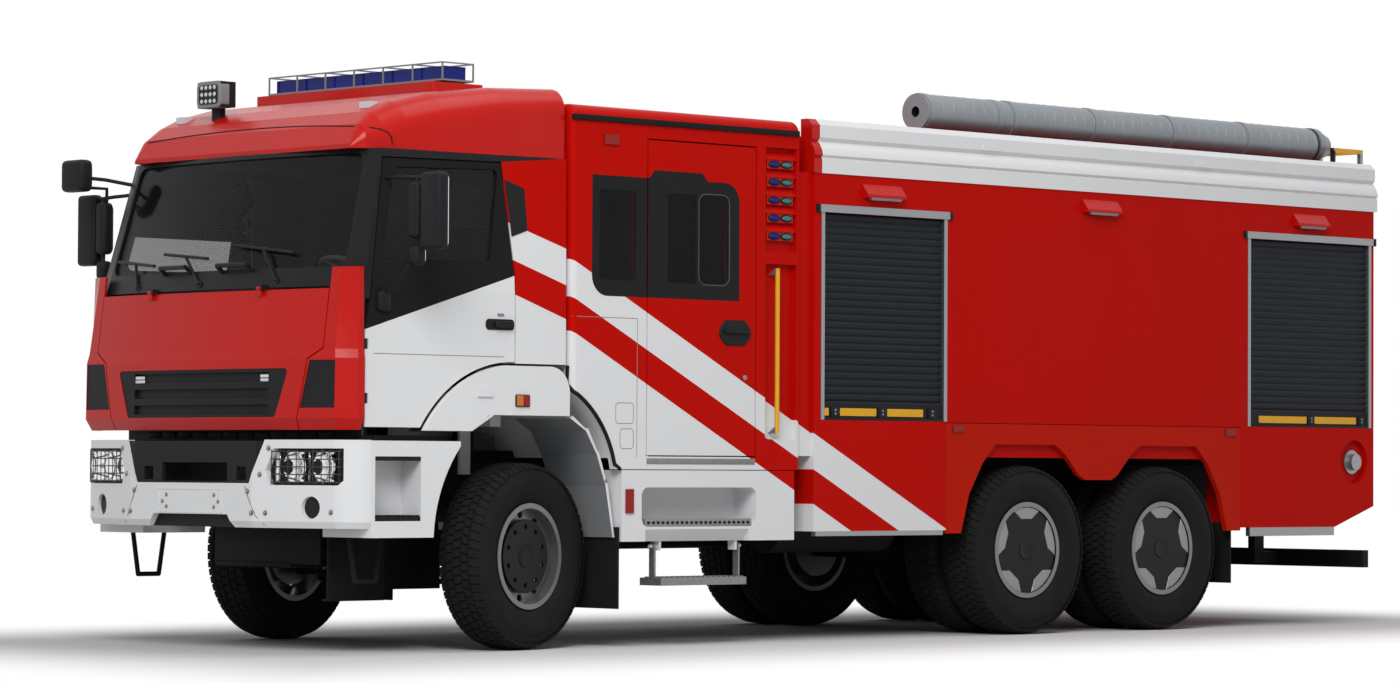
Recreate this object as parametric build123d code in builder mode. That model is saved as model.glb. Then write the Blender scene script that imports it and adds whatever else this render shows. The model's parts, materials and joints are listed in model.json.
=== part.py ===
"""Water tanker fire truck: three-axle chassis, tilt-type cab, crew module and a tank body with roller shutters.

Millimetres. +X is forward, +Y is left, +Z is up. The origin is on the ground, under the middle of the truck.
Lengths named *_FWD are measured forward from the front axle, and *_Z upward from the ground.
"""

import os
from math import cos, radians, sin

from build123d import *

os.makedirs("parts", exist_ok=True)

# Chassis layout
FRONT_OVERHANG = 1500
WHEELBASE = 4200
BOGIE_SPREAD = 1320
REAR_OVERHANG = 2250
BODY_WIDTH = 2500
LENGTH = FRONT_OVERHANG + WHEELBASE + BOGIE_SPREAD + REAR_OVERHANG
NOSE_X = LENGTH / 2
TAIL_X = -LENGTH / 2
AXLE_X = NOSE_X - FRONT_OVERHANG
REAR_AXLES_X = [AXLE_X - WHEELBASE, AXLE_X - WHEELBASE - BOGIE_SPREAD]
BOGIE_X = sum(REAR_AXLES_X) / 2
SIDE = BODY_WIDTH / 2
GAP = 8
SEAT = 0.3

# Wheels and tyres
TYRE_R = 535
TYRE_WIDTH = 290
BEAD_R = 288
FLANGE_R = 304
FLANGE_WIDTH = 9
RIM_WIDTH = 244
FRONT_TRACK = 2050
REAR_TRACK = 1890
TWIN_SPACING = 330
DRUM_R = 205
STUD_CIRCLE_R = 167.5
STUD_COUNT = 10
HUB_R = 120
FRONT_SPINDLE_R = 30
REAR_SPINDLE_R = 45

# Steering: the wheels are parked turned to the left
KINGPIN_Y = 850
KINGPIN_R = 22
BOSS_R = 48
BOSS_HEIGHT = 170
STEER_PARKED = 11.7
STEER_ARM = 200
TIE_ROD_R = 16

# Ladder frame
RAIL_WIDTH = 865
RAIL_HEIGHT = 270
RAIL_FLANGE = 85
RAIL_SHEET = 10
FRAME_TOP_Z = 1080
FRAME_FRONT_FWD = 1180
FRAME_REAR_INSET = 190
FRAME_BOTTOM_Z = FRAME_TOP_Z - RAIL_HEIGHT

# Cab
CAB_REAR_FWD = -255
CAB_FLOOR_Z = 1262
CAB_WAIST_Z = 2040
CAB_EAVES_Z = 2815
CAB_SIDE = SIDE - 30
CAB_WALL = 45
DOOR_FRONT_FWD = 1240
DOOR_REAR_FWD = 126
ARCH_FWD = 147
ARCH_Z = 826
ARCH_R = 798

# Crew module and tank body
CREW_FRONT_FWD = -275
CREW_LENGTH = 1840
CREW_FLOOR_Z = 1035
CREW_ROOF_Z = 3140
CREW_WALL = 50
BODY_GAP = 135
BODY_WALL = 50
SKIRT_Z = 665
ARCH_LINE_Z = 1335
CORNICE_Z = 2835
CORNICE_TOP_Z = 3165
CORNICE_DEPTH = 118
CREW_FRONT_X = AXLE_X + CREW_FRONT_FWD
CREW_REAR_X = CREW_FRONT_X - CREW_LENGTH
BODY_FRONT_X = CREW_REAR_X - BODY_GAP
CREW_SIDE = SIDE
CREW_DOOR_FRONT_X = CREW_FRONT_X - 586
CREW_DOOR_WIDTH = 897
CREW_DOOR_Z = 1110
CREW_DOOR_TOP_Z = 2966


def keep(piece, name):
    """Labels a finished piece and writes it as one node."""
    piece.label = name
    export_step(piece, f"parts/{name}.step")


def mirrored(piece):
    """The same piece on the truck's other side."""
    with BuildPart() as other:
        mirror(piece, about=Plane.XZ)
    return other.part


def side_plane(y):
    """A plane seen from the side, with X forward and Z up, whose extrusions go towards the truck's middle."""
    return Plane.XZ.offset(-y)


def block(x0, x1, y0, y1, z0, z1, mode=Mode.ADD):
    """A plain box between two corners, inside the current part."""
    with Locations(((x0 + x1) / 2, (y0 + y1) / 2, (z0 + z1) / 2)):
        Box(abs(x1 - x0), abs(y1 - y0), abs(z1 - z0), mode=mode)


def rod(start, end, radius, mode=Mode.ADD):
    """A round bar between two places, inside the current part."""
    line = Vector(end) - Vector(start)
    with BuildSketch(Plane(origin=start, z_dir=line)) as section:
        Circle(radius)
    extrude(section.sketch, amount=line.length, mode=mode)


# Ladder frame: two channel rails and the cross members between them
CROSS_MEMBERS_FWD = [1100, -1500, -2400, -3450, -4860, -6200, -7300]
CROSS_WIDTH = 90
CROSS_HEIGHT = 150
CAB_MOUNT = 90
FRONT_MOUNT_FWD = 1090
REAR_MOUNT_FWD = -195
frame_front_x = AXLE_X + FRAME_FRONT_FWD
frame_rear_x = TAIL_X + FRAME_REAR_INSET
with BuildPart() as frame:
    with BuildSketch(Plane.YZ.offset(frame_rear_x)):
        for hand in (1, -1):
            web = hand * RAIL_WIDTH / 2
            inner = hand * (RAIL_WIDTH / 2 - RAIL_FLANGE)
            face = hand * (RAIL_WIDTH / 2 - RAIL_SHEET)
            with BuildLine():
                Polyline(
                    (inner, FRAME_TOP_Z), (web, FRAME_TOP_Z), (web, FRAME_BOTTOM_Z), (inner, FRAME_BOTTOM_Z),
                    (inner, FRAME_BOTTOM_Z + RAIL_SHEET), (face, FRAME_BOTTOM_Z + RAIL_SHEET),
                    (face, FRAME_TOP_Z - RAIL_SHEET), (inner, FRAME_TOP_Z - RAIL_SHEET), close=True,
                )
            make_face()
    extrude(amount=frame_front_x - frame_rear_x)
    for fwd in CROSS_MEMBERS_FWD:
        half = RAIL_WIDTH / 2 - RAIL_SHEET
        mid_z = (FRAME_TOP_Z + FRAME_BOTTOM_Z) / 2
        block(AXLE_X + fwd - CROSS_WIDTH / 2, AXLE_X + fwd + CROSS_WIDTH / 2, -half, half,
              mid_z - CROSS_HEIGHT / 2, mid_z + CROSS_HEIGHT / 2)
    for hand in (1, -1):
        for fwd, top in ((FRONT_MOUNT_FWD, CAB_FLOOR_Z), (REAR_MOUNT_FWD, ARCH_Z + ARCH_R + GAP)):
            block(AXLE_X + fwd - CAB_MOUNT / 2, AXLE_X + fwd + CAB_MOUNT / 2, hand * (RAIL_WIDTH / 2 - RAIL_FLANGE),
                  hand * RAIL_WIDTH / 2, FRAME_TOP_Z, top)
keep(frame.part, "frame")

# Powertrain: engine block, gearbox, transfer case and propeller shafts
ENGINE_FWD = (1000, -500)
ENGINE_WIDTH = 650
ENGINE_Z = (720, 1225)
GEARBOX_REAR_FWD = -1300
GEARBOX_WIDTH = 400
GEARBOX_Z = (725, 1050)
TRANSFER_FWD = (-1700, -2000)
TRANSFER_WIDTH = 420
TRANSFER_Z = (620, 1000)
MOUNT_Z = (890, 950)
SHAFT_R = 45
DIFF_R = 165
web_inside = RAIL_WIDTH / 2 - RAIL_SHEET
shaft_table = [
    ((AXLE_X + GEARBOX_REAR_FWD + 20, 800), (AXLE_X + TRANSFER_FWD[0] - 20, 800)),
    ((AXLE_X + TRANSFER_FWD[0] - 20, 690), (AXLE_X - DIFF_R + 10, 560)),
    ((AXLE_X + TRANSFER_FWD[1] + 20, 740), (REAR_AXLES_X[0] + DIFF_R - 10, 575)),
    ((REAR_AXLES_X[0] - DIFF_R + 10, 550), (REAR_AXLES_X[1] + DIFF_R - 10, 550)),
]
with BuildPart() as powertrain:
    block(AXLE_X + ENGINE_FWD[0], AXLE_X + ENGINE_FWD[1], -ENGINE_WIDTH / 2, ENGINE_WIDTH / 2, *ENGINE_Z)
    block(AXLE_X + ENGINE_FWD[1] + 1, AXLE_X + GEARBOX_REAR_FWD, -GEARBOX_WIDTH / 2, GEARBOX_WIDTH / 2, *GEARBOX_Z)
    block(AXLE_X + TRANSFER_FWD[0], AXLE_X + TRANSFER_FWD[1], -TRANSFER_WIDTH / 2, TRANSFER_WIDTH / 2, *TRANSFER_Z)
    for fwd in (700, -200, -1900):
        block(AXLE_X + fwd, AXLE_X + fwd + 100, -web_inside, web_inside, *MOUNT_Z)
    for (x0, z0), (x1, z1) in shaft_table:
        line = Vector(x1 - x0, 0, z1 - z0)
        with BuildSketch(Plane(origin=(x0, 0, z0), z_dir=line)):
            Circle(SHAFT_R)
        extrude(amount=line.length)
    for x in [AXLE_X] + REAR_AXLES_X:
        with Locations((x, 0, TYRE_R)):
            Sphere(DIFF_R, mode=Mode.SUBTRACT)
keep(powertrain.part, "powertrain")

# Axles with their differential housings, and the bosses that the kingpins turn in
FRONT_TUBE_R = 65
REAR_TUBE_R = 75
DRUM_GAP = 5
REAR_HUB_Y = REAR_TRACK / 2
REAR_HUB_IN = 300
REAR_SPINDLE_OUT = 98
with BuildPart() as axles:
    tube_end = KINGPIN_Y - 30
    with BuildSketch(Plane(origin=(AXLE_X, -tube_end, TYRE_R), z_dir=(0, 1, 0))):
        Circle(FRONT_TUBE_R)
    extrude(amount=2 * tube_end)
    with Locations((AXLE_X, 0, TYRE_R)):
        Sphere(DIFF_R)
    for hand in (1, -1):
        with BuildSketch(Plane.XY.offset(TYRE_R - BOSS_HEIGHT / 2)):
            with Locations((AXLE_X, hand * KINGPIN_Y)):
                Circle(BOSS_R)
        extrude(amount=BOSS_HEIGHT)
        with BuildSketch(Plane.XY.offset(TYRE_R - BOSS_HEIGHT)):
            with Locations((AXLE_X, hand * KINGPIN_Y)):
                Circle(KINGPIN_R + SEAT)
        extrude(amount=2 * BOSS_HEIGHT, mode=Mode.SUBTRACT)
    for x in REAR_AXLES_X:
        tube_end = REAR_HUB_Y - REAR_HUB_IN - DRUM_GAP
        with BuildSketch(Plane(origin=(x, -tube_end, TYRE_R), z_dir=(0, 1, 0))):
            Circle(REAR_TUBE_R)
        extrude(amount=2 * tube_end)
        spindle_end = REAR_HUB_Y + REAR_SPINDLE_OUT
        with BuildSketch(Plane(origin=(x, -spindle_end, TYRE_R), z_dir=(0, 1, 0))):
            Circle(REAR_SPINDLE_R)
        extrude(amount=2 * spindle_end)
        with Locations((x, 0, TYRE_R)):
            Sphere(DIFF_R)
keep(axles.part, "axles")

# Leaf springs: long packs over the front axle, and walking packs that share the load of the rear axles
FRONT_SPRING_HALF = 700
FRONT_SPRING_DROP = 110
SPRING_PACK = 90
SPRING_WIDTH = 70
SPRING_GAP = 6
REAR_SPRING_RISE = 150
spring_y = RAIL_WIDTH / 2 + SPRING_GAP + SPRING_WIDTH / 2
with BuildPart() as leaf_springs:
    for hand in (1, -1):
        seat_z = TYRE_R + FRONT_TUBE_R - 12
        with BuildSketch(Plane.XZ.offset(-hand * spring_y - SPRING_WIDTH / 2)):
            with BuildLine():
                x0, x1, x2 = AXLE_X - FRONT_SPRING_HALF, AXLE_X, AXLE_X + FRONT_SPRING_HALF
                low = ThreePointArc((x0, seat_z + FRONT_SPRING_DROP), (x1, seat_z), (x2, seat_z + FRONT_SPRING_DROP))
                top = ThreePointArc(
                    (x0, seat_z + FRONT_SPRING_DROP + 20), (x1, seat_z + SPRING_PACK),
                    (x2, seat_z + FRONT_SPRING_DROP + 20),
                )
                Line(low @ 0, top @ 0)
                Line(low @ 1, top @ 1)
            make_face()
            for x in (x0 - 20, x2 - 60):
                with BuildLine():
                    Polyline((x, seat_z + FRONT_SPRING_DROP - 40), (x + 80, seat_z + FRONT_SPRING_DROP - 40),
                             (x + 80, FRAME_TOP_Z - 60), (x, FRAME_TOP_Z - 60), close=True)
                make_face()
        extrude(amount=SPRING_WIDTH)
        rear_z = TYRE_R + REAR_TUBE_R - 12
        with BuildSketch(Plane.XZ.offset(-hand * spring_y - SPRING_WIDTH / 2)):
            with BuildLine():
                x0, x1, x2 = REAR_AXLES_X[1] - 60, BOGIE_X, REAR_AXLES_X[0] + 60
                low = ThreePointArc((x0, rear_z), (x1, rear_z + REAR_SPRING_RISE - 40), (x2, rear_z))
                top = ThreePointArc((x0, rear_z + 40), (x1, rear_z + REAR_SPRING_RISE + 80), (x2, rear_z + 40))
                Line(low @ 0, top @ 0)
                Line(low @ 1, top @ 1)
            make_face()
            with BuildLine():
                Polyline((BOGIE_X - 110, 600), (BOGIE_X + 110, 600), (BOGIE_X + 180, FRAME_TOP_Z - 60),
                         (BOGIE_X - 180, FRAME_TOP_Z - 60), close=True)
            make_face()
        extrude(amount=SPRING_WIDTH)
        web = hand * RAIL_WIDTH / 2
        pad = hand * (RAIL_WIDTH / 2 + SPRING_GAP + 1)
        for x in (AXLE_X - FRONT_SPRING_HALF + 20, AXLE_X + FRONT_SPRING_HALF - 20, BOGIE_X):
            block(x - 35, x + 35, web, pad, FRAME_TOP_Z - 220, FRAME_TOP_Z - 80)
    with BuildSketch(Plane(origin=(AXLE_X, -SIDE, TYRE_R), z_dir=(0, 1, 0))):
        Circle(FRONT_TUBE_R)
    extrude(amount=2 * SIDE, mode=Mode.SUBTRACT)
    for x in REAR_AXLES_X:
        with BuildSketch(Plane(origin=(x, -SIDE, TYRE_R), z_dir=(0, 1, 0))):
            Circle(REAR_TUBE_R)
        extrude(amount=2 * SIDE, mode=Mode.SUBTRACT)
keep(leaf_springs.part, "leaf_springs")

# Steering knuckles on their kingpins, and the tie rod that keeps both arms parallel
EAR = 30
EAR_GAP = 3
PLATE_IN = 56
PLATE_OUT = 76
PLATE_HALF = 60
ARM_SHEET = 25
BALL_R = 16
ROD_EYE_R = 34
ROD_EYE = 40
SPINDLE_OUT = 235
turn = radians(STEER_PARKED)
ahead = Vector(cos(turn), sin(turn), 0)
leftward = Vector(-sin(turn), cos(turn), 0)
arm_z = TYRE_R - BOSS_HEIGHT / 2 - EAR_GAP - EAR - ARM_SHEET
eye_z = arm_z - EAR_GAP - ROD_EYE


def knuckle(hand):
    """A yoke over and under the axle's boss, with the kingpin, the spindle and the steering arm."""
    pin = Vector(AXLE_X, hand * KINGPIN_Y, TYRE_R)
    yoke = Plane(origin=pin, x_dir=ahead, z_dir=(0, 0, 1))
    with BuildPart() as piece:
        for low in (-BOSS_HEIGHT / 2 - EAR_GAP - EAR, BOSS_HEIGHT / 2 + EAR_GAP):
            with BuildSketch(yoke.offset(low)):
                with Locations((0, hand * (PLATE_OUT - BOSS_R) / 2)):
                    Rectangle(2 * BOSS_R, PLATE_OUT + BOSS_R)
            extrude(amount=EAR)
        with BuildSketch(yoke.offset(-BOSS_HEIGHT / 2 - EAR_GAP - EAR)):
            with Locations((0, hand * (PLATE_IN + PLATE_OUT) / 2)):
                Rectangle(2 * PLATE_HALF, PLATE_OUT - PLATE_IN)
        extrude(amount=BOSS_HEIGHT + 2 * EAR_GAP + 2 * EAR)
        with BuildSketch(yoke.offset(-BOSS_HEIGHT / 2 - EAR_GAP - 5)):
            Circle(KINGPIN_R)
        extrude(amount=BOSS_HEIGHT + 2 * EAR_GAP + 10)
        with BuildSketch(Plane(origin=pin + leftward * hand * PLATE_IN, z_dir=leftward * hand)):
            Circle(FRONT_SPINDLE_R)
        extrude(amount=SPINDLE_OUT - PLATE_IN)
        with BuildSketch(yoke.offset(arm_z - TYRE_R)):
            with Locations((-STEER_ARM / 2, 0)):
                Rectangle(STEER_ARM + 60, 60)
        extrude(amount=ARM_SHEET)
        with BuildSketch(yoke.offset(eye_z - TYRE_R - 5)):
            with Locations((-STEER_ARM, 0)):
                Circle(BALL_R)
        extrude(amount=arm_z - eye_z + 10)
    return piece.part


keep(knuckle(1), "knuckle_left")
keep(knuckle(-1), "knuckle_right")

rod_x = AXLE_X - STEER_ARM * cos(turn)
rod_shift = -STEER_ARM * sin(turn)
with BuildPart() as tie_rod:
    with BuildSketch(Plane(origin=(rod_x, rod_shift - KINGPIN_Y, eye_z + ROD_EYE / 2), z_dir=(0, 1, 0))):
        Circle(TIE_ROD_R)
    extrude(amount=2 * KINGPIN_Y)
    for hand in (1, -1):
        with BuildSketch(Plane.XY.offset(eye_z)):
            with Locations((rod_x, rod_shift + hand * KINGPIN_Y)):
                Circle(ROD_EYE_R)
        extrude(amount=ROD_EYE)
    for hand in (1, -1):
        with BuildSketch(Plane.XY.offset(eye_z - 1)):
            with Locations((rod_x, rod_shift + hand * KINGPIN_Y)):
                Circle(BALL_R + SEAT)
        extrude(amount=ROD_EYE + 2, mode=Mode.SUBTRACT)
keep(tie_rod.part, "tie_rod")

# Wheels: single in front, twin at the rear, with tyres that sit between the rim flanges
DISC = 14
DISC_OUT = 34
HAND_HOLES = 10
HAND_HOLE_R = 24
HAND_CIRCLE_R = 240
COVER_R = 212
COVER = 16
COVER_OUT = 74
REAR_COVER_R = 270
REAR_RING_R = 215
COVER_NOTCHES = 5
COVER_NOTCH = (92, 118)
REAR_COVER_OUT = 96
STUD_HOLE_R = 15
RIM_SHEET = 14


def ring(plane, axis, inside, outside, start, end):
    """A turned ring between two radii, from one place along the axle to another."""
    with BuildSketch(plane) as section:
        with Locations(((start + end) / 2, (inside + outside) / 2)):
            Rectangle(end - start, outside - inside)
    revolve(section.sketch, axis=axis)


def wheel_frame(centre, outward):
    """The plane that a wheel is turned in, with the axle along its x, and the axle's line."""
    across = Vector(outward.Y, -outward.X, 0)
    return Plane(origin=centre, x_dir=outward, z_dir=across), Axis(centre, outward)


def tyres(centre, outward, middles):
    plane, axis = wheel_frame(centre, outward)
    half = TYRE_WIDTH / 2
    bead = RIM_WIDTH / 2 - FLANGE_WIDTH - 10
    with BuildPart() as piece:
        for middle in middles:
            with BuildSketch(plane):
                with BuildLine():
                    foot = Line((middle - bead, BEAD_R), (middle - bead - 4, FLANGE_R + 2))
                    wall = ThreePointArc(foot @ 1, (middle - half, TYRE_R - 125), (middle - half + 16, TYRE_R - 34))
                    edge = ThreePointArc(wall @ 1, (middle - half + 27, TYRE_R - 12), (middle - half + 50, TYRE_R - 3))
                    crown = ThreePointArc(edge @ 1, (middle, TYRE_R), (middle + half - 50, TYRE_R - 3))
                    edge_b = ThreePointArc(crown @ 1, (middle + half - 27, TYRE_R - 12),
                                           (middle + half - 16, TYRE_R - 34))
                    wall_b = ThreePointArc(edge_b @ 1, (middle + half, TYRE_R - 125),
                                           (middle + bead + 4, FLANGE_R + 2))
                    foot_b = Line(wall_b @ 1, (middle + bead, BEAD_R))
                    Line(foot_b @ 1, foot @ 0)
                make_face()
            revolve(axis=axis)
    return piece.part


def barrel(plane, axis, middle):
    half = RIM_WIDTH / 2
    ring(plane, axis, BEAD_R - RIM_SHEET, BEAD_R, middle - half, middle + half)
    ring(plane, axis, BEAD_R - RIM_SHEET, FLANGE_R, middle - half, middle - half + FLANGE_WIDTH)
    ring(plane, axis, BEAD_R - RIM_SHEET, FLANGE_R, middle + half - FLANGE_WIDTH, middle + half)


def front_rim(centre, outward):
    plane, axis = wheel_frame(centre, outward)
    hub_in = PLATE_OUT + 9 - (FRONT_TRACK / 2 - KINGPIN_Y)
    spindle_end = SPINDLE_OUT - (FRONT_TRACK / 2 - KINGPIN_Y) + 2
    with BuildPart() as piece:
        barrel(plane, axis, 0)
        ring(plane, axis, HUB_R - 10, BEAD_R - RIM_SHEET + 2, DISC_OUT, DISC_OUT + DISC)
        ring(plane, axis, FRONT_SPINDLE_R + SEAT, HUB_R, hub_in, spindle_end)
        ring(plane, axis, 0, HUB_R, spindle_end, COVER_OUT)
        ring(plane, axis, HUB_R - 10, DRUM_R, hub_in, hub_in + 90)
        ring(plane, axis, 0, COVER_R, COVER_OUT, COVER_OUT + COVER)
        with BuildSketch(Plane(origin=centre + outward * (COVER_OUT - 1), x_dir=(0, 0, 1), z_dir=outward)):
            with PolarLocations(STUD_CIRCLE_R, STUD_COUNT):
                Circle(STUD_HOLE_R)
        extrude(amount=COVER + 2, mode=Mode.SUBTRACT)
        with BuildSketch(Plane(origin=centre + outward * (DISC_OUT - 1), x_dir=(0, 0, 1), z_dir=outward)):
            with PolarLocations(HAND_CIRCLE_R, HAND_HOLES):
                Circle(HAND_HOLE_R)
        extrude(amount=DISC + 2, mode=Mode.SUBTRACT)
    return piece.part


def rear_rims(centre, outward):
    plane, axis = wheel_frame(centre, outward)
    lip = TWIN_SPACING / 2
    with BuildPart() as piece:
        barrel(plane, axis, -lip)
        barrel(plane, axis, lip)
        ring(plane, axis, HUB_R - 10, BEAD_R - RIM_SHEET + 2, -lip + RIM_WIDTH / 2 - 60, lip - RIM_WIDTH / 2 + 60)
        ring(plane, axis, REAR_SPINDLE_R + SEAT, HUB_R, -REAR_HUB_IN, REAR_SPINDLE_OUT + 2)
        ring(plane, axis, 0, HUB_R, REAR_SPINDLE_OUT + 2, lip + REAR_COVER_OUT)
        ring(plane, axis, HUB_R - 10, DRUM_R, -REAR_HUB_IN, -lip)
        ring(plane, axis, 0, REAR_COVER_R, lip + REAR_COVER_OUT, lip + REAR_COVER_OUT + COVER)
        face = lip + REAR_COVER_OUT
        with BuildSketch(Plane(origin=centre + outward * face, x_dir=(0, 0, 1), z_dir=outward)):
            with PolarLocations(REAR_COVER_R, COVER_NOTCHES):
                Rectangle(*COVER_NOTCH)
        extrude(amount=COVER + 1, mode=Mode.SUBTRACT)
        ring(plane, axis, REAR_RING_R, BEAD_R - RIM_SHEET + 2, face - 12, face + 4)
    return piece.part


for side_name, hand in (("left", 1), ("right", -1)):
    out = leftward * hand
    pin = Vector(AXLE_X, hand * KINGPIN_Y, TYRE_R)
    centre = pin + out * (FRONT_TRACK / 2 - KINGPIN_Y)
    keep(tyres(centre, out, [0]), f"front_tyre_{side_name}")
    keep(front_rim(centre, out), f"front_rim_{side_name}")
    for number, x in enumerate(REAR_AXLES_X, start=1):
        centre = Vector(x, hand * REAR_HUB_Y, TYRE_R)
        out = Vector(0, hand, 0)
        keep(tyres(centre, out, [-TWIN_SPACING / 2, TWIN_SPACING / 2]), f"rear_tyres_{number}_{side_name}")
        keep(rear_rims(centre, out), f"rear_rims_{number}_{side_name}")

# Cab: plan outlines at three heights, from which the walls, doors, windscreen and pillars are all cut
CAB_LOWER = dict(
    half_rear=CAB_SIDE, side_fwd=DOOR_FRONT_FWD + 6, half_front=CAB_SIDE, corner_fwd=DOOR_FRONT_FWD + 22,
    corner_half=CAB_SIDE - 50, nose_fwd=DOOR_FRONT_FWD + 50,
)
CAB_WAIST = dict(
    half_rear=CAB_SIDE, side_fwd=DOOR_FRONT_FWD, half_front=CAB_SIDE - 5, corner_fwd=DOOR_FRONT_FWD + 48,
    corner_half=CAB_SIDE - 122, nose_fwd=DOOR_FRONT_FWD + 160,
)
CAB_EAVES = dict(
    half_rear=CAB_SIDE - 5, side_fwd=DOOR_FRONT_FWD - 185, half_front=CAB_SIDE - 90, corner_fwd=DOOR_FRONT_FWD - 162,
    corner_half=CAB_SIDE - 154, nose_fwd=DOOR_FRONT_FWD - 65,
)
PANE_DEPTH = 12
PANE = 6
DOOR_SHEET = 38
CAB_NOSE_REACH = 400


def cab_ring(z, inset, rear_fwd, half_rear, side_fwd, half_front, corner_fwd, corner_half, nose_fwd, reach=0):
    """A closed plan outline of the cab at one height, drawn in by an inset, with its nose pulled ahead by a reach."""
    taper = (half_front - half_rear) / (side_fwd - rear_fwd) * reach
    half_front, corner_half = half_front + taper, corner_half + taper
    side_fwd, corner_fwd, nose_fwd = side_fwd + reach, corner_fwd + reach, nose_fwd + reach
    with BuildSketch(Plane.XY.offset(z)) as outline:
        with BuildLine():
            nose = ThreePointArc(
                (AXLE_X + corner_fwd - inset, -corner_half + inset), (AXLE_X + nose_fwd - inset, 0),
                (AXLE_X + corner_fwd - inset, corner_half - inset),
            )
            Polyline(
                nose @ 1, (AXLE_X + side_fwd - inset, half_front - inset), (AXLE_X + rear_fwd + inset, half_rear - inset),
                (AXLE_X + rear_fwd + inset, -half_rear + inset), (AXLE_X + side_fwd - inset, -half_front + inset), nose @ 0,
            )
        make_face()
    return outline.sketch


def cab_solid(inset, floor_z, reach=0):
    """The cab's whole form from a floor height to the eaves, drawn in by an inset, with its nose pulled ahead."""
    stages = [(floor_z, CAB_LOWER, CAB_WAIST_Z, CAB_LOWER), (CAB_WAIST_Z, CAB_WAIST, CAB_EAVES_Z, CAB_EAVES)]
    with BuildPart() as form:
        for low_z, low, high_z, high in stages:
            loft([
                cab_ring(low_z, inset, CAB_REAR_FWD, **low, reach=reach),
                cab_ring(high_z, inset, CAB_REAR_FWD, **high, reach=reach),
            ])
    return form.part


def arch_room(margin, floor_z):
    """The room for the front wheels under the cab: a cylinder, and the space behind it below the raised floor."""
    with BuildPart() as room:
        with BuildSketch(Plane(origin=(AXLE_X + ARCH_FWD, -2 * SIDE, ARCH_Z), z_dir=(0, 1, 0))):
            Circle(ARCH_R + margin)
        extrude(amount=4 * SIDE)
        block(AXLE_X + CAB_REAR_FWD - 300, AXLE_X + ARCH_FWD, -2 * SIDE, 2 * SIDE, floor_z, ARCH_Z + ARCH_R + margin)
    return room.part


DOOR_OUTLINE = [
    (DOOR_FRONT_FWD, CAB_FLOOR_Z - 82), (DOOR_FRONT_FWD, CAB_WAIST_Z - 240), (DOOR_FRONT_FWD - 188, CAB_EAVES_Z - 47),
    (DOOR_REAR_FWD + 92, CAB_EAVES_Z - 39), (DOOR_REAR_FWD + 4, CAB_WAIST_Z + 87), (DOOR_REAR_FWD, CAB_FLOOR_Z - 82),
]
DOOR_WINDOW = [
    (DOOR_FRONT_FWD - 265, CAB_EAVES_Z - 102), (DOOR_REAR_FWD + 117, CAB_EAVES_Z - 84),
    (DOOR_REAR_FWD + 192, CAB_WAIST_Z + 167), (DOOR_FRONT_FWD - 140, CAB_WAIST_Z + 155),
]
WINDOW_CORNER_R = 36
SCREEN_BOTTOM = (CAB_SIDE - 148, CAB_WAIST_Z + 110)
SCREEN_TOP = (CAB_SIDE - 190, CAB_EAVES_Z - 25)


def side_prism(outline, shrink, reach_in, corner=0):
    """An outline seen from the left side, as a prism from outside the truck to a depth."""
    with BuildPart() as prism:
        with BuildSketch(side_plane(2 * SIDE)):
            with BuildLine():
                Polyline([(AXLE_X + x, z) for x, z in outline], close=True)
            make_face()
            if corner:
                fillet(vertices(), radius=corner)
            if shrink:
                offset(amount=-shrink, kind=Kind.INTERSECTION)
        extrude(amount=2 * SIDE - reach_in)
    return prism.part


def screen_prism(shrink):
    """The windscreen's outline seen from the front, as a prism through the cab's front wall."""
    with BuildPart() as prism:
        with BuildSketch(Plane.YZ.offset(AXLE_X + 800)):
            with BuildLine():
                Polyline((-SCREEN_BOTTOM[0], SCREEN_BOTTOM[1]), SCREEN_BOTTOM, SCREEN_TOP,
                         (-SCREEN_TOP[0], SCREEN_TOP[1]), close=True)
            make_face()
            fillet(vertices(), radius=60)
            if shrink:
                offset(amount=-shrink)
        extrude(amount=900)
    return prism.part


HINGE_FWD = DOOR_FRONT_FWD - 18
HINGE_Y = CAB_SIDE - 10
HINGE_Z = (1420, 1720)
HINGE_LUG = 54
HINGE_LUG_R = 9
HINGE_PIN_R = 4
HINGE_PIN_END = 12
HINGE_ROOM_R = 20
HINGE_ROOM_Z = (DOOR_OUTLINE[1][1] - 20, DOOR_OUTLINE[1][1] + 170)


def hinge_pins(radius, spare):
    """The upright pins that the left cab door turns on."""
    with BuildPart() as pins:
        for z in HINGE_Z:
            half = HINGE_LUG / 2 + HINGE_PIN_END + spare
            rod((AXLE_X + HINGE_FWD, HINGE_Y, z - half), (AXLE_X + HINGE_FWD, HINGE_Y, z + half), radius)
    return pins.part


cab_outer = cab_solid(0, CAB_FLOOR_Z)
cab_inner = cab_solid(CAB_WALL, CAB_FLOOR_Z)
door_inner = cab_solid(DOOR_SHEET, CAB_FLOOR_Z, CAB_NOSE_REACH)
door_back = cab_solid(CAB_WALL, CAB_FLOOR_Z, CAB_NOSE_REACH)
door_opening = side_prism(DOOR_OUTLINE, 0, SIDE / 2)
with BuildPart() as door_slab:
    add(cab_outer)
    add(door_back, mode=Mode.SUBTRACT)
    add(door_opening, mode=Mode.INTERSECT)
with BuildPart() as cab_room:
    add(cab_inner)
    block(AXLE_X - 2000, AXLE_X + 2000, -2 * SIDE, 2 * SIDE, CAB_FLOOR_Z - 200, CAB_FLOOR_Z + CAB_WALL, mode=Mode.SUBTRACT)
    add(arch_room(GAP + CAB_WALL, CAB_FLOOR_Z - 200), mode=Mode.SUBTRACT)
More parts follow.
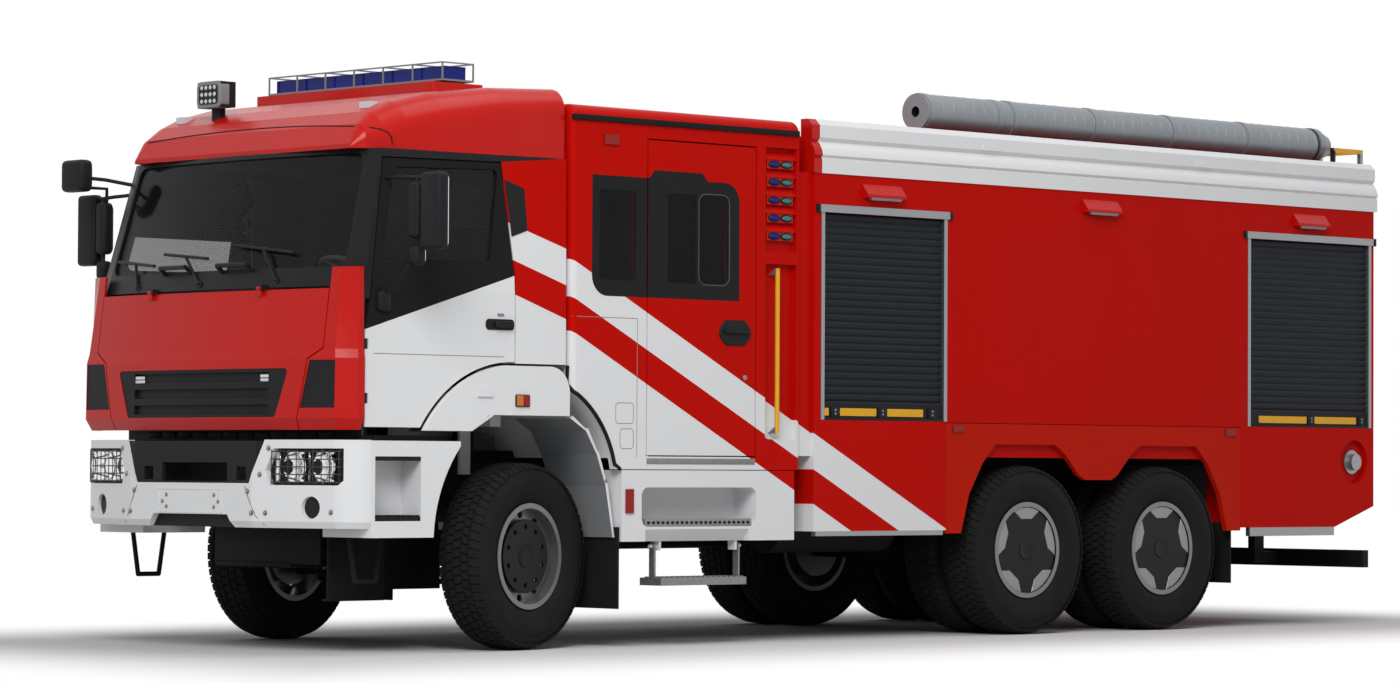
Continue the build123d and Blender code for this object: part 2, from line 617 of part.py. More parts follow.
with BuildPart() as hinge_lugs:
    for z in HINGE_Z:
        low, high = z - HINGE_LUG / 2, z + HINGE_LUG / 2
        rod((AXLE_X + HINGE_FWD, HINGE_Y, low), (AXLE_X + HINGE_FWD, HINGE_Y, high), HINGE_LUG_R)
        block(AXLE_X + HINGE_FWD, AXLE_X + DOOR_FRONT_FWD + 4, HINGE_Y - 7, HINGE_Y + 7, low, high)
    add(hinge_pins(HINGE_PIN_R, 0))
with BuildPart() as cab_shell:
    add(cab_outer)
    add(arch_room(GAP, CAB_FLOOR_Z - 200), mode=Mode.SUBTRACT)
    add(cab_room.part, mode=Mode.SUBTRACT)
    add(door_slab.part, mode=Mode.SUBTRACT)
    mirror(door_slab.part, about=Plane.XZ, mode=Mode.SUBTRACT)
    add(screen_prism(0), mode=Mode.SUBTRACT)
    for hand in (1, -1):
        room_x, room_y = AXLE_X + HINGE_FWD, hand * HINGE_Y
        rod((room_x, room_y, HINGE_ROOM_Z[0]), (room_x, room_y, HINGE_ROOM_Z[1]), HINGE_ROOM_R, Mode.SUBTRACT)
    add(hinge_lugs.part)
    mirror(hinge_lugs.part, about=Plane.XZ)
keep(cab_shell.part, "cab_shell")

with BuildPart() as cab_door:
    add(cab_outer)
    add(door_inner, mode=Mode.SUBTRACT)
    add(side_prism(DOOR_OUTLINE, GAP, SIDE / 2), mode=Mode.INTERSECT)
    add(arch_room(2 * GAP, CAB_FLOOR_Z - 200), mode=Mode.SUBTRACT)
    add(side_prism(DOOR_WINDOW, 0, SIDE / 2, WINDOW_CORNER_R), mode=Mode.SUBTRACT)
    for z in HINGE_Z:
        block(AXLE_X + HINGE_FWD - HINGE_LUG_R - 3, AXLE_X + DOOR_FRONT_FWD, CAB_SIDE - CAB_WALL, CAB_SIDE + 1,
              z - HINGE_LUG / 2 - 2, z + HINGE_LUG / 2 + 2, mode=Mode.SUBTRACT)
    add(hinge_pins(HINGE_PIN_R + SEAT, 2), mode=Mode.SUBTRACT)
keep(cab_door.part, "cab_door_left")
keep(mirrored(cab_door.part), "cab_door_right")

with BuildPart() as door_glass:
    add(cab_solid(PANE_DEPTH, CAB_FLOOR_Z))
    add(cab_solid(PANE_DEPTH + PANE, CAB_FLOOR_Z), mode=Mode.SUBTRACT)
    add(side_prism(DOOR_WINDOW, SEAT / 3, SIDE / 2, WINDOW_CORNER_R), mode=Mode.INTERSECT)
keep(door_glass.part, "cab_door_glass_left")
keep(mirrored(door_glass.part), "cab_door_glass_right")

with BuildPart() as windscreen:
    add(cab_solid(PANE_DEPTH, CAB_FLOOR_Z))
    add(cab_solid(PANE_DEPTH + PANE, CAB_FLOOR_Z), mode=Mode.SUBTRACT)
    add(screen_prism(SEAT / 3), mode=Mode.INTERSECT)

# Cab roof: arched sections from the windscreen's head back to the tall rear end, hollow under the skin
ROOF_SECTIONS = [  # forward, half width, top, corner radius
    (1165, CAB_SIDE - 220, 2840, 16), (1095, CAB_SIDE - 175, 2955, 90), (1000, CAB_SIDE - 140, 3032, 150),
    (860, CAB_SIDE - 104, 3098, 180), (620, CAB_SIDE - 64, 3160, 190), (200, CAB_SIDE - 34, 3208, 160),
    (CAB_REAR_FWD, CAB_SIDE - 22, 3225, 130),
]
PLATEAU = (20, 420, CAB_SIDE - 400, 3245)  # forward from, to, half width, top
PLATEAU_ROOT = 95
PLATEAU_CORNER_R = 40
ROOF_LINING = (900, CAB_SIDE - 160, 25)
ROOF_SHEET = 40


def roof_form(inset):
    with BuildPart() as form:
        sections = []
        for fwd, half, top, corner in ROOF_SECTIONS:
            with BuildSketch(Plane.YZ.offset(AXLE_X + fwd - (inset if fwd > 0 else -inset))) as arch:
                with BuildLine():
                    w, t = half - inset, top - inset
                    left = ThreePointArc((w, t - corner), (w - corner * 0.2929, t - corner * 0.2929), (w - corner, t))
                    right = ThreePointArc((-w + corner, t), (-w + corner * 0.2929, t - corner * 0.2929), (-w, t - corner))
                    Line(left @ 1, right @ 0)
                    Polyline(right @ 1, (-w, CAB_EAVES_Z), (w, CAB_EAVES_Z), left @ 0)
                make_face()
            sections.append(arch.sketch)
        loft(sections, ruled=True)
    return form.part


with BuildPart() as cab_roof:
    add(roof_form(0))
    add(roof_form(ROOF_SHEET), mode=Mode.SUBTRACT)
    fwd, half, sheet = ROOF_LINING
    block(AXLE_X + CAB_REAR_FWD, AXLE_X + fwd, -half, half, CAB_EAVES_Z, CAB_EAVES_Z + sheet)
    low_fwd, high_fwd, half, top = PLATEAU
    with BuildSketch(Plane.XY.offset(top - PLATEAU_ROOT)):
        with Locations((AXLE_X + (low_fwd + high_fwd) / 2, 0)):
            RectangleRounded(high_fwd - low_fwd, 2 * half, PLATEAU_CORNER_R)
    extrude(amount=PLATEAU_ROOT)
keep(cab_roof.part, "cab_roof")

# Front panel: a lid hinged at its top edge between two fixed corner posts, with grilles let into both
PANEL_LEVELS = [  # height, half width, then how far ahead of the door's edge: side, corner, nose; corner's inset
    (1245, SIDE - 42, 50, 122, 192, 78), (1310, SIDE - 12, 60, 152, 222, 88), (1640, SIDE - 12, 56, 147, 215, 88),
    (1690, SIDE - 20, 52, 138, 206, 92), (2145, SIDE - 24, 36, 80, 152, 108),
]
PANEL_RINGS = [
    (z, dict(half_rear=half, side_fwd=DOOR_FRONT_FWD + side, half_front=half, corner_fwd=DOOR_FRONT_FWD + corner,
             corner_half=half - inset, nose_fwd=DOOR_FRONT_FWD + nose))
    for z, half, side, corner, nose, inset in PANEL_LEVELS
]
PANEL_REAR_FWD = DOOR_FRONT_FWD + 10
PANEL_SHEET = 14
PANEL_TOP_Z = 2028
LID_EDGE = [(SIDE - 420, 1200), (SIDE - 320, 1640), (SIDE - 210, 1700)]
LID_HINGES = [-520, 490]
LID_HINGE_FWD = DOOR_FRONT_FWD + 174
LID_HINGE_Z = PANEL_TOP_Z + GAP
LID_EYE = 30
LID_EYE_R = 11
LID_PIN_R = 5
GRILLE_TOP = (SIDE - 465, 1587)
GRILLE_LOW = (SIDE - 570, 1316)
GRILLE_CORNER_R = 24
GRILLE_DEPTH = 40
SIDE_GRILLE = [(SIDE - 300, 1630), (SIDE - 100, 1630), (SIDE - 100, 1366), (SIDE - 370, 1366)]
LOUVRES = 3
LOUVRE = 26


def panel_form(inset, back):
    with BuildPart() as form:
        for (z0, low), (z1, high) in zip(PANEL_RINGS, PANEL_RINGS[1:]):
            loft([cab_ring(z0, inset, PANEL_REAR_FWD - back, **low), cab_ring(z1, inset, PANEL_REAR_FWD - back, **high)])
    return form.part


def front_prism(outline, shrink=0, corner=0):
    """An outline seen from the front, as a prism through the truck's nose."""
    with BuildPart() as prism:
        with BuildSketch(Plane.YZ.offset(AXLE_X + 900)):
            with BuildLine():
                Polyline(outline, close=True)
            make_face()
            if corner:
                fillet(vertices(), radius=corner)
            if shrink:
                offset(amount=-shrink, kind=Kind.INTERSECTION)
        extrude(amount=900)
    return prism.part


def both_sides(outline):
    """An outline given by its left half, closed by the mirrored half."""
    return outline + [(-y, z) for y, z in reversed(outline)]


lid_outline = both_sides(LID_EDGE + [(LID_EDGE[-1][0], PANEL_TOP_Z)])
grille_outline = both_sides([GRILLE_LOW, GRILLE_TOP])
with BuildPart() as panel_sheet:
    add(panel_form(0, 0))
    add(panel_form(PANEL_SHEET, 100), mode=Mode.SUBTRACT)
with BuildPart() as front_panel:
    add(panel_sheet.part)
    add(front_prism(lid_outline), mode=Mode.INTERSECT)
    add(front_prism(grille_outline, 0, GRILLE_CORNER_R), mode=Mode.SUBTRACT)
    for y in LID_HINGES:
        x, z = AXLE_X + LID_HINGE_FWD, LID_HINGE_Z
        block(x - 30, x + 2, y, y + LID_EYE, z - 40, z - 9)
        rod((x, y, z), (x, y + LID_EYE, z), LID_EYE_R)
        rod((x, y - 1, z), (x, y + LID_EYE + 1, z), LID_PIN_R + SEAT, Mode.SUBTRACT)
    add(panel_form(PANEL_SHEET, 100), mode=Mode.SUBTRACT)
keep(front_panel.part, "front_panel")

with BuildPart() as grille_groove:
    add(panel_form(-100, 0))
    add(panel_form(4 + GRILLE_DEPTH / 2, 200), mode=Mode.SUBTRACT)
with BuildPart() as louvre_slots:
    pitch = (GRILLE_TOP[1] - GRILLE_LOW[1]) / LOUVRES
    louvre_half = GRILLE_LOW[0] - 60
    for row in range(LOUVRES):
        z = GRILLE_LOW[1] + pitch * (row + 0.5)
        add(front_prism(both_sides([(louvre_half, z - LOUVRE), (louvre_half, z + LOUVRE)])))
    add(grille_groove.part, mode=Mode.INTERSECT)
with BuildPart() as grille:
    add(panel_form(4, 100))
    add(panel_form(4 + GRILLE_DEPTH, 200), mode=Mode.SUBTRACT)
    add(front_prism(grille_outline, SEAT / 3, GRILLE_CORNER_R), mode=Mode.INTERSECT)
    add(louvre_slots.part, mode=Mode.SUBTRACT)
keep(grille.part, "grille")

with BuildPart() as cab_corners:
    add(panel_sheet.part)
    add(front_prism(lid_outline, -GAP), mode=Mode.SUBTRACT)
    lid_half = LID_EDGE[-1][0] + GAP
    add(front_prism(both_sides([(lid_half, PANEL_TOP_Z), (lid_half, 2200)])), mode=Mode.SUBTRACT)
    for hand in (1, -1):
        add(front_prism([(hand * y, z) for y, z in SIDE_GRILLE]), mode=Mode.SUBTRACT)
        block(AXLE_X + DOOR_FRONT_FWD + 4, AXLE_X + PANEL_REAR_FWD + 30, hand * (SIDE - 130), hand * (SIDE - 24), 1450, 1480)
    add(cab_outer, mode=Mode.SUBTRACT)
keep(cab_corners.part, "cab_corners")

SIDE_GRILLE_DEPTH = 20


def corner_grille(hand):
    with BuildPart() as piece:
        add(panel_form(4, 100))
        add(panel_form(4 + SIDE_GRILLE_DEPTH, 200), mode=Mode.SUBTRACT)
        add(front_prism([(hand * y, z) for y, z in SIDE_GRILLE], SEAT / 3), mode=Mode.INTERSECT)
    return piece.part


corner_grilles = [corner_grille(hand) for hand in (1, -1)]

# Cowl under the windscreen, with three wipers and two grab handles
COWL_HALF = LID_EDGE[-1][0] + 5
COWL_Z = (CAB_WAIST_Z, SCREEN_BOTTOM[1])
COWL_OUT = 6
WIPERS = [  # shares of the half width and heights: pivot, blade's outer end, blade's inner end
    (-0.574, 2070, -0.828, 2235, -0.459, 2195), (-0.049, 2075, -0.393, 2260, -0.025, 2222),
    (0.492, 2080, 0.156, 2290, 0.566, 2235),
]
WIPER_R = 9
BLADE_LIFT = 16
HANDLES = [-300, 250]
HANDLE_HALF = 130
HANDLE_OUT = 45
HANDLE_R = 13


def screen_fwd(y, z, lift):
    """How far forward the windscreen's curved face lies at a place seen from the front."""
    share = (z - CAB_WAIST_Z) / (CAB_EAVES_Z - CAB_WAIST_Z)
    nose = CAB_WAIST["nose_fwd"] + share * (CAB_EAVES["nose_fwd"] - CAB_WAIST["nose_fwd"])
    corner = CAB_WAIST["corner_fwd"] + share * (CAB_EAVES["corner_fwd"] - CAB_WAIST["corner_fwd"])
    half = CAB_WAIST["corner_half"] + share * (CAB_EAVES["corner_half"] - CAB_WAIST["corner_half"])
    return AXLE_X + nose - (nose - corner) * (y / half) ** 2 + lift


with BuildPart() as wiper_cowl:
    add(cab_solid(-COWL_OUT, CAB_FLOOR_Z))
    add(front_prism(both_sides([(COWL_HALF, COWL_Z[0]), (COWL_HALF, COWL_Z[1])])), mode=Mode.INTERSECT)
    add(cab_outer, mode=Mode.SUBTRACT)
    for pivot_share, pz, top_share, tz, low_share, bz in WIPERS:
        py, ty, by = pivot_share * CAB_SIDE, top_share * CAB_SIDE, low_share * CAB_SIDE
        pivot = (screen_fwd(py, pz, -12), py, pz)
        knee = (screen_fwd(py, pz, BLADE_LIFT), py, pz)
        middle = ((ty + by) / 2, (tz + bz) / 2)
        tip = (screen_fwd(*middle, BLADE_LIFT), *middle)
        rod(pivot, knee, 20)
        rod(knee, tip, WIPER_R)
        rod((screen_fwd(ty, tz, BLADE_LIFT), ty, tz), (screen_fwd(by, bz, BLADE_LIFT), by, bz), WIPER_R)
    foot_z = COWL_Z[1] - 20
    for y in HANDLES:
        left, right = y + HANDLE_HALF, y - HANDLE_HALF
        for end in (left, right):
            rod((screen_fwd(end, foot_z, -10), end, foot_z), (screen_fwd(end, foot_z, HANDLE_OUT), end, foot_z + HANDLE_OUT),
                HANDLE_R)
        rod((screen_fwd(left, foot_z, HANDLE_OUT), left, foot_z + HANDLE_OUT),
            (screen_fwd(right, foot_z, HANDLE_OUT), right, foot_z + HANDLE_OUT), HANDLE_R)
    for y in LID_HINGES:
        x, z = AXLE_X + LID_HINGE_FWD, LID_HINGE_Z
        rod((x, y + 2, z), (x, y + LID_EYE + 20, z), LID_PIN_R)
        block(x - 40, x + 7, y + LID_EYE + 2, y + LID_EYE + 18, z - 7, z + 20)
    add(cab_outer, mode=Mode.SUBTRACT)
keep(wiper_cowl.part, "wiper_cowl")

# Bumper: a wide beam swept back at its ends, with a dark centre and deep corner step boxes
BUMPER_Z = (700, 1190)
BUMPER_SHEET = 70
BUMPER_FLAT = SIDE - 690
BUMPER_END = (DOOR_FRONT_FWD + 126, SIDE - 130)
BUMPER_EDGE = (18, 36)  # the lower edge draws in and rises by these
BUMPER_SIDE_FWD = DOOR_FRONT_FWD - 32
CENTRE_TOP = (SIDE - 603, BUMPER_Z[1] - 4)
CENTRE_LOW = (SIDE - 716, 947)
NOTCH = [(SIDE - 850, BUMPER_Z[0] - 10), (SIDE - 910, BUMPER_Z[0] + 72)]
HEADLAMP = [
    (SIDE - 570, 938), (SIDE - 595, 1020), (SIDE - 540, 1142), (SIDE - 80, 1142), (SIDE - 80, 965), (SIDE - 110, 938),
]
HEADLAMP_SUNK = 34
FOG_Y = SIDE - 285
FOG_Z = 815
FOG_R = 62
STEP_REAR_FWD = 560
STEP_BOX_Z = (650, 1187)
STEP_NICHE = (850, 1180, 742, 1100)
STEP_DEPTH = 170
STEP_TREAD = 24
STEP_NICHE_R = 60
LOOP_R = 14
LOOP_FWD = (925, 1155)
LOOP_Y = SIDE - 250
LOOP_Z = 405
INNER_FWD = -90
INNER_Z = 617
INNER_R = 846


def bumper_plan(inset, z=BUMPER_Z[0]):
    """The bumper's plan outline at a height, drawn in by an inset."""
    with BuildSketch(Plane.XY.offset(z)) as plan:
        with BuildLine():
            a, b = (NOSE_X - inset, BUMPER_FLAT), (AXLE_X + BUMPER_END[0] - inset, BUMPER_END[1])
            c = (AXLE_X + BUMPER_SIDE_FWD, SIDE - inset)
            bend = (AXLE_X + BUMPER_SIDE_FWD + 96 - inset * 0.6, SIDE - 44 - inset * 0.8)
            Line((NOSE_X - inset, -BUMPER_FLAT), a)
            Line(a, b)
            ThreePointArc(b, bend, c)
            Line(c, (c[0], -c[1]))
            ThreePointArc((c[0], -c[1]), (bend[0], -bend[1]), (b[0], -b[1]))
            Line((b[0], -b[1]), (a[0], -a[1]))
        make_face()
    return plan.sketch


with BuildPart() as bumper:
    edge_z = BUMPER_Z[0] + BUMPER_EDGE[1]
    loft([bumper_plan(BUMPER_EDGE[0]), bumper_plan(0, edge_z)], ruled=True)
    extrude(bumper_plan(0, edge_z), amount=BUMPER_Z[1] - edge_z)
    extrude(bumper_plan(BUMPER_SHEET), amount=BUMPER_Z[1] - BUMPER_Z[0], mode=Mode.SUBTRACT)
    add(front_prism(both_sides([CENTRE_LOW, CENTRE_TOP, (CENTRE_TOP[0], 1300)])), mode=Mode.SUBTRACT)
    add(front_prism(both_sides(NOTCH)), mode=Mode.SUBTRACT)
    for hand in (1, -1):
        add(front_prism([(hand * y, z) for y, z in HEADLAMP]), mode=Mode.SUBTRACT)
        with BuildSketch(Plane.YZ.offset(AXLE_X + 1100)):
            with Locations((hand * FOG_Y, FOG_Z)):
                Circle(FOG_R)
        extrude(amount=500, mode=Mode.SUBTRACT)
keep(bumper.part, "bumper")

WINCH_MOUTH = (-300, 300, 958, 1062)
TOW_MOUTH = (385, 470, 965, 1040)
with BuildPart() as skid:
    extrude(bumper_plan(40), amount=BUMPER_Z[1] - BUMPER_Z[0])
    extrude(bumper_plan(65), amount=BUMPER_Z[1] - BUMPER_Z[0], mode=Mode.SUBTRACT)
    add(front_prism(both_sides(NOTCH), SEAT / 3), mode=Mode.INTERSECT)
with BuildPart() as bumper_insert:
    extrude(bumper_plan(30), amount=BUMPER_Z[1] - BUMPER_Z[0] - 6)
    extrude(bumper_plan(30 + 25), amount=BUMPER_Z[1] - BUMPER_Z[0] - 6, mode=Mode.SUBTRACT)
    add(front_prism(both_sides([CENTRE_LOW, CENTRE_TOP]), SEAT / 3), mode=Mode.INTERSECT)
    for y0, y1, z0, z1 in (WINCH_MOUTH, TOW_MOUTH, (-TOW_MOUTH[1], -TOW_MOUTH[0], *TOW_MOUTH[2:])):
        block(NOSE_X - 100, NOSE_X, y0, y1, z0, z1, mode=Mode.SUBTRACT)
    add(skid.part)
    bracket_top = FRAME_TOP_Z + 50
    for hand in (1, -1):
        flange_in, flange_out = hand * (RAIL_WIDTH / 2 - RAIL_FLANGE), hand * (RAIL_WIDTH / 2 - 20)
        block(frame_front_x - 40, NOSE_X - 50, flange_in, flange_out, FRAME_TOP_Z, bracket_top)
    x0, x1, z0, z1 = STEP_NICHE
    for hand in (1, -1):
        for low, high in ((z0, z0 + STEP_TREAD), (z1 - STEP_TREAD, z1)):
            block(AXLE_X + x0, AXLE_X + x1, hand * (SIDE - STEP_DEPTH), hand * (SIDE - 3), low, high)
    for piece in corner_grilles:
        add(piece)
keep(bumper_insert.part, "front_trim")

with BuildPart() as corner_steps:
    x0, x1, z0, z1 = STEP_NICHE
    block(AXLE_X + STEP_REAR_FWD, AXLE_X + BUMPER_SIDE_FWD - 1, SIDE - 420, SIDE, *STEP_BOX_Z)
    block(AXLE_X + x0, AXLE_X + x1, SIDE - STEP_DEPTH, SIDE + 10, z0, z1, mode=Mode.SUBTRACT)
    with BuildSketch(side_plane(SIDE + 50)):
        with Locations((AXLE_X + INNER_FWD, INNER_Z)):
            Circle(INNER_R)
    extrude(amount=600, mode=Mode.SUBTRACT)
    low_rear, low_front = AXLE_X + LOOP_FWD[0] + 40, AXLE_X + LOOP_FWD[1] - 40
    for foot, low in ((AXLE_X + LOOP_FWD[0], low_rear), (AXLE_X + LOOP_FWD[1], low_front)):
        rod((foot, LOOP_Y, STEP_BOX_Z[0] + 10), (low, LOOP_Y, LOOP_Z), LOOP_R)
        with Locations((low, LOOP_Y, LOOP_Z)):
            Sphere(LOOP_R)
    rod((low_rear, LOOP_Y, LOOP_Z), (low_front, LOOP_Y, LOOP_Z), LOOP_R)
    block(AXLE_X + LOOP_FWD[0] + 130, AXLE_X + LOOP_FWD[1], RAIL_WIDTH / 2, SIDE - 400, FRAME_BOTTOM_Z + 90, FRAME_BOTTOM_Z + 190)
    mirror(about=Plane.XZ)
keep(corner_steps.part, "corner_steps")

# Front fenders: a broad white quarter over each wheel, and a guard behind it
FENDER_REAR_FWD = -262
FENDER_LOW_Z = 1338
FENDER_FACE = 30
FENDER_IN_Y = SIDE - 550
LINER = 14
FENDER_FOOT_Z = 1245
FENDER_CORNER_R = 150


def fender_face():
    with BuildSketch(side_plane(SIDE)) as face:
        with BuildLine():
            start = (AXLE_X + ARCH_FWD + (ARCH_R ** 2 - (FENDER_FOOT_Z - ARCH_Z) ** 2) ** 0.5, FENDER_FOOT_Z)
            crest = (AXLE_X + ARCH_FWD + 90, ARCH_Z + (ARCH_R ** 2 - 90 ** 2) ** 0.5)
            shoulder = (AXLE_X + ARCH_FWD + ARCH_R * cos(radians(58)), ARCH_Z + ARCH_R * sin(radians(58)))
            ThreePointArc(start, shoulder, crest)
            tail = (AXLE_X + FENDER_REAR_FWD, FENDER_LOW_Z)
            arch_end = (AXLE_X + INNER_FWD + (INNER_R ** 2 - (FENDER_FOOT_Z - INNER_Z) ** 2) ** 0.5, FENDER_FOOT_Z)
            arch_top = (AXLE_X + INNER_FWD + (INNER_R ** 2 - (FENDER_LOW_Z - INNER_Z) ** 2) ** 0.5, FENDER_LOW_Z)
            turned = FENDER_CORNER_R * (1 - cos(radians(45)))
            bend = (tail[0] + FENDER_CORNER_R, crest[1])
            drop = (tail[0], crest[1] - FENDER_CORNER_R)
            Line(crest, bend)
            ThreePointArc(bend, (tail[0] + turned, crest[1] - turned), drop)
            Polyline(drop, tail, arch_top, arch_end, start)
        make_face()
    return face.sketch


with BuildPart() as front_fenders:
    extrude(fender_face(), amount=FENDER_FACE)
    block(AXLE_X + FENDER_REAR_FWD, AXLE_X + 340, FENDER_IN_Y, SIDE - 1, FENDER_LOW_Z, FENDER_LOW_Z + LINER)
    with BuildSketch(side_plane(SIDE - 1)):
        with BuildLine():
            top = (AXLE_X + 310, FENDER_LOW_Z)
            foot = (AXLE_X + INNER_FWD + (INNER_R ** 2 - (FENDER_FOOT_Z - INNER_Z) ** 2) ** 0.5, FENDER_FOOT_Z)
            Polyline(top, foot, (foot[0] + LINER, foot[1]), (top[0] + LINER, top[1] + LINER), close=True)
        make_face()
    extrude(amount=SIDE - 1 - FENDER_IN_Y)
    block(AXLE_X - 200, AXLE_X - 120, RAIL_WIDTH / 2, FENDER_IN_Y + 20, FENDER_LOW_Z - 60, FENDER_LOW_Z + LINER)
    block(AXLE_X - 200, AXLE_X - 120, RAIL_WIDTH / 2, RAIL_WIDTH / 2 + 20, 1000, FENDER_LOW_Z)
    mirror(about=Plane.XZ)
keep(front_fenders.part, "front_fenders")

GUARD = [(-300, 1325), (-420, 1255), (-505, 1120), (-575, 940), (-632, 640)]
GUARD_SHEET = 16
GUARD_Y = (SIDE - 515, SIDE - 35)
FLAP_Z = 226
FLAP_SHEET = 14
REAR_FLAP_X = REAR_AXLES_X[1] - TYRE_R - 190
with BuildPart() as front_guards:
    for (xa, za), (xb, zb) in zip(GUARD, GUARD[1:]):
        with BuildSketch(side_plane(GUARD_Y[1])):
            with BuildLine():
                Polyline((AXLE_X + xa, za), (AXLE_X + xb, zb), (AXLE_X + xb - GUARD_SHEET, zb),
                         (AXLE_X + xa - GUARD_SHEET, za + GUARD_SHEET), close=True)
            make_face()
        extrude(amount=GUARD_Y[1] - GUARD_Y[0])
    block(AXLE_X - 640, AXLE_X - 560, RAIL_WIDTH / 2, GUARD_Y[0] + 5, 980, 1000)
    mirror(about=Plane.XZ)
keep(front_guards.part, "front_guards")

with BuildPart() as mud_flaps:
    block(AXLE_X - 632 - GUARD_SHEET, AXLE_X - 632 - GUARD_SHEET - FLAP_SHEET, GUARD_Y[0] + 60, SIDE - 10, FLAP_Z, 700)
    block(REAR_FLAP_X, REAR_FLAP_X - FLAP_SHEET, SIDE - 600, SIDE - 46, 296, SKIRT_Z + 30)
    block(REAR_FLAP_X, REAR_FLAP_X - FLAP_SHEET, RAIL_WIDTH / 2, SIDE - 590, SKIRT_Z - 30, FRAME_BOTTOM_Z + 60)
    mirror(about=Plane.XZ)
keep(mud_flaps.part, "mud_flaps")

# Crew module: a hollow box with rounded edges, side doors, bonded windows and lamp niches
CREW_EDGE_R = 90
CREW_CORNER_R = 40
CREW_DECK_Z = (1100, 1150)
CREW_ARCH_FWD = 14
CREW_ARCH_Z = 912
CREW_ARCH_R = 647
WINDOW_Z = (2036, 2735)
WINDOW_FRONT_X = CREW_FRONT_X - 152
WINDOW_REAR_X = CREW_FRONT_X - 1341
GLASS_Z = (2125, 2660)
FIXED_GLASS = (CREW_FRONT_X - 502, CREW_FRONT_X - 205)
DOOR_GLASS = (CREW_FRONT_X - 1250, CREW_FRONT_X - 750)
BOND_DEPTH = 10
BAND_CORNER_R = 120
BAND_TAB = (CREW_FRONT_X - 600, CREW_FRONT_X - 1080, 48)
NICHE_X = (CREW_FRONT_X - 1560, CREW_REAR_X + 18)
LAMP_NICHE_Z = (2342, 2968)
GRIP_NICHE_Z = (1219, 2268)
NICHE_DEPTH = 36
GRIP_R = 14
GRIP_X = CREW_REAR_X + 205
GRIP_OUT = 26
GRIP_FOOT = 40
HOOD_DROP = 52
NICHE_LAMPS_Z = [2882, 2775, 2666, 2560, 2450]
LAMP_HALF = 40
LAMP_HEIGHT = 52
CREW_PIN_X = CREW_DOOR_FRONT_X - 18
CREW_PIN_Y = CREW_SIDE - 10
CREW_PIN_R = 5
door_front, door_rear = CREW_DOOR_FRONT_X, CREW_DOOR_FRONT_X - CREW_DOOR_WIDTH


def crew_arch(margin):
    with BuildPart() as room:
        with BuildSketch(Plane(origin=(AXLE_X + CREW_ARCH_FWD, -2 * SIDE, CREW_ARCH_Z), z_dir=(0, 1, 0))):
            Circle(CREW_ARCH_R + margin)
        extrude(amount=4 * SIDE)
    return room.part


def front_band(trim):
    """The sunk field ahead of the door in the window band, with its low front corner rounded."""
    with BuildPart() as field:
        with BuildSketch(side_plane(CREW_SIDE)):
            with Locations(((WINDOW_FRONT_X + door_front) / 2, sum(WINDOW_Z) / 2)):
                Rectangle(WINDOW_FRONT_X - door_front - 2 * trim, WINDOW_Z[1] - WINDOW_Z[0] - 2 * trim)
            fillet(vertices().group_by(Axis.X)[-1].sort_by(Axis.Y)[0], radius=BAND_CORNER_R)
        extrude(amount=BOND_DEPTH)
    return field.part


def door_band(front_x, trim):
    """The sunk field in the door, with its high rear corner rounded and a low tab along its top."""
    tab_front, tab_rear, rise = BAND_TAB
    with BuildPart() as field:
        with BuildSketch(side_plane(CREW_SIDE)):
            with Locations(((front_x + WINDOW_REAR_X) / 2, sum(WINDOW_Z) / 2)):
                Rectangle(front_x - WINDOW_REAR_X - 2 * trim, WINDOW_Z[1] - WINDOW_Z[0] - 2 * trim)
            fillet(vertices().group_by(Axis.X)[0].sort_by(Axis.Y)[-1], radius=BAND_CORNER_R)
            with BuildLine():
                foot, top = WINDOW_Z[1] - trim - 1, WINDOW_Z[1] + rise - trim
                Polyline((tab_front - trim, foot), (tab_rear + trim, foot), (tab_rear + rise, top), (tab_front - rise, top),
                         close=True)
            make_face()
        extrude(amount=BOND_DEPTH)
    return field.part


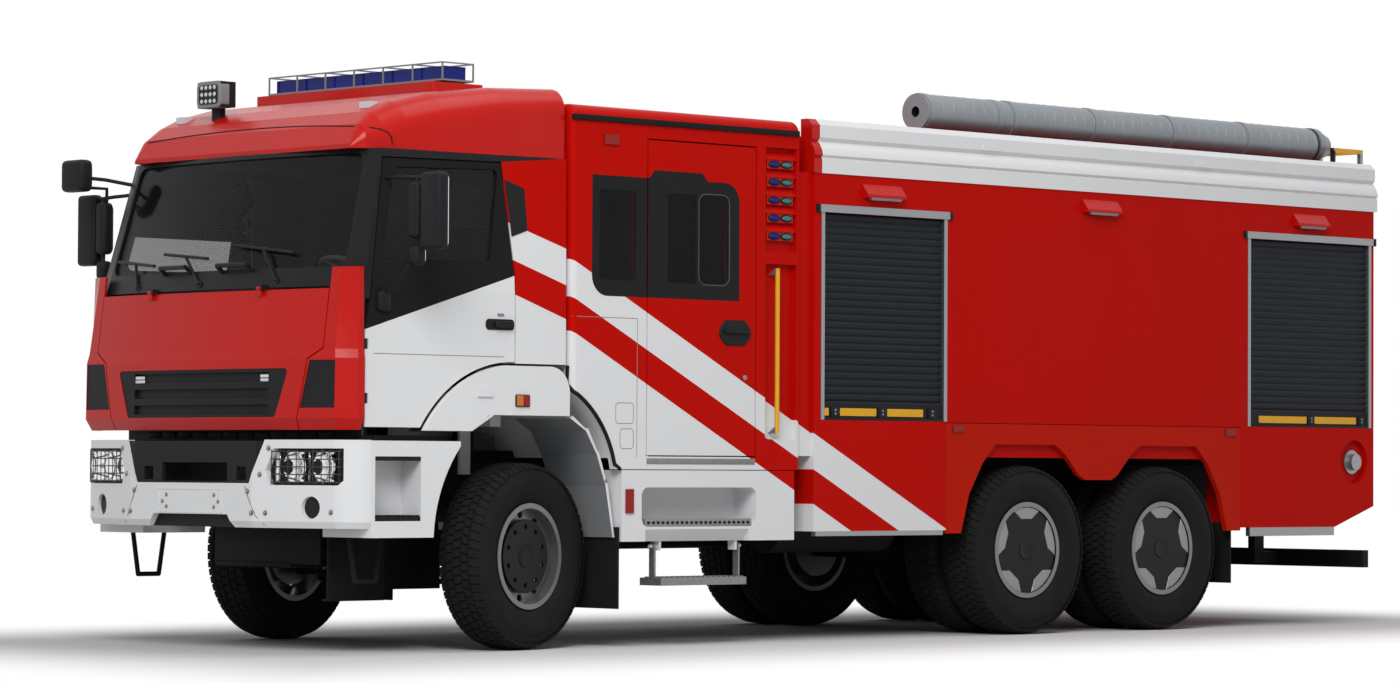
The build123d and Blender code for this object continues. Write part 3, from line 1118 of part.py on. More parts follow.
with BuildPart() as crew_room:
    block(CREW_FRONT_X - CREW_WALL, CREW_REAR_X + CREW_WALL, -CREW_SIDE + CREW_WALL, CREW_SIDE - CREW_WALL,
          CREW_DECK_Z[1], CREW_ROOF_Z - CREW_WALL)
    add(crew_arch(CREW_WALL), mode=Mode.SUBTRACT)
with BuildPart() as crew_shell:
    block(CREW_FRONT_X, CREW_REAR_X, -CREW_SIDE, CREW_SIDE, CREW_FLOOR_Z, CREW_ROOF_Z)
    fillet(edges().filter_by(Axis.X).group_by(Axis.Z)[-1], radius=CREW_EDGE_R)
    fillet(edges().filter_by(Axis.Z).group_by(Axis.X)[-1], radius=CREW_CORNER_R)
    block(CREW_FRONT_X, CREW_REAR_X, -CREW_SIDE + CREW_WALL, CREW_SIDE - CREW_WALL, CREW_FLOOR_Z, CREW_DECK_Z[0], mode=Mode.SUBTRACT)
    add(crew_arch(0), mode=Mode.SUBTRACT)
    add(crew_room.part, mode=Mode.SUBTRACT)
    for hand in (1, -1):
        skin = hand * CREW_SIDE
        inside = hand * (CREW_SIDE - CREW_WALL)
        block(door_front, door_rear, inside, skin, CREW_DOOR_Z, CREW_DOOR_TOP_Z, mode=Mode.SUBTRACT)
        block(*FIXED_GLASS, inside, skin, *GLASS_Z, mode=Mode.SUBTRACT)
        niche_back = hand * (CREW_SIDE - NICHE_DEPTH)
        for niche in (LAMP_NICHE_Z, GRIP_NICHE_Z):
            block(*NICHE_X, niche_back, skin, *niche, mode=Mode.SUBTRACT)
        for z in NICHE_LAMPS_Z:
            with BuildSketch(Plane.YZ.offset(NICHE_X[1] - 1)):
                with BuildLine():
                    foot = z - LAMP_HALF + LAMP_HEIGHT
                    Polyline((niche_back, foot), (hand * (CREW_SIDE - 5), foot), (hand * (CREW_SIDE - 5), foot + 6),
                             (niche_back, foot + HOOD_DROP), close=True)
                make_face()
            extrude(amount=NICHE_X[0] - NICHE_X[1] + 2)
        low, high = GRIP_NICHE_Z[0] + 34, GRIP_NICHE_Z[1] - 26
        rod((GRIP_X, hand * (CREW_SIDE + GRIP_OUT), low), (GRIP_X, hand * (CREW_SIDE + GRIP_OUT), high), GRIP_R)
        for z in (low, high - GRIP_FOOT):
            block(GRIP_X - GRIP_R - 4, GRIP_X + GRIP_R + 4, niche_back - hand, hand * (CREW_SIDE + GRIP_OUT), z, z + GRIP_FOOT)
    add(front_band(0), mode=Mode.SUBTRACT)
    mirror(front_band(0), about=Plane.XZ, mode=Mode.SUBTRACT)
    for x in (CREW_FRONT_X - 700, CREW_REAR_X + 200):
        for hand in (1, -1):
            block(x - 60, x + 60, hand * (RAIL_WIDTH / 2 - RAIL_FLANGE), hand * RAIL_WIDTH / 2, FRAME_TOP_Z, CREW_DECK_Z[0])
    for hand in (1, -1):
        for z in (CREW_DOOR_Z, CREW_DOOR_TOP_Z):
            rod((CREW_PIN_X, hand * CREW_PIN_Y, z - 22), (CREW_PIN_X, hand * CREW_PIN_Y, z + 22), CREW_PIN_R)
keep(crew_shell.part, "crew_shell")

with BuildPart() as crew_windows:
    add(front_band(SEAT / 3))
    block(door_front, door_front + 4, CREW_SIDE - BOND_DEPTH, CREW_SIDE, *WINDOW_Z, mode=Mode.SUBTRACT)
    mirror(about=Plane.XZ)
    add(windscreen.part)
keep(crew_windows.part, "fixed_glass")

with BuildPart() as crew_door:
    block(door_front - GAP, door_rear + GAP, CREW_SIDE - DOOR_SHEET, CREW_SIDE, CREW_DOOR_Z + GAP, CREW_DOOR_TOP_Z - GAP)
    block(*DOOR_GLASS, CREW_SIDE - DOOR_SHEET, CREW_SIDE, *GLASS_Z, mode=Mode.SUBTRACT)
    add(door_band(door_front, 0), mode=Mode.SUBTRACT)
    for z in (CREW_DOOR_Z, CREW_DOOR_TOP_Z):
        rod((CREW_PIN_X, CREW_PIN_Y, z - 26), (CREW_PIN_X, CREW_PIN_Y, z + 26), CREW_PIN_R + SEAT, Mode.SUBTRACT)
keep(crew_door.part, "crew_door_left")
keep(mirrored(crew_door.part), "crew_door_right")
with BuildPart() as crew_door_glass:
    add(door_band(door_front - GAP, SEAT / 3))
keep(crew_door_glass.part, "crew_door_glass_left")
keep(mirrored(crew_door_glass.part), "crew_door_glass_right")

# Sill boxes under the crew doors, and the steps that hang from them on hinge pins
SILL_FRONT_X = AXLE_X - 670
SILL_REAR_X = CREW_REAR_X + 30
SILL_Z = (615, 1030)
SILL_DEPTH = 330
SILL_NICHE_X = (CREW_FRONT_X - 555, CREW_FRONT_X - 1490)
SILL_NICHE_Z = (700, 930)
SILL_NICHE_DEPTH = 180
SILL_NICHE_R = 50
SILL_LIP = (55, 70)
STEP_X = (CREW_FRONT_X - 720, CREW_FRONT_X - 1420)
STEP_TREAD_Z = (355, 400)
STEP_TREAD_Y = (SIDE - 190, SIDE - 10)
STEP_PIN_Z = 585
STEP_PIN_Y = SIDE - 90
STEP_PIN_R = 10
STEP_ARM = 14
STEP_EYE_R = 22
with BuildPart() as crew_sills:
    block(SILL_FRONT_X, SILL_REAR_X, SIDE - SILL_DEPTH, SIDE, *SILL_Z)
    with BuildSketch(side_plane(SIDE)):
        with Locations((sum(SILL_NICHE_X) / 2, sum(SILL_NICHE_Z) / 2)):
            RectangleRounded(SILL_NICHE_X[0] - SILL_NICHE_X[1], SILL_NICHE_Z[1] - SILL_NICHE_Z[0], SILL_NICHE_R)
    extrude(amount=SILL_NICHE_DEPTH, mode=Mode.SUBTRACT)
    with BuildSketch(Plane.YZ.offset(SILL_NICHE_X[1] + 60)):
        with BuildLine():
            Polyline((SIDE - SILL_LIP[0], SILL_Z[0]), (SIDE, SILL_Z[0]), (SIDE, SILL_Z[0] + SILL_LIP[1]), close=True)
        make_face()
    extrude(amount=SILL_NICHE_X[0] - SILL_NICHE_X[1] - 90, mode=Mode.SUBTRACT)
    for x in STEP_X:
        inward = 40 if x == STEP_X[0] else -40
        block(x - inward - 8, x - inward + 8, STEP_PIN_Y - 30, STEP_PIN_Y + 30, STEP_PIN_Z - 25, SILL_Z[0])
        rod((x - inward, STEP_PIN_Y, STEP_PIN_Z), (x + 22 * (1 if inward > 0 else -1), STEP_PIN_Y, STEP_PIN_Z), STEP_PIN_R)
    block(CREW_FRONT_X - 600, CREW_FRONT_X - 540, RAIL_WIDTH / 2, SIDE - SILL_DEPTH + 5, 900, 980)
    block(CREW_REAR_X + 200, CREW_REAR_X + 260, RAIL_WIDTH / 2, SIDE - SILL_DEPTH + 5, 900, 980)
    mirror(about=Plane.XZ)
keep(crew_sills.part, "crew_sills")

with BuildPart() as fold_step:
    block(*STEP_X, *STEP_TREAD_Y, *STEP_TREAD_Z)
    for x, inward in ((STEP_X[0], -1), (STEP_X[1], 1)):
        block(x, x + inward * STEP_ARM, STEP_PIN_Y - STEP_EYE_R, STEP_PIN_Y + STEP_EYE_R, STEP_TREAD_Z[0], STEP_PIN_Z)
        rod((x, STEP_PIN_Y, STEP_PIN_Z), (x + inward * STEP_ARM, STEP_PIN_Y, STEP_PIN_Z), STEP_EYE_R)
    for x, inward in ((STEP_X[0], -1), (STEP_X[1], 1)):
        with BuildSketch(Plane(origin=(x - inward * 5, STEP_PIN_Y, STEP_PIN_Z), z_dir=(inward, 0, 0))):
            Circle(STEP_PIN_R + SEAT)
        extrude(amount=STEP_ARM + 10, mode=Mode.SUBTRACT)
keep(fold_step.part, "fold_step_left")
keep(mirrored(fold_step.part), "fold_step_right")

# Tank body: shutter lockers at both ends, and the closed water tank over the rear axles
BODY_REAR_X = TAIL_X + 30
DECK_Z = (1120, 1170)
ROOF_DECK_Z = (3010, 3060)
ARCH_HALF = BOGIE_SPREAD / 2 + 780
ARCH_FRONT_X = BOGIE_X + ARCH_HALF
ARCH_REAR_X = BOGIE_X - ARCH_HALF
LOCKER_DEPTH = 300
LOCKER_WALL = 40
CORNICE_IN = SIDE + 8 - CORNICE_DEPTH
FRONT_SHUTTER_X = (BODY_FRONT_X - 57, ARCH_FRONT_X - 5)
REAR_SHUTTER_X = (ARCH_REAR_X - 72, BODY_REAR_X + 30)
SHUTTER_Z = (1340, 2600)
TAIL_CUT = (430, 140)
REAR_SHUTTER_HALF = SIDE - 550
INLET_X = TAIL_X + 245
INLET_Z = 1107
INLET_NICHE_R = 148
INLET_DEPTH = 34
FILLER_IN = 26
SKIRT_SHEET = 36
with BuildPart() as body_shell:
    block(BODY_FRONT_X, BODY_REAR_X, -SIDE, SIDE, DECK_Z[0], CORNICE_Z)
    block(BODY_FRONT_X, BODY_REAR_X, -CORNICE_IN, CORNICE_IN, CORNICE_Z, ROOF_DECK_Z[1])
    block(CREW_REAR_X - 1, BODY_FRONT_X - 1, -SIDE + FILLER_IN, SIDE - FILLER_IN, DECK_Z[0], CORNICE_Z)
    block(CREW_REAR_X - 1, BODY_FRONT_X - 1, -CORNICE_IN, CORNICE_IN, CORNICE_Z, ROOF_DECK_Z[1])
    bays = [
        (CREW_REAR_X - 40, ARCH_FRONT_X - 10), (ARCH_FRONT_X - 10 - BODY_WALL, ARCH_REAR_X - 20),
        (ARCH_REAR_X - 20 - BODY_WALL, BODY_REAR_X + BODY_WALL),
    ]
    for x0, x1 in bays:
        block(x0, x1, -SIDE + BODY_WALL + FILLER_IN, SIDE - BODY_WALL - FILLER_IN, DECK_Z[1], CORNICE_Z, mode=Mode.SUBTRACT)
        block(min(x0, BODY_FRONT_X - BODY_WALL), x1, -CORNICE_IN + BODY_WALL, CORNICE_IN - BODY_WALL, CORNICE_Z, ROOF_DECK_Z[0],
              mode=Mode.SUBTRACT)
    for hand in (1, -1):
        skin = hand * SIDE
        back = hand * (SIDE - LOCKER_DEPTH)
        for x0, x1 in ((BODY_FRONT_X, ARCH_FRONT_X), (ARCH_REAR_X, BODY_REAR_X)):
            block(x0, x1, back, skin, SKIRT_Z, DECK_Z[0] + 1)
            block(x0 - LOCKER_WALL, x1 + LOCKER_WALL, back + hand * LOCKER_WALL, skin - hand * (LOCKER_WALL + FILLER_IN),
                  SKIRT_Z + LOCKER_WALL, DECK_Z[1] + 1, mode=Mode.SUBTRACT)
        for x0, x1 in (FRONT_SHUTTER_X, REAR_SHUTTER_X):
            block(x0, x1, hand * (SIDE - BODY_WALL - FILLER_IN), skin, *SHUTTER_Z, mode=Mode.SUBTRACT)
        block(ARCH_FRONT_X, ARCH_REAR_X, hand * (SIDE - SKIRT_SHEET), skin, DECK_Z[0], ARCH_LINE_Z, mode=Mode.SUBTRACT)
        with BuildSketch(Plane(origin=(INLET_X, hand * (SIDE - INLET_DEPTH), INLET_Z), z_dir=(0, hand, 0))):
            Circle(INLET_NICHE_R)
        extrude(amount=INLET_DEPTH + 1, mode=Mode.SUBTRACT)
    block(BODY_REAR_X, BODY_REAR_X + BODY_WALL, -REAR_SHUTTER_HALF, REAR_SHUTTER_HALF, *SHUTTER_Z, mode=Mode.SUBTRACT)
    with BuildSketch(Plane.XZ.offset(-2 * SIDE)):
        with BuildLine():
            Polyline((TAIL_X + TAIL_CUT[0] + 30, SKIRT_Z - 1), (TAIL_X - 50, SKIRT_Z - 1),
                     (TAIL_X - 50, SKIRT_Z + TAIL_CUT[1] + 20), (BODY_REAR_X, SKIRT_Z + TAIL_CUT[1]), close=True)
        make_face()
    extrude(amount=4 * SIDE, mode=Mode.SUBTRACT)
    for x in (BODY_FRONT_X - 300, ARCH_FRONT_X - 300, ARCH_REAR_X + 300, TAIL_X + 500):
        for hand in (1, -1):
            block(x - 80, x + 80, hand * (RAIL_WIDTH / 2 - RAIL_FLANGE), hand * RAIL_WIDTH / 2, FRAME_TOP_Z, DECK_Z[0] + 1)
keep(body_shell.part, "body_shell")

with BuildPart() as cornices:
    with BuildSketch(Plane.YZ.offset(TAIL_X)):
        with BuildLine():
            low, top = CORNICE_Z, CORNICE_TOP_Z
            bulge = ThreePointArc((SIDE - 30, top - 135), (SIDE - 4, top - 167), (SIDE + 14, top - 220))
            Polyline(bulge @ 1, (SIDE, low + 96), (SIDE + 8, low + 87), (SIDE + 8, low), (CORNICE_IN, low), (CORNICE_IN, top),
                     (SIDE - 50, top), (SIDE - 12, top - 37), (SIDE - 12, top - 113), bulge @ 0)
        make_face()
    extrude(amount=BODY_FRONT_X + 12 - TAIL_X)
    mirror(about=Plane.XZ)
keep(cornices.part, "cornices")

# Roller shutters: a curtain of slats with a grip bar, in aluminium rails
SLAT = 44
SLAT_DEPTH = 8
CURTAIN = 16
CURTAIN_BACK = 42
GRIP_BAR = 95
RAIL = 30
TOP_RAIL = 46
SKIRT_RAILS = [(BODY_FRONT_X - 20, ARCH_FRONT_X + 25, 29), (ARCH_REAR_X - 100, TAIL_X + TAIL_CUT[0] + 35, 58)]


def curtain(plane, low, high, width):
    """A slatted curtain, drawn as its end profile and pulled out to its width."""
    count = int((high - low - GRIP_BAR) / SLAT)
    with BuildSketch(plane) as profile:
        with BuildLine():
            points = [(0, low), (-CURTAIN, low), (-CURTAIN, high), (0, high)]
            for row in range(count):
                top = high - SLAT * row
                points += [(SLAT_DEPTH, top - SLAT * 0.3), (SLAT_DEPTH, top - SLAT * 0.7), (0, top - SLAT)]
            bar = high - SLAT * count
            points += [(4, bar - 1), (14, bar - 12), (14, low)]
            Polyline(points, close=True)
        make_face()
    extrude(profile.sketch, amount=width)


with BuildPart() as shutters:
    for hand in (1, -1):
        for x0, x1 in (FRONT_SHUTTER_X, REAR_SHUTTER_X):
            start = x1 + RAIL if hand > 0 else x0 - RAIL
            plane = Plane(origin=(start, hand * (SIDE - CURTAIN_BACK + CURTAIN), 0), x_dir=(0, hand, 0), z_dir=(hand, 0, 0))
            curtain(plane, SHUTTER_Z[0] + SEAT / 3, SHUTTER_Z[1] - SEAT / 3, abs(x1 - x0) - 2 * RAIL)
    plane = Plane(origin=(BODY_REAR_X + CURTAIN_BACK - CURTAIN, RAIL - REAR_SHUTTER_HALF, 0), x_dir=(-1, 0, 0), z_dir=(0, 1, 0))
    curtain(plane, SHUTTER_Z[0] + SEAT / 3, SHUTTER_Z[1] - SEAT / 3, 2 * REAR_SHUTTER_HALF - 2 * RAIL)
keep(shutters.part, "shutters")

with BuildPart() as shutter_rails:
    for x0, x1 in (FRONT_SHUTTER_X, REAR_SHUTTER_X):
        for x in (x0, x1 + RAIL):
            block(x - SEAT / 3, x - RAIL + SEAT / 3, SIDE - CURTAIN_BACK, SIDE + 4, SHUTTER_Z[0] + 1, SHUTTER_Z[1] - 1)
        block(x0 + RAIL, x1 - RAIL, SIDE, SIDE + 12, SHUTTER_Z[1], SHUTTER_Z[1] + TOP_RAIL)
    for x0, x1, drop in SKIRT_RAILS:
        block(x0, x1, SIDE - SKIRT_SHEET, SIDE - 1, SKIRT_Z - drop, SKIRT_Z)
    mirror(about=Plane.XZ)
    for y in (REAR_SHUTTER_HALF, -REAR_SHUTTER_HALF + RAIL):
        block(BODY_REAR_X - 4, BODY_REAR_X + CURTAIN_BACK, y - SEAT / 3, y - RAIL + SEAT / 3, SHUTTER_Z[0] + 1, SHUTTER_Z[1] - 1)
    block(BODY_REAR_X - 12, BODY_REAR_X, -REAR_SHUTTER_HALF - RAIL, REAR_SHUTTER_HALF + RAIL, SHUTTER_Z[1], SHUTTER_Z[1] + TOP_RAIL)
keep(shutter_rails.part, "shutter_rails")

# Skirt over the rear wheels, with two flat-topped arches
ARCH_TOP_Z = 1203
TONGUE_Z = 980
TONGUE_HALF = 128
ARCH_CROWN = (BOGIE_SPREAD / 2 - 246, BOGIE_SPREAD / 2 + 318)
SKIRT_FOOT = 140
arch_half_outline = [
    (ARCH_HALF - 2, ARCH_LINE_Z - 4), (ARCH_HALF - 2, SKIRT_Z - 20), (ARCH_HALF - SKIRT_FOOT, SKIRT_Z - 20),
    (ARCH_HALF - SKIRT_FOOT - 75, 890), (ARCH_HALF - SKIRT_FOOT - 200, 1086), (ARCH_CROWN[1], ARCH_TOP_Z),
    (ARCH_CROWN[0], ARCH_TOP_Z), (TONGUE_HALF + 190, 1140), (TONGUE_HALF + 60, 1010), (TONGUE_HALF, TONGUE_Z),
]
with BuildPart() as arch_panels:
    with BuildSketch(side_plane(SIDE)):
        with BuildLine():
            Polyline([(BOGIE_X + x, z) for x, z in arch_half_outline]
                     + [(BOGIE_X - x, z) for x, z in reversed(arch_half_outline)], close=True)
        make_face()
    extrude(amount=SKIRT_SHEET)
    mirror(about=Plane.XZ)
keep(arch_panels.part, "arch_panels")

# Hose tube on the roof, rear ladder, underride bar and side tanks
TUBE_R = 115
TUBE_Y = SIDE - 300
TUBE_X = (BODY_FRONT_X - 1200, TAIL_X + 220)
TUBE_Z = CORNICE_TOP_Z + TUBE_R + 12
TUBE_WALL = 6
TUBE_HOLE_R = 34
TUBE_NOSE = 110
BAND = 50
BANDS = 6
with BuildPart() as hose_tube:
    length = TUBE_X[0] - TUBE_X[1]
    with BuildSketch(Plane(origin=(TUBE_X[0], TUBE_Y, TUBE_Z), x_dir=(-1, 0, 0), z_dir=(0, 1, 0))):
        with BuildLine():
            Polyline((0, TUBE_HOLE_R), (0, TUBE_R), (length - TUBE_NOSE, TUBE_R), (length, TUBE_R - TUBE_NOSE / 3), (length, 0),
                     (length - 40, 0), (length - 40, TUBE_R - TUBE_NOSE / 3 - TUBE_WALL),
                     (length - TUBE_NOSE, TUBE_R - TUBE_WALL), (40, TUBE_R - TUBE_WALL), (40, TUBE_HOLE_R), close=True)
        make_face()
    revolve(axis=Axis((0, TUBE_Y, TUBE_Z), (1, 0, 0)))
    step = (length - TUBE_NOSE - BAND - 20) / (BANDS - 1)
    for number in range(BANDS):
        x = TUBE_X[0] - 20 - step * number
        with BuildSketch(Plane(origin=(x, TUBE_Y, TUBE_Z), z_dir=(-1, 0, 0))):
            Circle(TUBE_R + 5)
            Circle(TUBE_R - TUBE_WALL / 2, mode=Mode.SUBTRACT)
        extrude(amount=BAND)
        block(x, x - BAND, TUBE_Y - 60, TUBE_Y + 60, ROOF_DECK_Z[1], TUBE_Z - TUBE_R + 12)
keep(hose_tube.part, "hose_tube")

LADDER_Y = (SIDE - 480, SIDE - 130)
RUNG_R = 14
RUNG_PITCH = 300
LADDER_LOOP = 330
LADDER_Z = (1000, 3270)
RUNGS = 7
with BuildPart() as rear_ladder:
    x0, x1 = TAIL_X + 1, BODY_REAR_X - 1
    for y in LADDER_Y:
        block(x0, x1, y - RUNG_R, y + RUNG_R, LADDER_Z[0], LADDER_Z[1])
        block(x0, x0 + LADDER_LOOP, y - RUNG_R, y + RUNG_R, LADDER_Z[1] - 2 * RUNG_R, LADDER_Z[1])
        block(x0 + LADDER_LOOP - 2 * RUNG_R, x0 + LADDER_LOOP, y - RUNG_R, y + RUNG_R, ROOF_DECK_Z[1], LADDER_Z[1])
        for z in (1080, 2700):
            block(x0, BODY_REAR_X, y - RUNG_R, y + RUNG_R, z - 20, z + 20)
    for number in range(RUNGS):
        z = LADDER_Z[0] + 60 + number * RUNG_PITCH
        block(x0 + 4, x1 - 4, *LADDER_Y, z - 10, z + 10)
    block(x0, x1, *LADDER_Y, LADDER_Z[1] - 2 * RUNG_R, LADDER_Z[1])
keep(rear_ladder.part, "rear_ladder")

UNDERRIDE_Z = (381, 500)
UNDERRIDE_X = (TAIL_X + 10, TAIL_X + 70)
UNDERRIDE_HALF = SIDE - 60
HITCH_BORE_R = 26
HITCH_Z = 700
with BuildPart() as underride_bar:
    block(*UNDERRIDE_X, -UNDERRIDE_HALF, UNDERRIDE_HALF, *UNDERRIDE_Z)
    for hand in (1, -1):
        y0, y1 = hand * (RAIL_WIDTH / 2 - 60), hand * (RAIL_WIDTH / 2)
        block(UNDERRIDE_X[1] - 5, frame_rear_x + 120, y0, y1, UNDERRIDE_Z[0] + 20, UNDERRIDE_Z[1] - 20)
        block(frame_rear_x + 20, frame_rear_x + 120, y0, y1, UNDERRIDE_Z[0] + 20, FRAME_BOTTOM_Z)
    block(frame_rear_x - 40, frame_rear_x, -RAIL_WIDTH / 2, RAIL_WIDTH / 2, FRAME_BOTTOM_Z - 90, FRAME_TOP_Z - 40)
    block(frame_rear_x - 130, frame_rear_x - 39, -70, 70, HITCH_Z + 40, HITCH_Z + 80)
    block(frame_rear_x - 130, frame_rear_x - 39, -70, 70, HITCH_Z + 150, HITCH_Z + 190)
    with BuildSketch(Plane.XY.offset(HITCH_Z)):
        with Locations((frame_rear_x - 85, 0)):
            Circle(HITCH_BORE_R)
    extrude(amount=300, mode=Mode.SUBTRACT)
keep(underride_bar.part, "underride_bar")

SIDE_TANK_R = 165
SIDE_TANK_Y = SIDE - 560
SIDE_TANK_Z = 690
SIDE_TANK_X = (BODY_FRONT_X - 120, ARCH_FRONT_X + 30)
with BuildPart() as side_tanks:
    with BuildSketch(Plane(origin=(SIDE_TANK_X[0], SIDE_TANK_Y, SIDE_TANK_Z), z_dir=(-1, 0, 0))):
        Circle(SIDE_TANK_R)
    extrude(amount=SIDE_TANK_X[0] - SIDE_TANK_X[1])
    for x in (SIDE_TANK_X[0] - 200, SIDE_TANK_X[1] + 200):
        block(x - 30, x + 30, RAIL_WIDTH / 2, SIDE_TANK_Y, SIDE_TANK_Z + 120, SIDE_TANK_Z + 200)
    mirror(about=Plane.XZ)
keep(side_tanks.part, "side_tanks")

# Inside the cabs: dashboard with the steering wheel, and the seats
DASH_FWD = (1190, 900)
DASH_Z = (1750, 2080)
WHEEL_R = 225
WHEEL_TUBE_R = 15
SEAT_WIDTH = 480
SEAT_Y = CAB_SIDE - 600
DASH_HALF = CAB_SIDE - 110
BENCH_HALF = CREW_SIDE - 250
with BuildPart() as dashboard:
    with BuildSketch(Plane.XZ.offset(DASH_HALF)):
        with BuildLine():
            front, rear = AXLE_X + DASH_FWD[0], AXLE_X + DASH_FWD[1]
            Polyline((front, DASH_Z[0]), (front, DASH_Z[1] + 30), (rear + 80, DASH_Z[1] + 30), (rear, DASH_Z[1] - 60),
                     (rear + 60, DASH_Z[0]), close=True)
        make_face()
    extrude(amount=-2 * DASH_HALF)
    block(front - 5, AXLE_X + CAB_LOWER["nose_fwd"] - CAB_WALL, -300, 300, DASH_Z[0] + 60, DASH_Z[0] + 160)
    add(cab_shell.part, mode=Mode.SUBTRACT)
    tilt = Vector(-0.45, 0, 0.9)
    hub = Vector(AXLE_X + 790, SEAT_Y, 2120)
    rod(hub, hub - tilt * 280, 32)
    with BuildSketch(Plane(origin=hub, x_dir=(0, 1, 0), z_dir=Vector(1, 0, 0).cross(tilt).cross(tilt) * -1)) as rim:
        with Locations((WHEEL_R, 0)):
            Circle(WHEEL_TUBE_R)
    revolve(axis=Axis(hub, tilt))
    for angle in (90, 210, 330):
        across = Vector(0.8944, 0, 0.4472) * cos(radians(angle)) + Vector(0, 1, 0) * sin(radians(angle))
        rod(hub, hub + across * WHEEL_R, 12)
keep(dashboard.part, "dashboard")

with BuildPart() as seats:
    floor = ARCH_Z + ARCH_R + GAP + CAB_WALL
    for hand in (1, -1):
        y0, y1 = hand * SEAT_Y - SEAT_WIDTH / 2, hand * SEAT_Y + SEAT_WIDTH / 2
        block(AXLE_X - 60, AXLE_X + 300, y0 + 60, y1 - 60, floor, 1830)
        block(AXLE_X - 120, AXLE_X + 420, y0, y1, 1830, 1960)
        block(AXLE_X - 180, AXLE_X - 60, y0, y1, 1900, 2480)
        block(AXLE_X - 160, AXLE_X - 80, y0 + 100, y1 - 100, 2500, 2680)
        block(AXLE_X - 130, AXLE_X - 100, y0 + 180, y1 - 180, 2470, 2510)
    bench_x = CREW_REAR_X + CREW_WALL
    block(bench_x, bench_x + 480, -BENCH_HALF, BENCH_HALF, CREW_DECK_Z[1], CREW_DECK_Z[1] + 450)
    block(bench_x, bench_x + 130, -BENCH_HALF, BENCH_HALF, CREW_DECK_Z[1] + 449, CREW_DECK_Z[1] + 1200)
keep(seats.part, "seats")

# Mirrors: arms on the doors' front frames carry a tall head, a wide-angle head and a small low one
MIRROR_FWD = 1055
MIRROR_DEPTH = 80
MIRROR_HEADS = [  # from, to across the truck; from, to in height
    (SIDE + 255, SIDE + 425, 2235, 2660), (SIDE + 150, SIDE + 240, 2300, 2610), (SIDE + 155, SIDE + 235, 2150, 2262),
]
MIRROR_LOW_FOOT = (1110, 1960)
MIRROR_TOP_FOOT = (1030, 2648)
MIRROR_ARM_R = 12
KERB_HEAD = (1245, 1345, SIDE + 40, SIDE + 250, 2660, 2850)
MIRROR_POST_Y = (SIDE + 162, SIDE + 186)
MIRROR_BAR_Y = (SIDE + 190, SIDE + 310)


def mirror_set(kerb):
    with BuildPart() as piece:
        x = AXLE_X + MIRROR_FWD
        for y0, y1, z0, z1 in MIRROR_HEADS:
            block(x - MIRROR_DEPTH / 2, x + MIRROR_DEPTH / 2, y0, y1, z0, z1)
        fillet(edges().filter_by(Axis.X), radius=30)
        if kerb:
            x0, x1, y0, y1, z0, z1 = KERB_HEAD
            block(AXLE_X + x0, AXLE_X + x1, y0, y1, z0, z1)
            block(x - 12, AXLE_X + x0 + 10, *MIRROR_POST_Y, z0 + 20, z0 + 44)
            block(x - 12, x + 12, *MIRROR_POST_Y, MIRROR_HEADS[1][3] - 50, z0 + 44)
        for z in (2440, 2380):
            block(x - 10, x + 10, *MIRROR_BAR_Y, z, z + 20)
        block(x - 10, x + 10, MIRROR_BAR_Y[0], MIRROR_BAR_Y[0] + 20, 2200, 2400)
        rod((AXLE_X + MIRROR_TOP_FOOT[0], CAB_SIDE - 130, MIRROR_TOP_FOOT[1]), (x, MIRROR_BAR_Y[1] - 20, 2630), MIRROR_ARM_R)
        foot_x, foot_z = AXLE_X + MIRROR_LOW_FOOT[0], MIRROR_LOW_FOOT[1]
        rod((foot_x, CAB_SIDE - 25, foot_z), (x, MIRROR_BAR_Y[0], 2200), MIRROR_ARM_R)
        block(foot_x - 45, foot_x + 45, CAB_SIDE - 30, SIDE, foot_z - 60, foot_z + 50)
        add(cab_outer, mode=Mode.SUBTRACT)
    return piece.part


keep(mirror_set(False), "mirror_left")
keep(mirrored(mirror_set(True)), "mirror_right")

# Lamps, each a separate solid in its own seat
HOOD_X = [BODY_FRONT_X - 586, BOGIE_X - 8, TAIL_X + 743]
HOOD_WIDTH = 340
HOOD_Z = (2700, 2785)
HOOD_OUT = 48
NICHE_LAMP = 220
LENS_BACK = 60
FOG_SUNK = 22
REAR_LAMP_Y = (SIDE - 240, SIDE - 50)
REAR_LAMP_Z = (860, 960)


def bumper_lens(sunk):
    """A sheet that follows the bumper's face, sunk behind it, from which the front lamps are cut."""
    with BuildPart() as sheet:
        extrude(bumper_plan(sunk), amount=BUMPER_Z[1] - BUMPER_Z[0])
        extrude(bumper_plan(LENS_BACK), amount=BUMPER_Z[1] - BUMPER_Z[0], mode=Mode.SUBTRACT)
    return sheet.part


def headlamp(hand):
    with BuildPart() as lens:
        add(bumper_lens(HEADLAMP_SUNK))
        add(front_prism([(hand * y, z) for y, z in HEADLAMP], SEAT / 3), mode=Mode.INTERSECT)
    return lens.part


def fog_lamp(hand):
    with BuildPart() as lens:
        add(bumper_lens(FOG_SUNK))
        with BuildSketch(Plane.YZ.offset(AXLE_X + 1100)):
            with Locations((hand * FOG_Y, FOG_Z)):
                Circle(FOG_R - SEAT / 3)
        extrude(amount=500, mode=Mode.INTERSECT)
    return lens.part


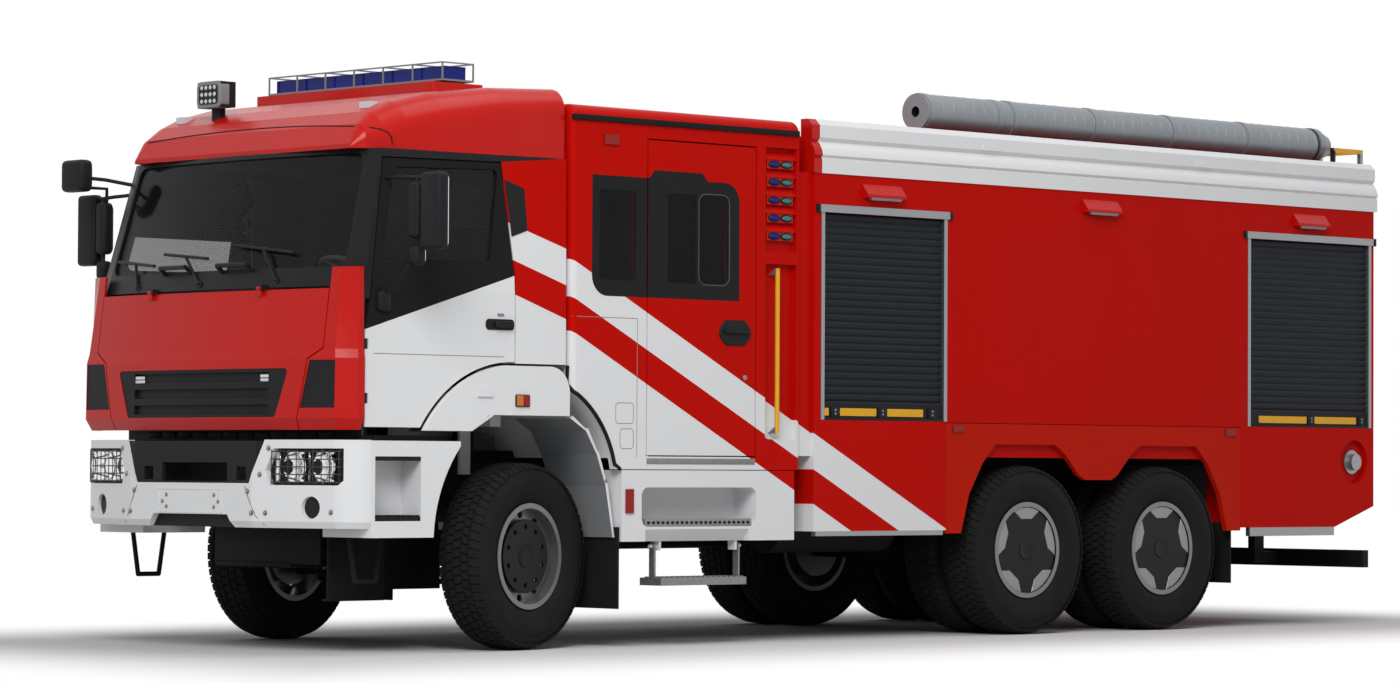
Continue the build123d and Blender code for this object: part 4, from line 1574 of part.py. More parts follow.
front_lamps = [make(hand) for hand in (1, -1) for make in (headlamp, fog_lamp)]
with BuildPart() as lamps:
    for piece in front_lamps:
        add(piece)
    for hand in (1, -1):
        for z in NICHE_LAMPS_Z:
            x = (NICHE_X[0] + NICHE_X[1]) / 2
            block(x - NICHE_LAMP / 2, x + NICHE_LAMP / 2, hand * (CREW_SIDE - NICHE_DEPTH),
                  hand * (CREW_SIDE - 12), z - LAMP_HALF, z - LAMP_HALF + LAMP_HEIGHT)
        for x in HOOD_X:
            with BuildSketch(Plane.YZ.offset(x - HOOD_WIDTH / 2)):
                with BuildLine():
                    Polyline((hand * SIDE, HOOD_Z[0]), (hand * (SIDE + HOOD_OUT), HOOD_Z[0] + 4),
                             (hand * (SIDE + HOOD_OUT), HOOD_Z[0] + 22), (hand * SIDE, HOOD_Z[1]), close=True)
                make_face()
            extrude(amount=HOOD_WIDTH)
        block(BODY_REAR_X - 24, BODY_REAR_X, hand * REAR_LAMP_Y[0], hand * REAR_LAMP_Y[1], *REAR_LAMP_Z)
        block(CREW_FRONT_X - 240, CREW_FRONT_X - 354, hand * CREW_SIDE, hand * (CREW_SIDE + 12), 2914, 2975)
        block(AXLE_X + 330, AXLE_X + 440, hand * SIDE, hand * (SIDE + 12), 1440, 1490)
        block(SILL_FRONT_X - 30, SILL_FRONT_X - 90, hand * SIDE, hand * (SIDE + 10), 780, 920)
        for x in (ARCH_FRONT_X - 60, ARCH_REAR_X + 160):
            block(x, x - 100, hand * SIDE, hand * (SIDE + 10), 1275, 1318)
keep(lamps.part, "lamps")

# Couplings for the fill hoses, low at the rear on each side
COUPLING_R = 55
COUPLING = 40
COUPLING_COLLAR_R = 82
with BuildPart() as inlet_couplings:
    for hand in (1, -1):
        with BuildSketch(Plane(origin=(INLET_X, hand * (SIDE - INLET_DEPTH), INLET_Z), z_dir=(0, hand, 0))):
            Circle(COUPLING_COLLAR_R)
        extrude(amount=14)
        with BuildSketch(Plane(origin=(INLET_X, hand * (SIDE - INLET_DEPTH + 14), INLET_Z), z_dir=(0, hand, 0))):
            Circle(COUPLING_R)
        extrude(amount=COUPLING)
keep(inlet_couplings.part, "inlet_couplings")

# Roof lights: a caged beacon bar, and a work lamp on its pedestal
BAR_FWD = 210
BAR_HALF = CAB_SIDE - 420
ROOF_MARKER = (905, CAB_SIDE - 372, 3025)
BAR_DEPTH = 240
BAR_Z = 3245
LENS_Z = (3268, 3345)
CAGE_Z = 3358
CAGE = 8
CAGE_POSTS = 7
LAMP_FWD = 900
LAMP_Y = 675 - CAB_SIDE
LAMP_Z = (3135, 3285)
with BuildPart() as roof_lights:
    x = AXLE_X + BAR_FWD
    block(x - BAR_DEPTH / 2, x + BAR_DEPTH / 2, -BAR_HALF, BAR_HALF, BAR_Z + 12, LENS_Z[0])
    for y in (200 - BAR_HALF, BAR_HALF - 200):
        block(x - 60, x + 60, y - 40, y + 40, BAR_Z, BAR_Z + 12)
    block(x - 80, x + 80, -BAR_HALF + 30, BAR_HALF - 30, LENS_Z[0] - 1, LENS_Z[1])
    for edge in (-1, 1):
        xe = x + edge * (BAR_DEPTH / 2 - CAGE / 2)
        block(xe - CAGE / 2, xe + CAGE / 2, -BAR_HALF, BAR_HALF, CAGE_Z, CAGE_Z + CAGE)
        for number in range(CAGE_POSTS):
            y = -BAR_HALF + CAGE / 2 + number * (2 * BAR_HALF - CAGE) / (CAGE_POSTS - 1)
            block(xe - CAGE / 2, xe + CAGE / 2, y - CAGE / 2, y + CAGE / 2, LENS_Z[0] - 1, CAGE_Z + 1)
    for number in range(CAGE_POSTS):
        y = -BAR_HALF + CAGE / 2 + number * (2 * BAR_HALF - CAGE) / (CAGE_POSTS - 1)
        block(x - BAR_DEPTH / 2, x + BAR_DEPTH / 2, y - CAGE / 2, y + CAGE / 2, CAGE_Z, CAGE_Z + CAGE)
    xl = AXLE_X + LAMP_FWD
    rod((xl, LAMP_Y, 3000), (xl, LAMP_Y, LAMP_Z[0] + 5), 40)
    block(xl - 40, xl + 70, LAMP_Y - 110, LAMP_Y + 110, *LAMP_Z)
    for hand in (1, -1):
        fwd, y, z = ROOF_MARKER
        block(AXLE_X + fwd - 60, AXLE_X + fwd + 40, hand * (y - 45), hand * (y + 45), z - 60, z + 70)
    add(roof_form(0), mode=Mode.SUBTRACT)
keep(roof_lights.part, "roof_lights")
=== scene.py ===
# %% [markdown]
# This lesson dresses a water tanker fire truck in Blender. The truck's solids were drawn in CAD and
# arrive here as a fixed frame, in metres, with +X forward, +Y to the left and +Z up. We never move or
# reshape those solids: we give them finishes, and add the small things that a CAD drawing leaves out,
# such as tread, stripes and wires.

# %% Load the frame
import json
from math import cos, hypot, pi, radians, sin, tau

import bmesh
import bpy
from mathutils import Matrix, Vector
from mathutils.bvhtree import BVHTree


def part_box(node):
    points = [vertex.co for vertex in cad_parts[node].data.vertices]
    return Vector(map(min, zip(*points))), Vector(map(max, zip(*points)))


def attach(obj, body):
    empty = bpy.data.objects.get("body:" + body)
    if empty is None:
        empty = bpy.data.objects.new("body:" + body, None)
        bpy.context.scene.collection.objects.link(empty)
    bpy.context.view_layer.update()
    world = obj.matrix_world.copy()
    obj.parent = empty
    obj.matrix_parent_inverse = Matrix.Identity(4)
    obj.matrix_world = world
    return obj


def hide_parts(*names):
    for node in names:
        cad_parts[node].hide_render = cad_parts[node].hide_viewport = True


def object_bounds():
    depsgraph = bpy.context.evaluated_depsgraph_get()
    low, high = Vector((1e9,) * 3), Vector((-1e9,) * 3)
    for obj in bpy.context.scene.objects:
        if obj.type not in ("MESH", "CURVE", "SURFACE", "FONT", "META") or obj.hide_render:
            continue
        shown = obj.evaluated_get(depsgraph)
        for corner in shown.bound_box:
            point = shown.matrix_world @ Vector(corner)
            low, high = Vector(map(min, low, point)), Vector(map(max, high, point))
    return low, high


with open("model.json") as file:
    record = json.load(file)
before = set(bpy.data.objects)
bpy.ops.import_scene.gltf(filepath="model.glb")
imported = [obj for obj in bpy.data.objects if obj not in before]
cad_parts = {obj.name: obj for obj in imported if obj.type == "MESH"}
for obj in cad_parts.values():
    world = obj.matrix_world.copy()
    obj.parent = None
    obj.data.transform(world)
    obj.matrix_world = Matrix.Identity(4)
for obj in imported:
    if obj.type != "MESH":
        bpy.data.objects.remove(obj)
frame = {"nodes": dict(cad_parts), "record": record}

solids = frame["nodes"]
cad_box = [list(corner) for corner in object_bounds()]
print("solids:", len(solids), "box:", cad_box)

# %% [markdown]
# A few places on the truck serve many cells. The front axle is the natural origin for lengths on a lorry,
# so we read it from the steering joint, and read the other stations from the boxes of the solids that
# they belong to.

# %% Stations along the truck
CORNICE_LAP = 0.012

hinges = {joint["name"]: joint for joint in frame["record"]["behaviour"]["joints"]}
FRONT_AXLE_X = hinges["steer_left"]["pos_m"][0]
WHEEL_R = hinges["steer_left"]["pos_m"][2]
SIDE_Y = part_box("arch_panels")[1][1]
CREW_FRONT_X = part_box("crew_shell")[1][0]
CREW_REAR_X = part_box("crew_shell")[0][0]
BODY_FRONT_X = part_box("cornices")[1][0] - CORNICE_LAP
print("front axle at", FRONT_AXLE_X, "crew module", CREW_REAR_X, "to", CREW_FRONT_X)

# %% [markdown]
# The camera comes first, because every later choice is judged through it. A long lens from far away and
# low down keeps the truck's upright lines nearly parallel. We set the camera's axes directly as a matrix:
# its right, its up, and the direction behind it.

# %% Camera
CAMERA_PLACE = Vector((19.930, 20.090, 1.049))
CAMERA_YAW = radians(43.834)
CAMERA_PITCH = radians(1.625)
CAMERA_ROLL = radians(0.294)
CAMERA_LENS = 113.95
SENSOR_WIDTH = 36
VIEW_REACH = 200

ahead = Vector((-sin(CAMERA_YAW), -cos(CAMERA_YAW), 0))
look = ahead * cos(CAMERA_PITCH) + Vector((0, 0, sin(CAMERA_PITCH)))
level = Vector((-cos(CAMERA_YAW), sin(CAMERA_YAW), 0))
upright = level.cross(look)
right = cos(CAMERA_ROLL) * level + sin(CAMERA_ROLL) * upright
up = -sin(CAMERA_ROLL) * level + cos(CAMERA_ROLL) * upright
camera = bpy.data.objects.new("camera", bpy.data.cameras.new("camera"))
camera.matrix_world = Matrix.Translation(CAMERA_PLACE) @ Matrix((right, up, -look)).transposed().to_4x4()
camera.data.lens = CAMERA_LENS
camera.data.sensor_width = SENSOR_WIDTH
camera.data.sensor_fit = "HORIZONTAL"
camera.data.clip_end = VIEW_REACH
bpy.context.collection.objects.link(camera)
bpy.context.scene.camera = camera
print("camera looks along", tuple(round(v, 3) for v in look))

# %% [markdown]
# The light is an overcast sky: an even white dome, with a broad soft lamp over the front left corner so
# that the nose is a little brighter than the flank, and a weaker one overhead. The dome shows pure white
# to the camera, to mirrors and through panes, but gives a calmer level to the paint. A Light Path node
# tells these apart.

# %% Sky and lamps
DOME_LEVEL = 0.36
SOFT_LAMPS = [  # name, place, target, width, watts
    ("front_lamp", (15, 12.5, 13), (1.5, 0, 1.5), 9, 2850),
    ("top_lamp", (-2, 5, 16), (-1, 0, 1), 10, 700),
]


def math_node(tree, operation, *values):
    """A Math node fed by sockets or plain numbers."""
    node = tree.nodes.new("ShaderNodeMath")
    node.operation = operation
    for slot, value in zip(node.inputs, values):
        if isinstance(value, (int, float)):
            slot.default_value = value
        else:
            tree.links.new(value, slot)
    return node.outputs[0]


def seen_directly(tree):
    """One for what the camera, a mirror or a pane sees, and zero for the light that falls on the paint."""
    path = tree.nodes.new("ShaderNodeLightPath")
    seen = math_node(tree, "MAXIMUM", path.outputs["Is Camera Ray"], path.outputs["Is Glossy Ray"])
    return math_node(tree, "MAXIMUM", seen, path.outputs["Is Transmission Ray"])


def build_sky():
    """A white dome whose light on the paint is calmer than what the camera sees of it."""
    sky = bpy.data.worlds.new("sky")
    bpy.context.scene.world = sky
    sky.use_nodes = True
    tree = sky.node_tree
    strength = tree.nodes.new("ShaderNodeMapRange")
    strength.inputs["To Min"].default_value = DOME_LEVEL
    strength.inputs["To Max"].default_value = 1.0
    tree.links.new(seen_directly(tree), strength.inputs["Value"])
    background = tree.nodes["Background"]
    background.inputs["Color"].default_value = (1, 1, 1, 1)
    tree.links.new(strength.outputs["Result"], background.inputs["Strength"])


def soft_lamp(name, place, target, width, watts):
    """A square lamp that looks at a target."""
    lamp = bpy.data.objects.new(name, bpy.data.lights.new(name, "AREA"))
    lamp.data.size = width
    lamp.data.energy = watts
    lamp.location = place
    lamp.rotation_euler = (Vector(target) - Vector(place)).to_track_quat("-Z", "Y").to_euler()
    bpy.context.collection.objects.link(lamp)


build_sky()
for lamp_values in SOFT_LAMPS:
    soft_lamp(*lamp_values)
bpy.context.scene.view_settings.view_transform = "Standard"
print("a sky and", len(SOFT_LAMPS), "lamps are set")

# %% [markdown]
# The floor is a plain pale sheet that keeps the truck's shadow. Near the truck it is a real surface.
# Further out a mask, worked out from the distance past the truck's box, turns it to plain white for the
# camera, so that it runs into the sky without a line.

# %% Floor
FLOOR_HALF = 90
FLOOR_TONE = 0.62
SHADOW_REACH = (0.2, 2.6)
MIRROR_OVERHANG = 0.4


def axes_of(tree, output="Object"):
    """The X, Y and Z sockets of a texture coordinate."""
    place = tree.nodes.new("ShaderNodeTexCoord")
    axes = tree.nodes.new("ShaderNodeSeparateXYZ")
    tree.links.new(place.outputs[output], axes.inputs[0])
    return axes.outputs


def past_span(tree, socket, low, high):
    """How far a coordinate lies past the ends of a span."""
    off = math_node(tree, "ABSOLUTE", math_node(tree, "SUBTRACT", socket, (low + high) / 2))
    return math_node(tree, "SUBTRACT", off, (high - low) / 2)


def floor_coat():
    """A pale sheet that keeps the shadow near the truck and turns to plain white further out."""
    finish = bpy.data.materials.new("pale_floor")
    finish.use_nodes = True
    tree = finish.node_tree
    sheet = tree.nodes["Principled BSDF"]
    sheet.inputs["Base Color"].default_value = (FLOOR_TONE, FLOOR_TONE, FLOOR_TONE, 1)
    sheet.inputs["Roughness"].default_value = 1.0
    sheet.inputs["Specular IOR Level"].default_value = 0.0
    axes = axes_of(tree)
    low, high = cad_box
    past_x = past_span(tree, axes["X"], low[0], high[0])
    past_y = past_span(tree, axes["Y"], low[1] + MIRROR_OVERHANG, high[1] - MIRROR_OVERHANG)
    far = tree.nodes.new("ShaderNodeMapRange")
    far.interpolation_type = "SMOOTHSTEP"
    far.inputs["From Min"].default_value, far.inputs["From Max"].default_value = SHADOW_REACH
    tree.links.new(math_node(tree, "MAXIMUM", past_x, past_y), far.inputs["Value"])
    white = tree.nodes.new("ShaderNodeEmission")
    choose = tree.nodes.new("ShaderNodeMixShader")
    plain_white = math_node(tree, "MULTIPLY", far.outputs["Result"], seen_directly(tree))
    tree.links.new(plain_white, choose.inputs["Fac"])
    tree.links.new(sheet.outputs["BSDF"], choose.inputs[1])
    tree.links.new(white.outputs["Emission"], choose.inputs[2])
    tree.links.new(choose.outputs[0], tree.nodes["Material Output"].inputs["Surface"])
    return finish


floor_mesh = bpy.data.meshes.new("floor")
signs = ((-1, -1), (1, -1), (1, 1), (-1, 1))
floor_mesh.from_pydata([(FLOOR_HALF * x, FLOOR_HALF * y, 0) for x, y in signs], [], [(0, 1, 2, 3)])
floor = bpy.data.objects.new("floor", floor_mesh)
bpy.context.collection.objects.link(floor)
floor_mesh.materials.append(floor_coat())
print("the floor reaches", FLOOR_HALF, "m each way")

# %% [markdown]
# Most finishes on a lorry are a plain coat that time has touched: paint that is a little uneven, plastic
# with a fine grain, rubber with dust in it. One helper builds them all. A broad noise shifts the colour
# and the gloss by a few percent, and a fine noise feeds the Bump node. Both read object coordinates, so
# that they are in metres.

# %% A helper for aged coats
SHEEN_DRIFT = 0.06
NOISE_DETAIL = 6.0
GRAIN_SCALE = 900.0
GRAIN_DEPTH = 0.001


def coat(name, colour, roughness, metallic=0.0, gloss=0.5, drift=0.08, drift_scale=1.5, grain=0.0):
    """A finish whose colour and roughness drift gently, with an optional fine grain."""
    finish = bpy.data.materials.new(name)
    finish.use_nodes = True
    tree = finish.node_tree
    shader = tree.nodes["Principled BSDF"]
    shader.inputs["Metallic"].default_value = metallic
    shader.inputs["Specular IOR Level"].default_value = gloss
    place = tree.nodes.new("ShaderNodeTexCoord")
    broad = tree.nodes.new("ShaderNodeTexNoise")
    broad.inputs["Scale"].default_value = drift_scale
    broad.inputs["Detail"].default_value = NOISE_DETAIL
    tree.links.new(place.outputs["Object"], broad.inputs["Vector"])
    tint = tree.nodes.new("ShaderNodeMix")
    tint.data_type = "RGBA"
    tint.inputs["A"].default_value = (*(c * (1 - drift) for c in colour), 1)
    tint.inputs["B"].default_value = (*(min(1, c * (1 + drift)) for c in colour), 1)
    tree.links.new(broad.outputs["Fac"], tint.inputs["Factor"])
    tree.links.new(tint.outputs["Result"], shader.inputs["Base Color"])
    sheen = tree.nodes.new("ShaderNodeMapRange")
    sheen.inputs["To Min"].default_value = max(0.02, roughness - SHEEN_DRIFT)
    sheen.inputs["To Max"].default_value = min(1.0, roughness + SHEEN_DRIFT)
    tree.links.new(broad.outputs["Fac"], sheen.inputs["Value"])
    tree.links.new(sheen.outputs["Result"], shader.inputs["Roughness"])
    if grain:
        fine = tree.nodes.new("ShaderNodeTexNoise")
        fine.inputs["Scale"].default_value = GRAIN_SCALE
        tree.links.new(place.outputs["Object"], fine.inputs["Vector"])
        bump = tree.nodes.new("ShaderNodeBump")
        bump.inputs["Strength"].default_value = grain
        bump.inputs["Distance"].default_value = GRAIN_DEPTH
        tree.links.new(fine.outputs["Fac"], bump.inputs["Height"])
        tree.links.new(bump.outputs["Normal"], shader.inputs["Normal"])
    return finish


print("coats drift in sheen by", SHEEN_DRIFT)

# %% [markdown]
# Now the coats themselves. Red and white are the truck's colours. The blacks differ in gloss: door film
# is smooth, moulded trim is grained, and the chassis is dusty. Bare metals get a patchy drift on a small
# scale.

# %% Plain coats
RED = (0.47, 0.004, 0.0015)
WHITE = (0.70, 0.71, 0.72)
BLACK = (0.012, 0.012, 0.013)
CABIN = (0.06, 0.062, 0.065)
red_coat = coat("red_coat", RED, 0.28, gloss=0.22, drift=0.05)
arch_red = coat("arch_red", (0.46, 0.010, 0.002), 0.32, gloss=0.05, drift=0.06)
white_coat = coat("white_coat", WHITE, 0.25, gloss=0.3, drift=0.04)
black_trim = coat("black_trim", BLACK, 0.34, gloss=0.12, drift=0.2)
chassis_black = coat("chassis_black", (0.010, 0.010, 0.011), 0.6, gloss=0.08, drift=0.4, drift_scale=4)
moulded_black = coat("moulded_black", (0.013, 0.013, 0.015), 0.5, gloss=0.10, drift=0.15, grain=0.25)
moulded_grey = coat("moulded_grey", (0.20, 0.21, 0.22), 0.45, gloss=0.3, drift=0.1, grain=0.2)
rubber = coat("rubber", (0.013, 0.013, 0.0125), 0.75, gloss=0.08, drift=0.3, drift_scale=6, grain=0.3)
raw_aluminium = coat("raw_aluminium", (0.30, 0.31, 0.32), 0.45, metallic=1.0, drift=0.08, drift_scale=9)
galvanised = coat("galvanised", (0.24, 0.245, 0.25), 0.5, metallic=0.7, drift=0.25, drift_scale=30)
wheel_silver = coat("wheel_silver", (0.19, 0.195, 0.20), 0.36, metallic=0.7, drift=0.15, drift_scale=8)
cover_black = coat("cover_black", (0.009, 0.009, 0.010), 0.36, gloss=0.14, drift=0.2, drift_scale=7)
cabin_grey = coat("cabin_grey", CABIN, 0.7, gloss=0.2, drift=0.15, grain=0.3)
dash_grey = coat("dash_grey", (0.13, 0.132, 0.135), 0.75, gloss=0.2, drift=0.15, grain=0.3)
engine_grey = coat("engine_grey", (0.07, 0.07, 0.07), 0.6, gloss=0.3, drift=0.4, drift_scale=6)
yellow_coat = coat("yellow_coat", (0.72, 0.36, 0.01), 0.4, gloss=0.3, drift=0.1, drift_scale=6)
tube_grey = coat("tube_grey", (0.24, 0.26, 0.28), 0.42, metallic=0.35, drift=0.12, drift_scale=4)
slat_coat = coat("slat_coat", (0.014, 0.017, 0.022), 0.4, gloss=0.08, drift=0.12, drift_scale=5)
lamp_housing = coat("lamp_housing", (0.014, 0.014, 0.016), 0.3, gloss=0.12, drift=0.2, drift_scale=12)
print("plain coats from", red_coat.name, "to", lamp_housing.name)

# %% [markdown]
# The flank carries slanted bands of white and red that run down from the cab over the crew module and the
# tank body. On the real truck they are film or masked paint. Here each edge of a band is a straight line
# in side view, so a material can find the colour from an object coordinate: start from the top colour,
# and below each line lay the next one. Faces that look inward get the cabin's grey instead, by the
# object-space normal.

# %% Banded flanks
BAND_ROUGHNESS = 0.3
BAND_GLOSS = 0.04
INWARD = -0.3
FLANK_BANDS = [(0.498, 2.379, WHITE), (0.500, 2.165, RED), (0.506, 1.969, WHITE)]
CAB_BANDS = [(0.31, 2.378, WHITE), (0.327, 2.173, RED), (0.332, 1.979, WHITE)]
DOOR_SPLIT = [(-0.301, 2.171, WHITE)]


def lay_over(tree, below, colour, where):
    """Lays a colour over what is there, where a mask is one."""
    layer = tree.nodes.new("ShaderNodeMix")
    layer.data_type = "RGBA"
    layer.inputs["B"].default_value = (*colour, 1)
    tree.links.new(where, layer.inputs["Factor"])
    tree.links.new(below, layer.inputs["A"])
    return layer.outputs["Result"]


def banded(name, top, lines, inside=None):
    """Paint that changes below each line (slope, height at the front axle, colour), from the top down."""
    finish = coat(name, top, BAND_ROUGHNESS, gloss=BAND_GLOSS, drift=0.05)
    tree = finish.node_tree
    shader = tree.nodes["Principled BSDF"]
    axes = axes_of(tree)
    colour = shader.inputs["Base Color"].links[0].from_socket
    for slope, height, below in lines:
        edge = math_node(tree, "MULTIPLY_ADD", axes["X"], slope, height - slope * FRONT_AXLE_X)
        colour = lay_over(tree, colour, below, math_node(tree, "LESS_THAN", axes["Z"], edge))
    if inside:
        outward = math_node(tree, "MULTIPLY", axes_of(tree, "Normal")["Y"], axes["Y"])
        colour = lay_over(tree, colour, inside, math_node(tree, "LESS_THAN", outward, INWARD))
    tree.links.new(colour, shader.inputs["Base Color"])
    return finish


flank_paint = banded("flank_paint", RED, FLANK_BANDS)
crew_paint = banded("crew_paint", RED, FLANK_BANDS, inside=CABIN)
cab_rear_paint = banded("cab_rear_paint", RED, CAB_BANDS, inside=CABIN)
cab_door_paint = banded("cab_door_paint", BLACK, DOOR_SPLIT, inside=CABIN)
print("banded paints:", [m.name for m in (flank_paint, crew_paint, cab_rear_paint, cab_door_paint)])

# %% [markdown]
# Safety glass on a lorry is grey and thin, and the cabin behind it is dark. True refraction would be slow
# and grainy here, so the pane is a dark glossy film that covers part of what lies behind it, by the
# shader's Alpha. The coloured lenses of the lamps are plain glossy coats.

# %% Glass and lenses
def film_glass(name, tint, cover):
    """A dark glossy film that covers a share of what is behind it."""
    finish = coat(name, tint, 0.06, gloss=0.24, drift=0.3, drift_scale=2.5)
    finish.node_tree.nodes["Principled BSDF"].inputs["Alpha"].default_value = cover
    return finish


windscreen_glass = film_glass("windscreen_glass", (0.012, 0.0125, 0.0135), 0.30)
door_glass = film_glass("door_glass", (0.010, 0.0105, 0.011), 0.40)
lens_clear = coat("lens_clear", (0.55, 0.57, 0.6), 0.08, gloss=0.8, drift=0.1, drift_scale=25)
lens_blue = coat("lens_blue", (0.006, 0.014, 0.19), 0.12, gloss=0.15, drift=0.3, drift_scale=20)
lens_teal = coat("lens_teal", (0.04, 0.17, 0.17), 0.15, gloss=0.25, drift=0.3, drift_scale=20)
lens_red = coat("lens_red", (0.26, 0.010, 0.006), 0.15, gloss=0.2, drift=0.3, drift_scale=40)
lens_amber = coat("lens_amber", (0.5, 0.14, 0.01), 0.15, gloss=0.5, drift=0.2, drift_scale=40)
lens_white = coat("lens_white", (0.7, 0.71, 0.72), 0.3, gloss=0.4, drift=0.1, drift_scale=40)
mirror_face = coat("mirror_face", (0.7, 0.72, 0.74), 0.03, metallic=1.0, drift=0.02)
print("glass and lenses are ready")

# %% [markdown]
# The crew windows are bonded panes with a wide black printed border. In the film's material a rounded
# rectangle, worked out from the object coordinates, lowers Alpha inside the clear part: a point is inside
# when its distance from a smaller straight-sided rectangle is less than the corner radius.

# %% Printed panes
PANE_Z = (2.130, 2.655)
BORDER_GLOSS = 0.12
FIXED_WINDOWS = [(CREW_FRONT_X - 0.497, CREW_FRONT_X - 0.210, *PANE_Z, 0.03)]
SLIDING_WINDOWS = [
    (CREW_FRONT_X - 0.982, CREW_FRONT_X - 0.755, *PANE_Z, 0.006),
    (CREW_FRONT_X - 1.245, CREW_FRONT_X - 1.010, *PANE_Z, 0.05),
]


def printed_pane(name, windows, cover):
    """A black pane that lets light through inside rounded windows (x0, x1, z0, z1, radius)."""
    finish = film_glass(name, (0.007, 0.007, 0.008), 1.0)
    tree = finish.node_tree
    shader = tree.nodes["Principled BSDF"]
    shader.inputs["Specular IOR Level"].default_value = BORDER_GLOSS
    axes = axes_of(tree)
    clear = 0.0
    for x0, x1, z0, z1, radius in windows:
        squares = []
        for axis, low, high in (("X", x0, x1), ("Z", z0, z1)):
            past = past_span(tree, axes[axis], low + radius, high - radius)
            reach = math_node(tree, "MAXIMUM", past, 0.0)
            squares.append(math_node(tree, "MULTIPLY", reach, reach))
        window = math_node(tree, "LESS_THAN", math_node(tree, "ADD", *squares), radius * radius)
        clear = math_node(tree, "MAXIMUM", window, clear)
    share = tree.nodes.new("ShaderNodeMapRange")
    share.inputs["To Min"].default_value = 1.0
    share.inputs["To Max"].default_value = cover
    tree.links.new(clear, share.inputs["Value"])
    tree.links.new(share.outputs["Result"], shader.inputs["Alpha"])
    return finish


fixed_pane = printed_pane("fixed_pane", FIXED_WINDOWS, 0.55)
sliding_pane = printed_pane("sliding_pane", SLIDING_WINDOWS, 0.50)
print("clear windows in the panes:", len(FIXED_WINDOWS), "and", len(SLIDING_WINDOWS))

# %% [markdown]
# A solid often has more than one finish: a mirror head has a reflecting face, and the node with the lamps
# holds red and white ones. A Blender mesh keeps a material index on each face, so one helper fills the
# slots of a solid and picks the slot for each face from its centre and its normal. First come the solids
# with one coat each.

# %% Dress the plain solids
def dress(name, finish, *choices):
    """Gives a solid one finish, or others for the faces that a test on centre and normal picks."""
    mesh = solids[name].data
    mesh.materials.clear()
    for item in [finish] + [other for _, other in choices]:
        mesh.materials.append(item)
    for face in mesh.polygons:
        face.material_index = 0
        for slot, (test, _) in enumerate(choices, start=1):
            if test(face.center, face.normal):
                face.material_index = slot
                break


PLAIN = [
    (red_coat, ("cab_corners", "front_panel")),
    (arch_red, ("arch_panels",)),
    (flank_paint, ("body_shell", "crew_sills")),
    (crew_paint, ("crew_door_left", "crew_door_right")),
    (cab_door_paint, ("cab_door_left", "cab_door_right")),
    (white_coat, ("bumper", "front_fenders")),
    (chassis_black, ("frame", "axles", "leaf_springs", "knuckle_left", "knuckle_right", "tie_rod")),
    (chassis_black, ("underride_bar", "side_tanks")),
    (engine_grey, ("powertrain",)),
    (rubber, ("mud_flaps",)),
    (moulded_black, ("grille", "front_trim")),
    (black_trim, ("wiper_cowl",)),
    (dash_grey, ("dashboard",)),
    (cabin_grey, ("seats",)),
    (door_glass, ("cab_door_glass_left", "cab_door_glass_right")),
    (sliding_pane, ("crew_door_glass_left", "crew_door_glass_right")),
    (raw_aluminium, ("shutter_rails", "inlet_couplings")),
    (galvanised, ("fold_step_left", "fold_step_right")),
]
for finish, names in PLAIN:
    for name in names:
        dress(name, finish)
for name in solids:
    if "tyre" in name:
        dress(name, rubber)
print("solids with one coat:", sum(len(names) for _, names in PLAIN))

# %% [markdown]
# The cab is red behind its door and black round the windows, and inside it is grey. The yellow grab bar
# behind the crew door belongs to the crew module's shell, so its faces are found by their place. The
# ladder's hoops and the mouth of the hose tube are found the same way. The mouth is coloured black, as
# painted shade for the inside of the tube.

# %% Dress the cab, the crew module and the roof
PILLAR_X = FRONT_AXLE_X + 0.20
CABIN_HALF = 1.12
HEADLINER_HALF = 1.0
HEADLINER_X = FRONT_AXLE_X + 1.05
LOOP_TOP_Z = 0.66
BAR_X = CREW_REAR_X + 0.205
BAR_OUT_Y = SIDE_Y + 0.004
BAR_HALF, BAR_FOOT_HALF = 0.025, 0.05
BAR_Z = (1.30, 2.195)
LADDER_TOP_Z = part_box("rear_ladder")[1][2]
HOOP_DROP, GRIP_DROP = 0.035, 0.14
TUBE_Y, TUBE_Z, TUBE_R = 0.95, 3.292, 0.115
TUBE_MOUTH_R = 0.036


def on_bar(c, half):
    """True for a face of the grab bar within a half width of its middle."""
    return abs(c.y) > BAR_OUT_Y and abs(c.x - BAR_X) < half


dress("cab_shell", cab_rear_paint,
      (lambda c, n: c.x > PILLAR_X or n.z < -0.5, black_trim),
      (lambda c, n: n.x > 0.5 and abs(c.y) < CABIN_HALF, cabin_grey))
dress("cab_roof", red_coat,
      (lambda c, n: n.z < -0.2 and abs(c.y) < HEADLINER_HALF and c.x < HEADLINER_X, cabin_grey))
for name in ("mirror_left", "mirror_right"):
    dress(name, moulded_black, (lambda c, n: n.x < -0.9, mirror_face))
dress("corner_steps", white_coat, (lambda c, n: c.z < LOOP_TOP_Z, chassis_black))
dress("front_guards", white_coat, (lambda c, n: n.x > 0.2 and n.z < 0.3, moulded_grey))
dress("crew_shell", crew_paint,
      (lambda c, n: on_bar(c, BAR_HALF) and BAR_Z[0] < c.z < BAR_Z[1], yellow_coat),
      (lambda c, n: on_bar(c, BAR_FOOT_HALF), galvanised))
dress("rear_ladder", raw_aluminium,
      (lambda c, n: c.z > LADDER_TOP_Z - HOOP_DROP, yellow_coat),
      (lambda c, n: c.z > LADDER_TOP_Z - GRIP_DROP, moulded_black))
# The faces round the tube's axis are black: painted shade for the inside of its mouth.
dress("hose_tube", tube_grey,
      (lambda c, n: hypot(c.y - TUBE_Y, c.z - TUBE_Z) < TUBE_MOUTH_R, moulded_black))
print("the grab bar stands at", round(BAR_X, 3))

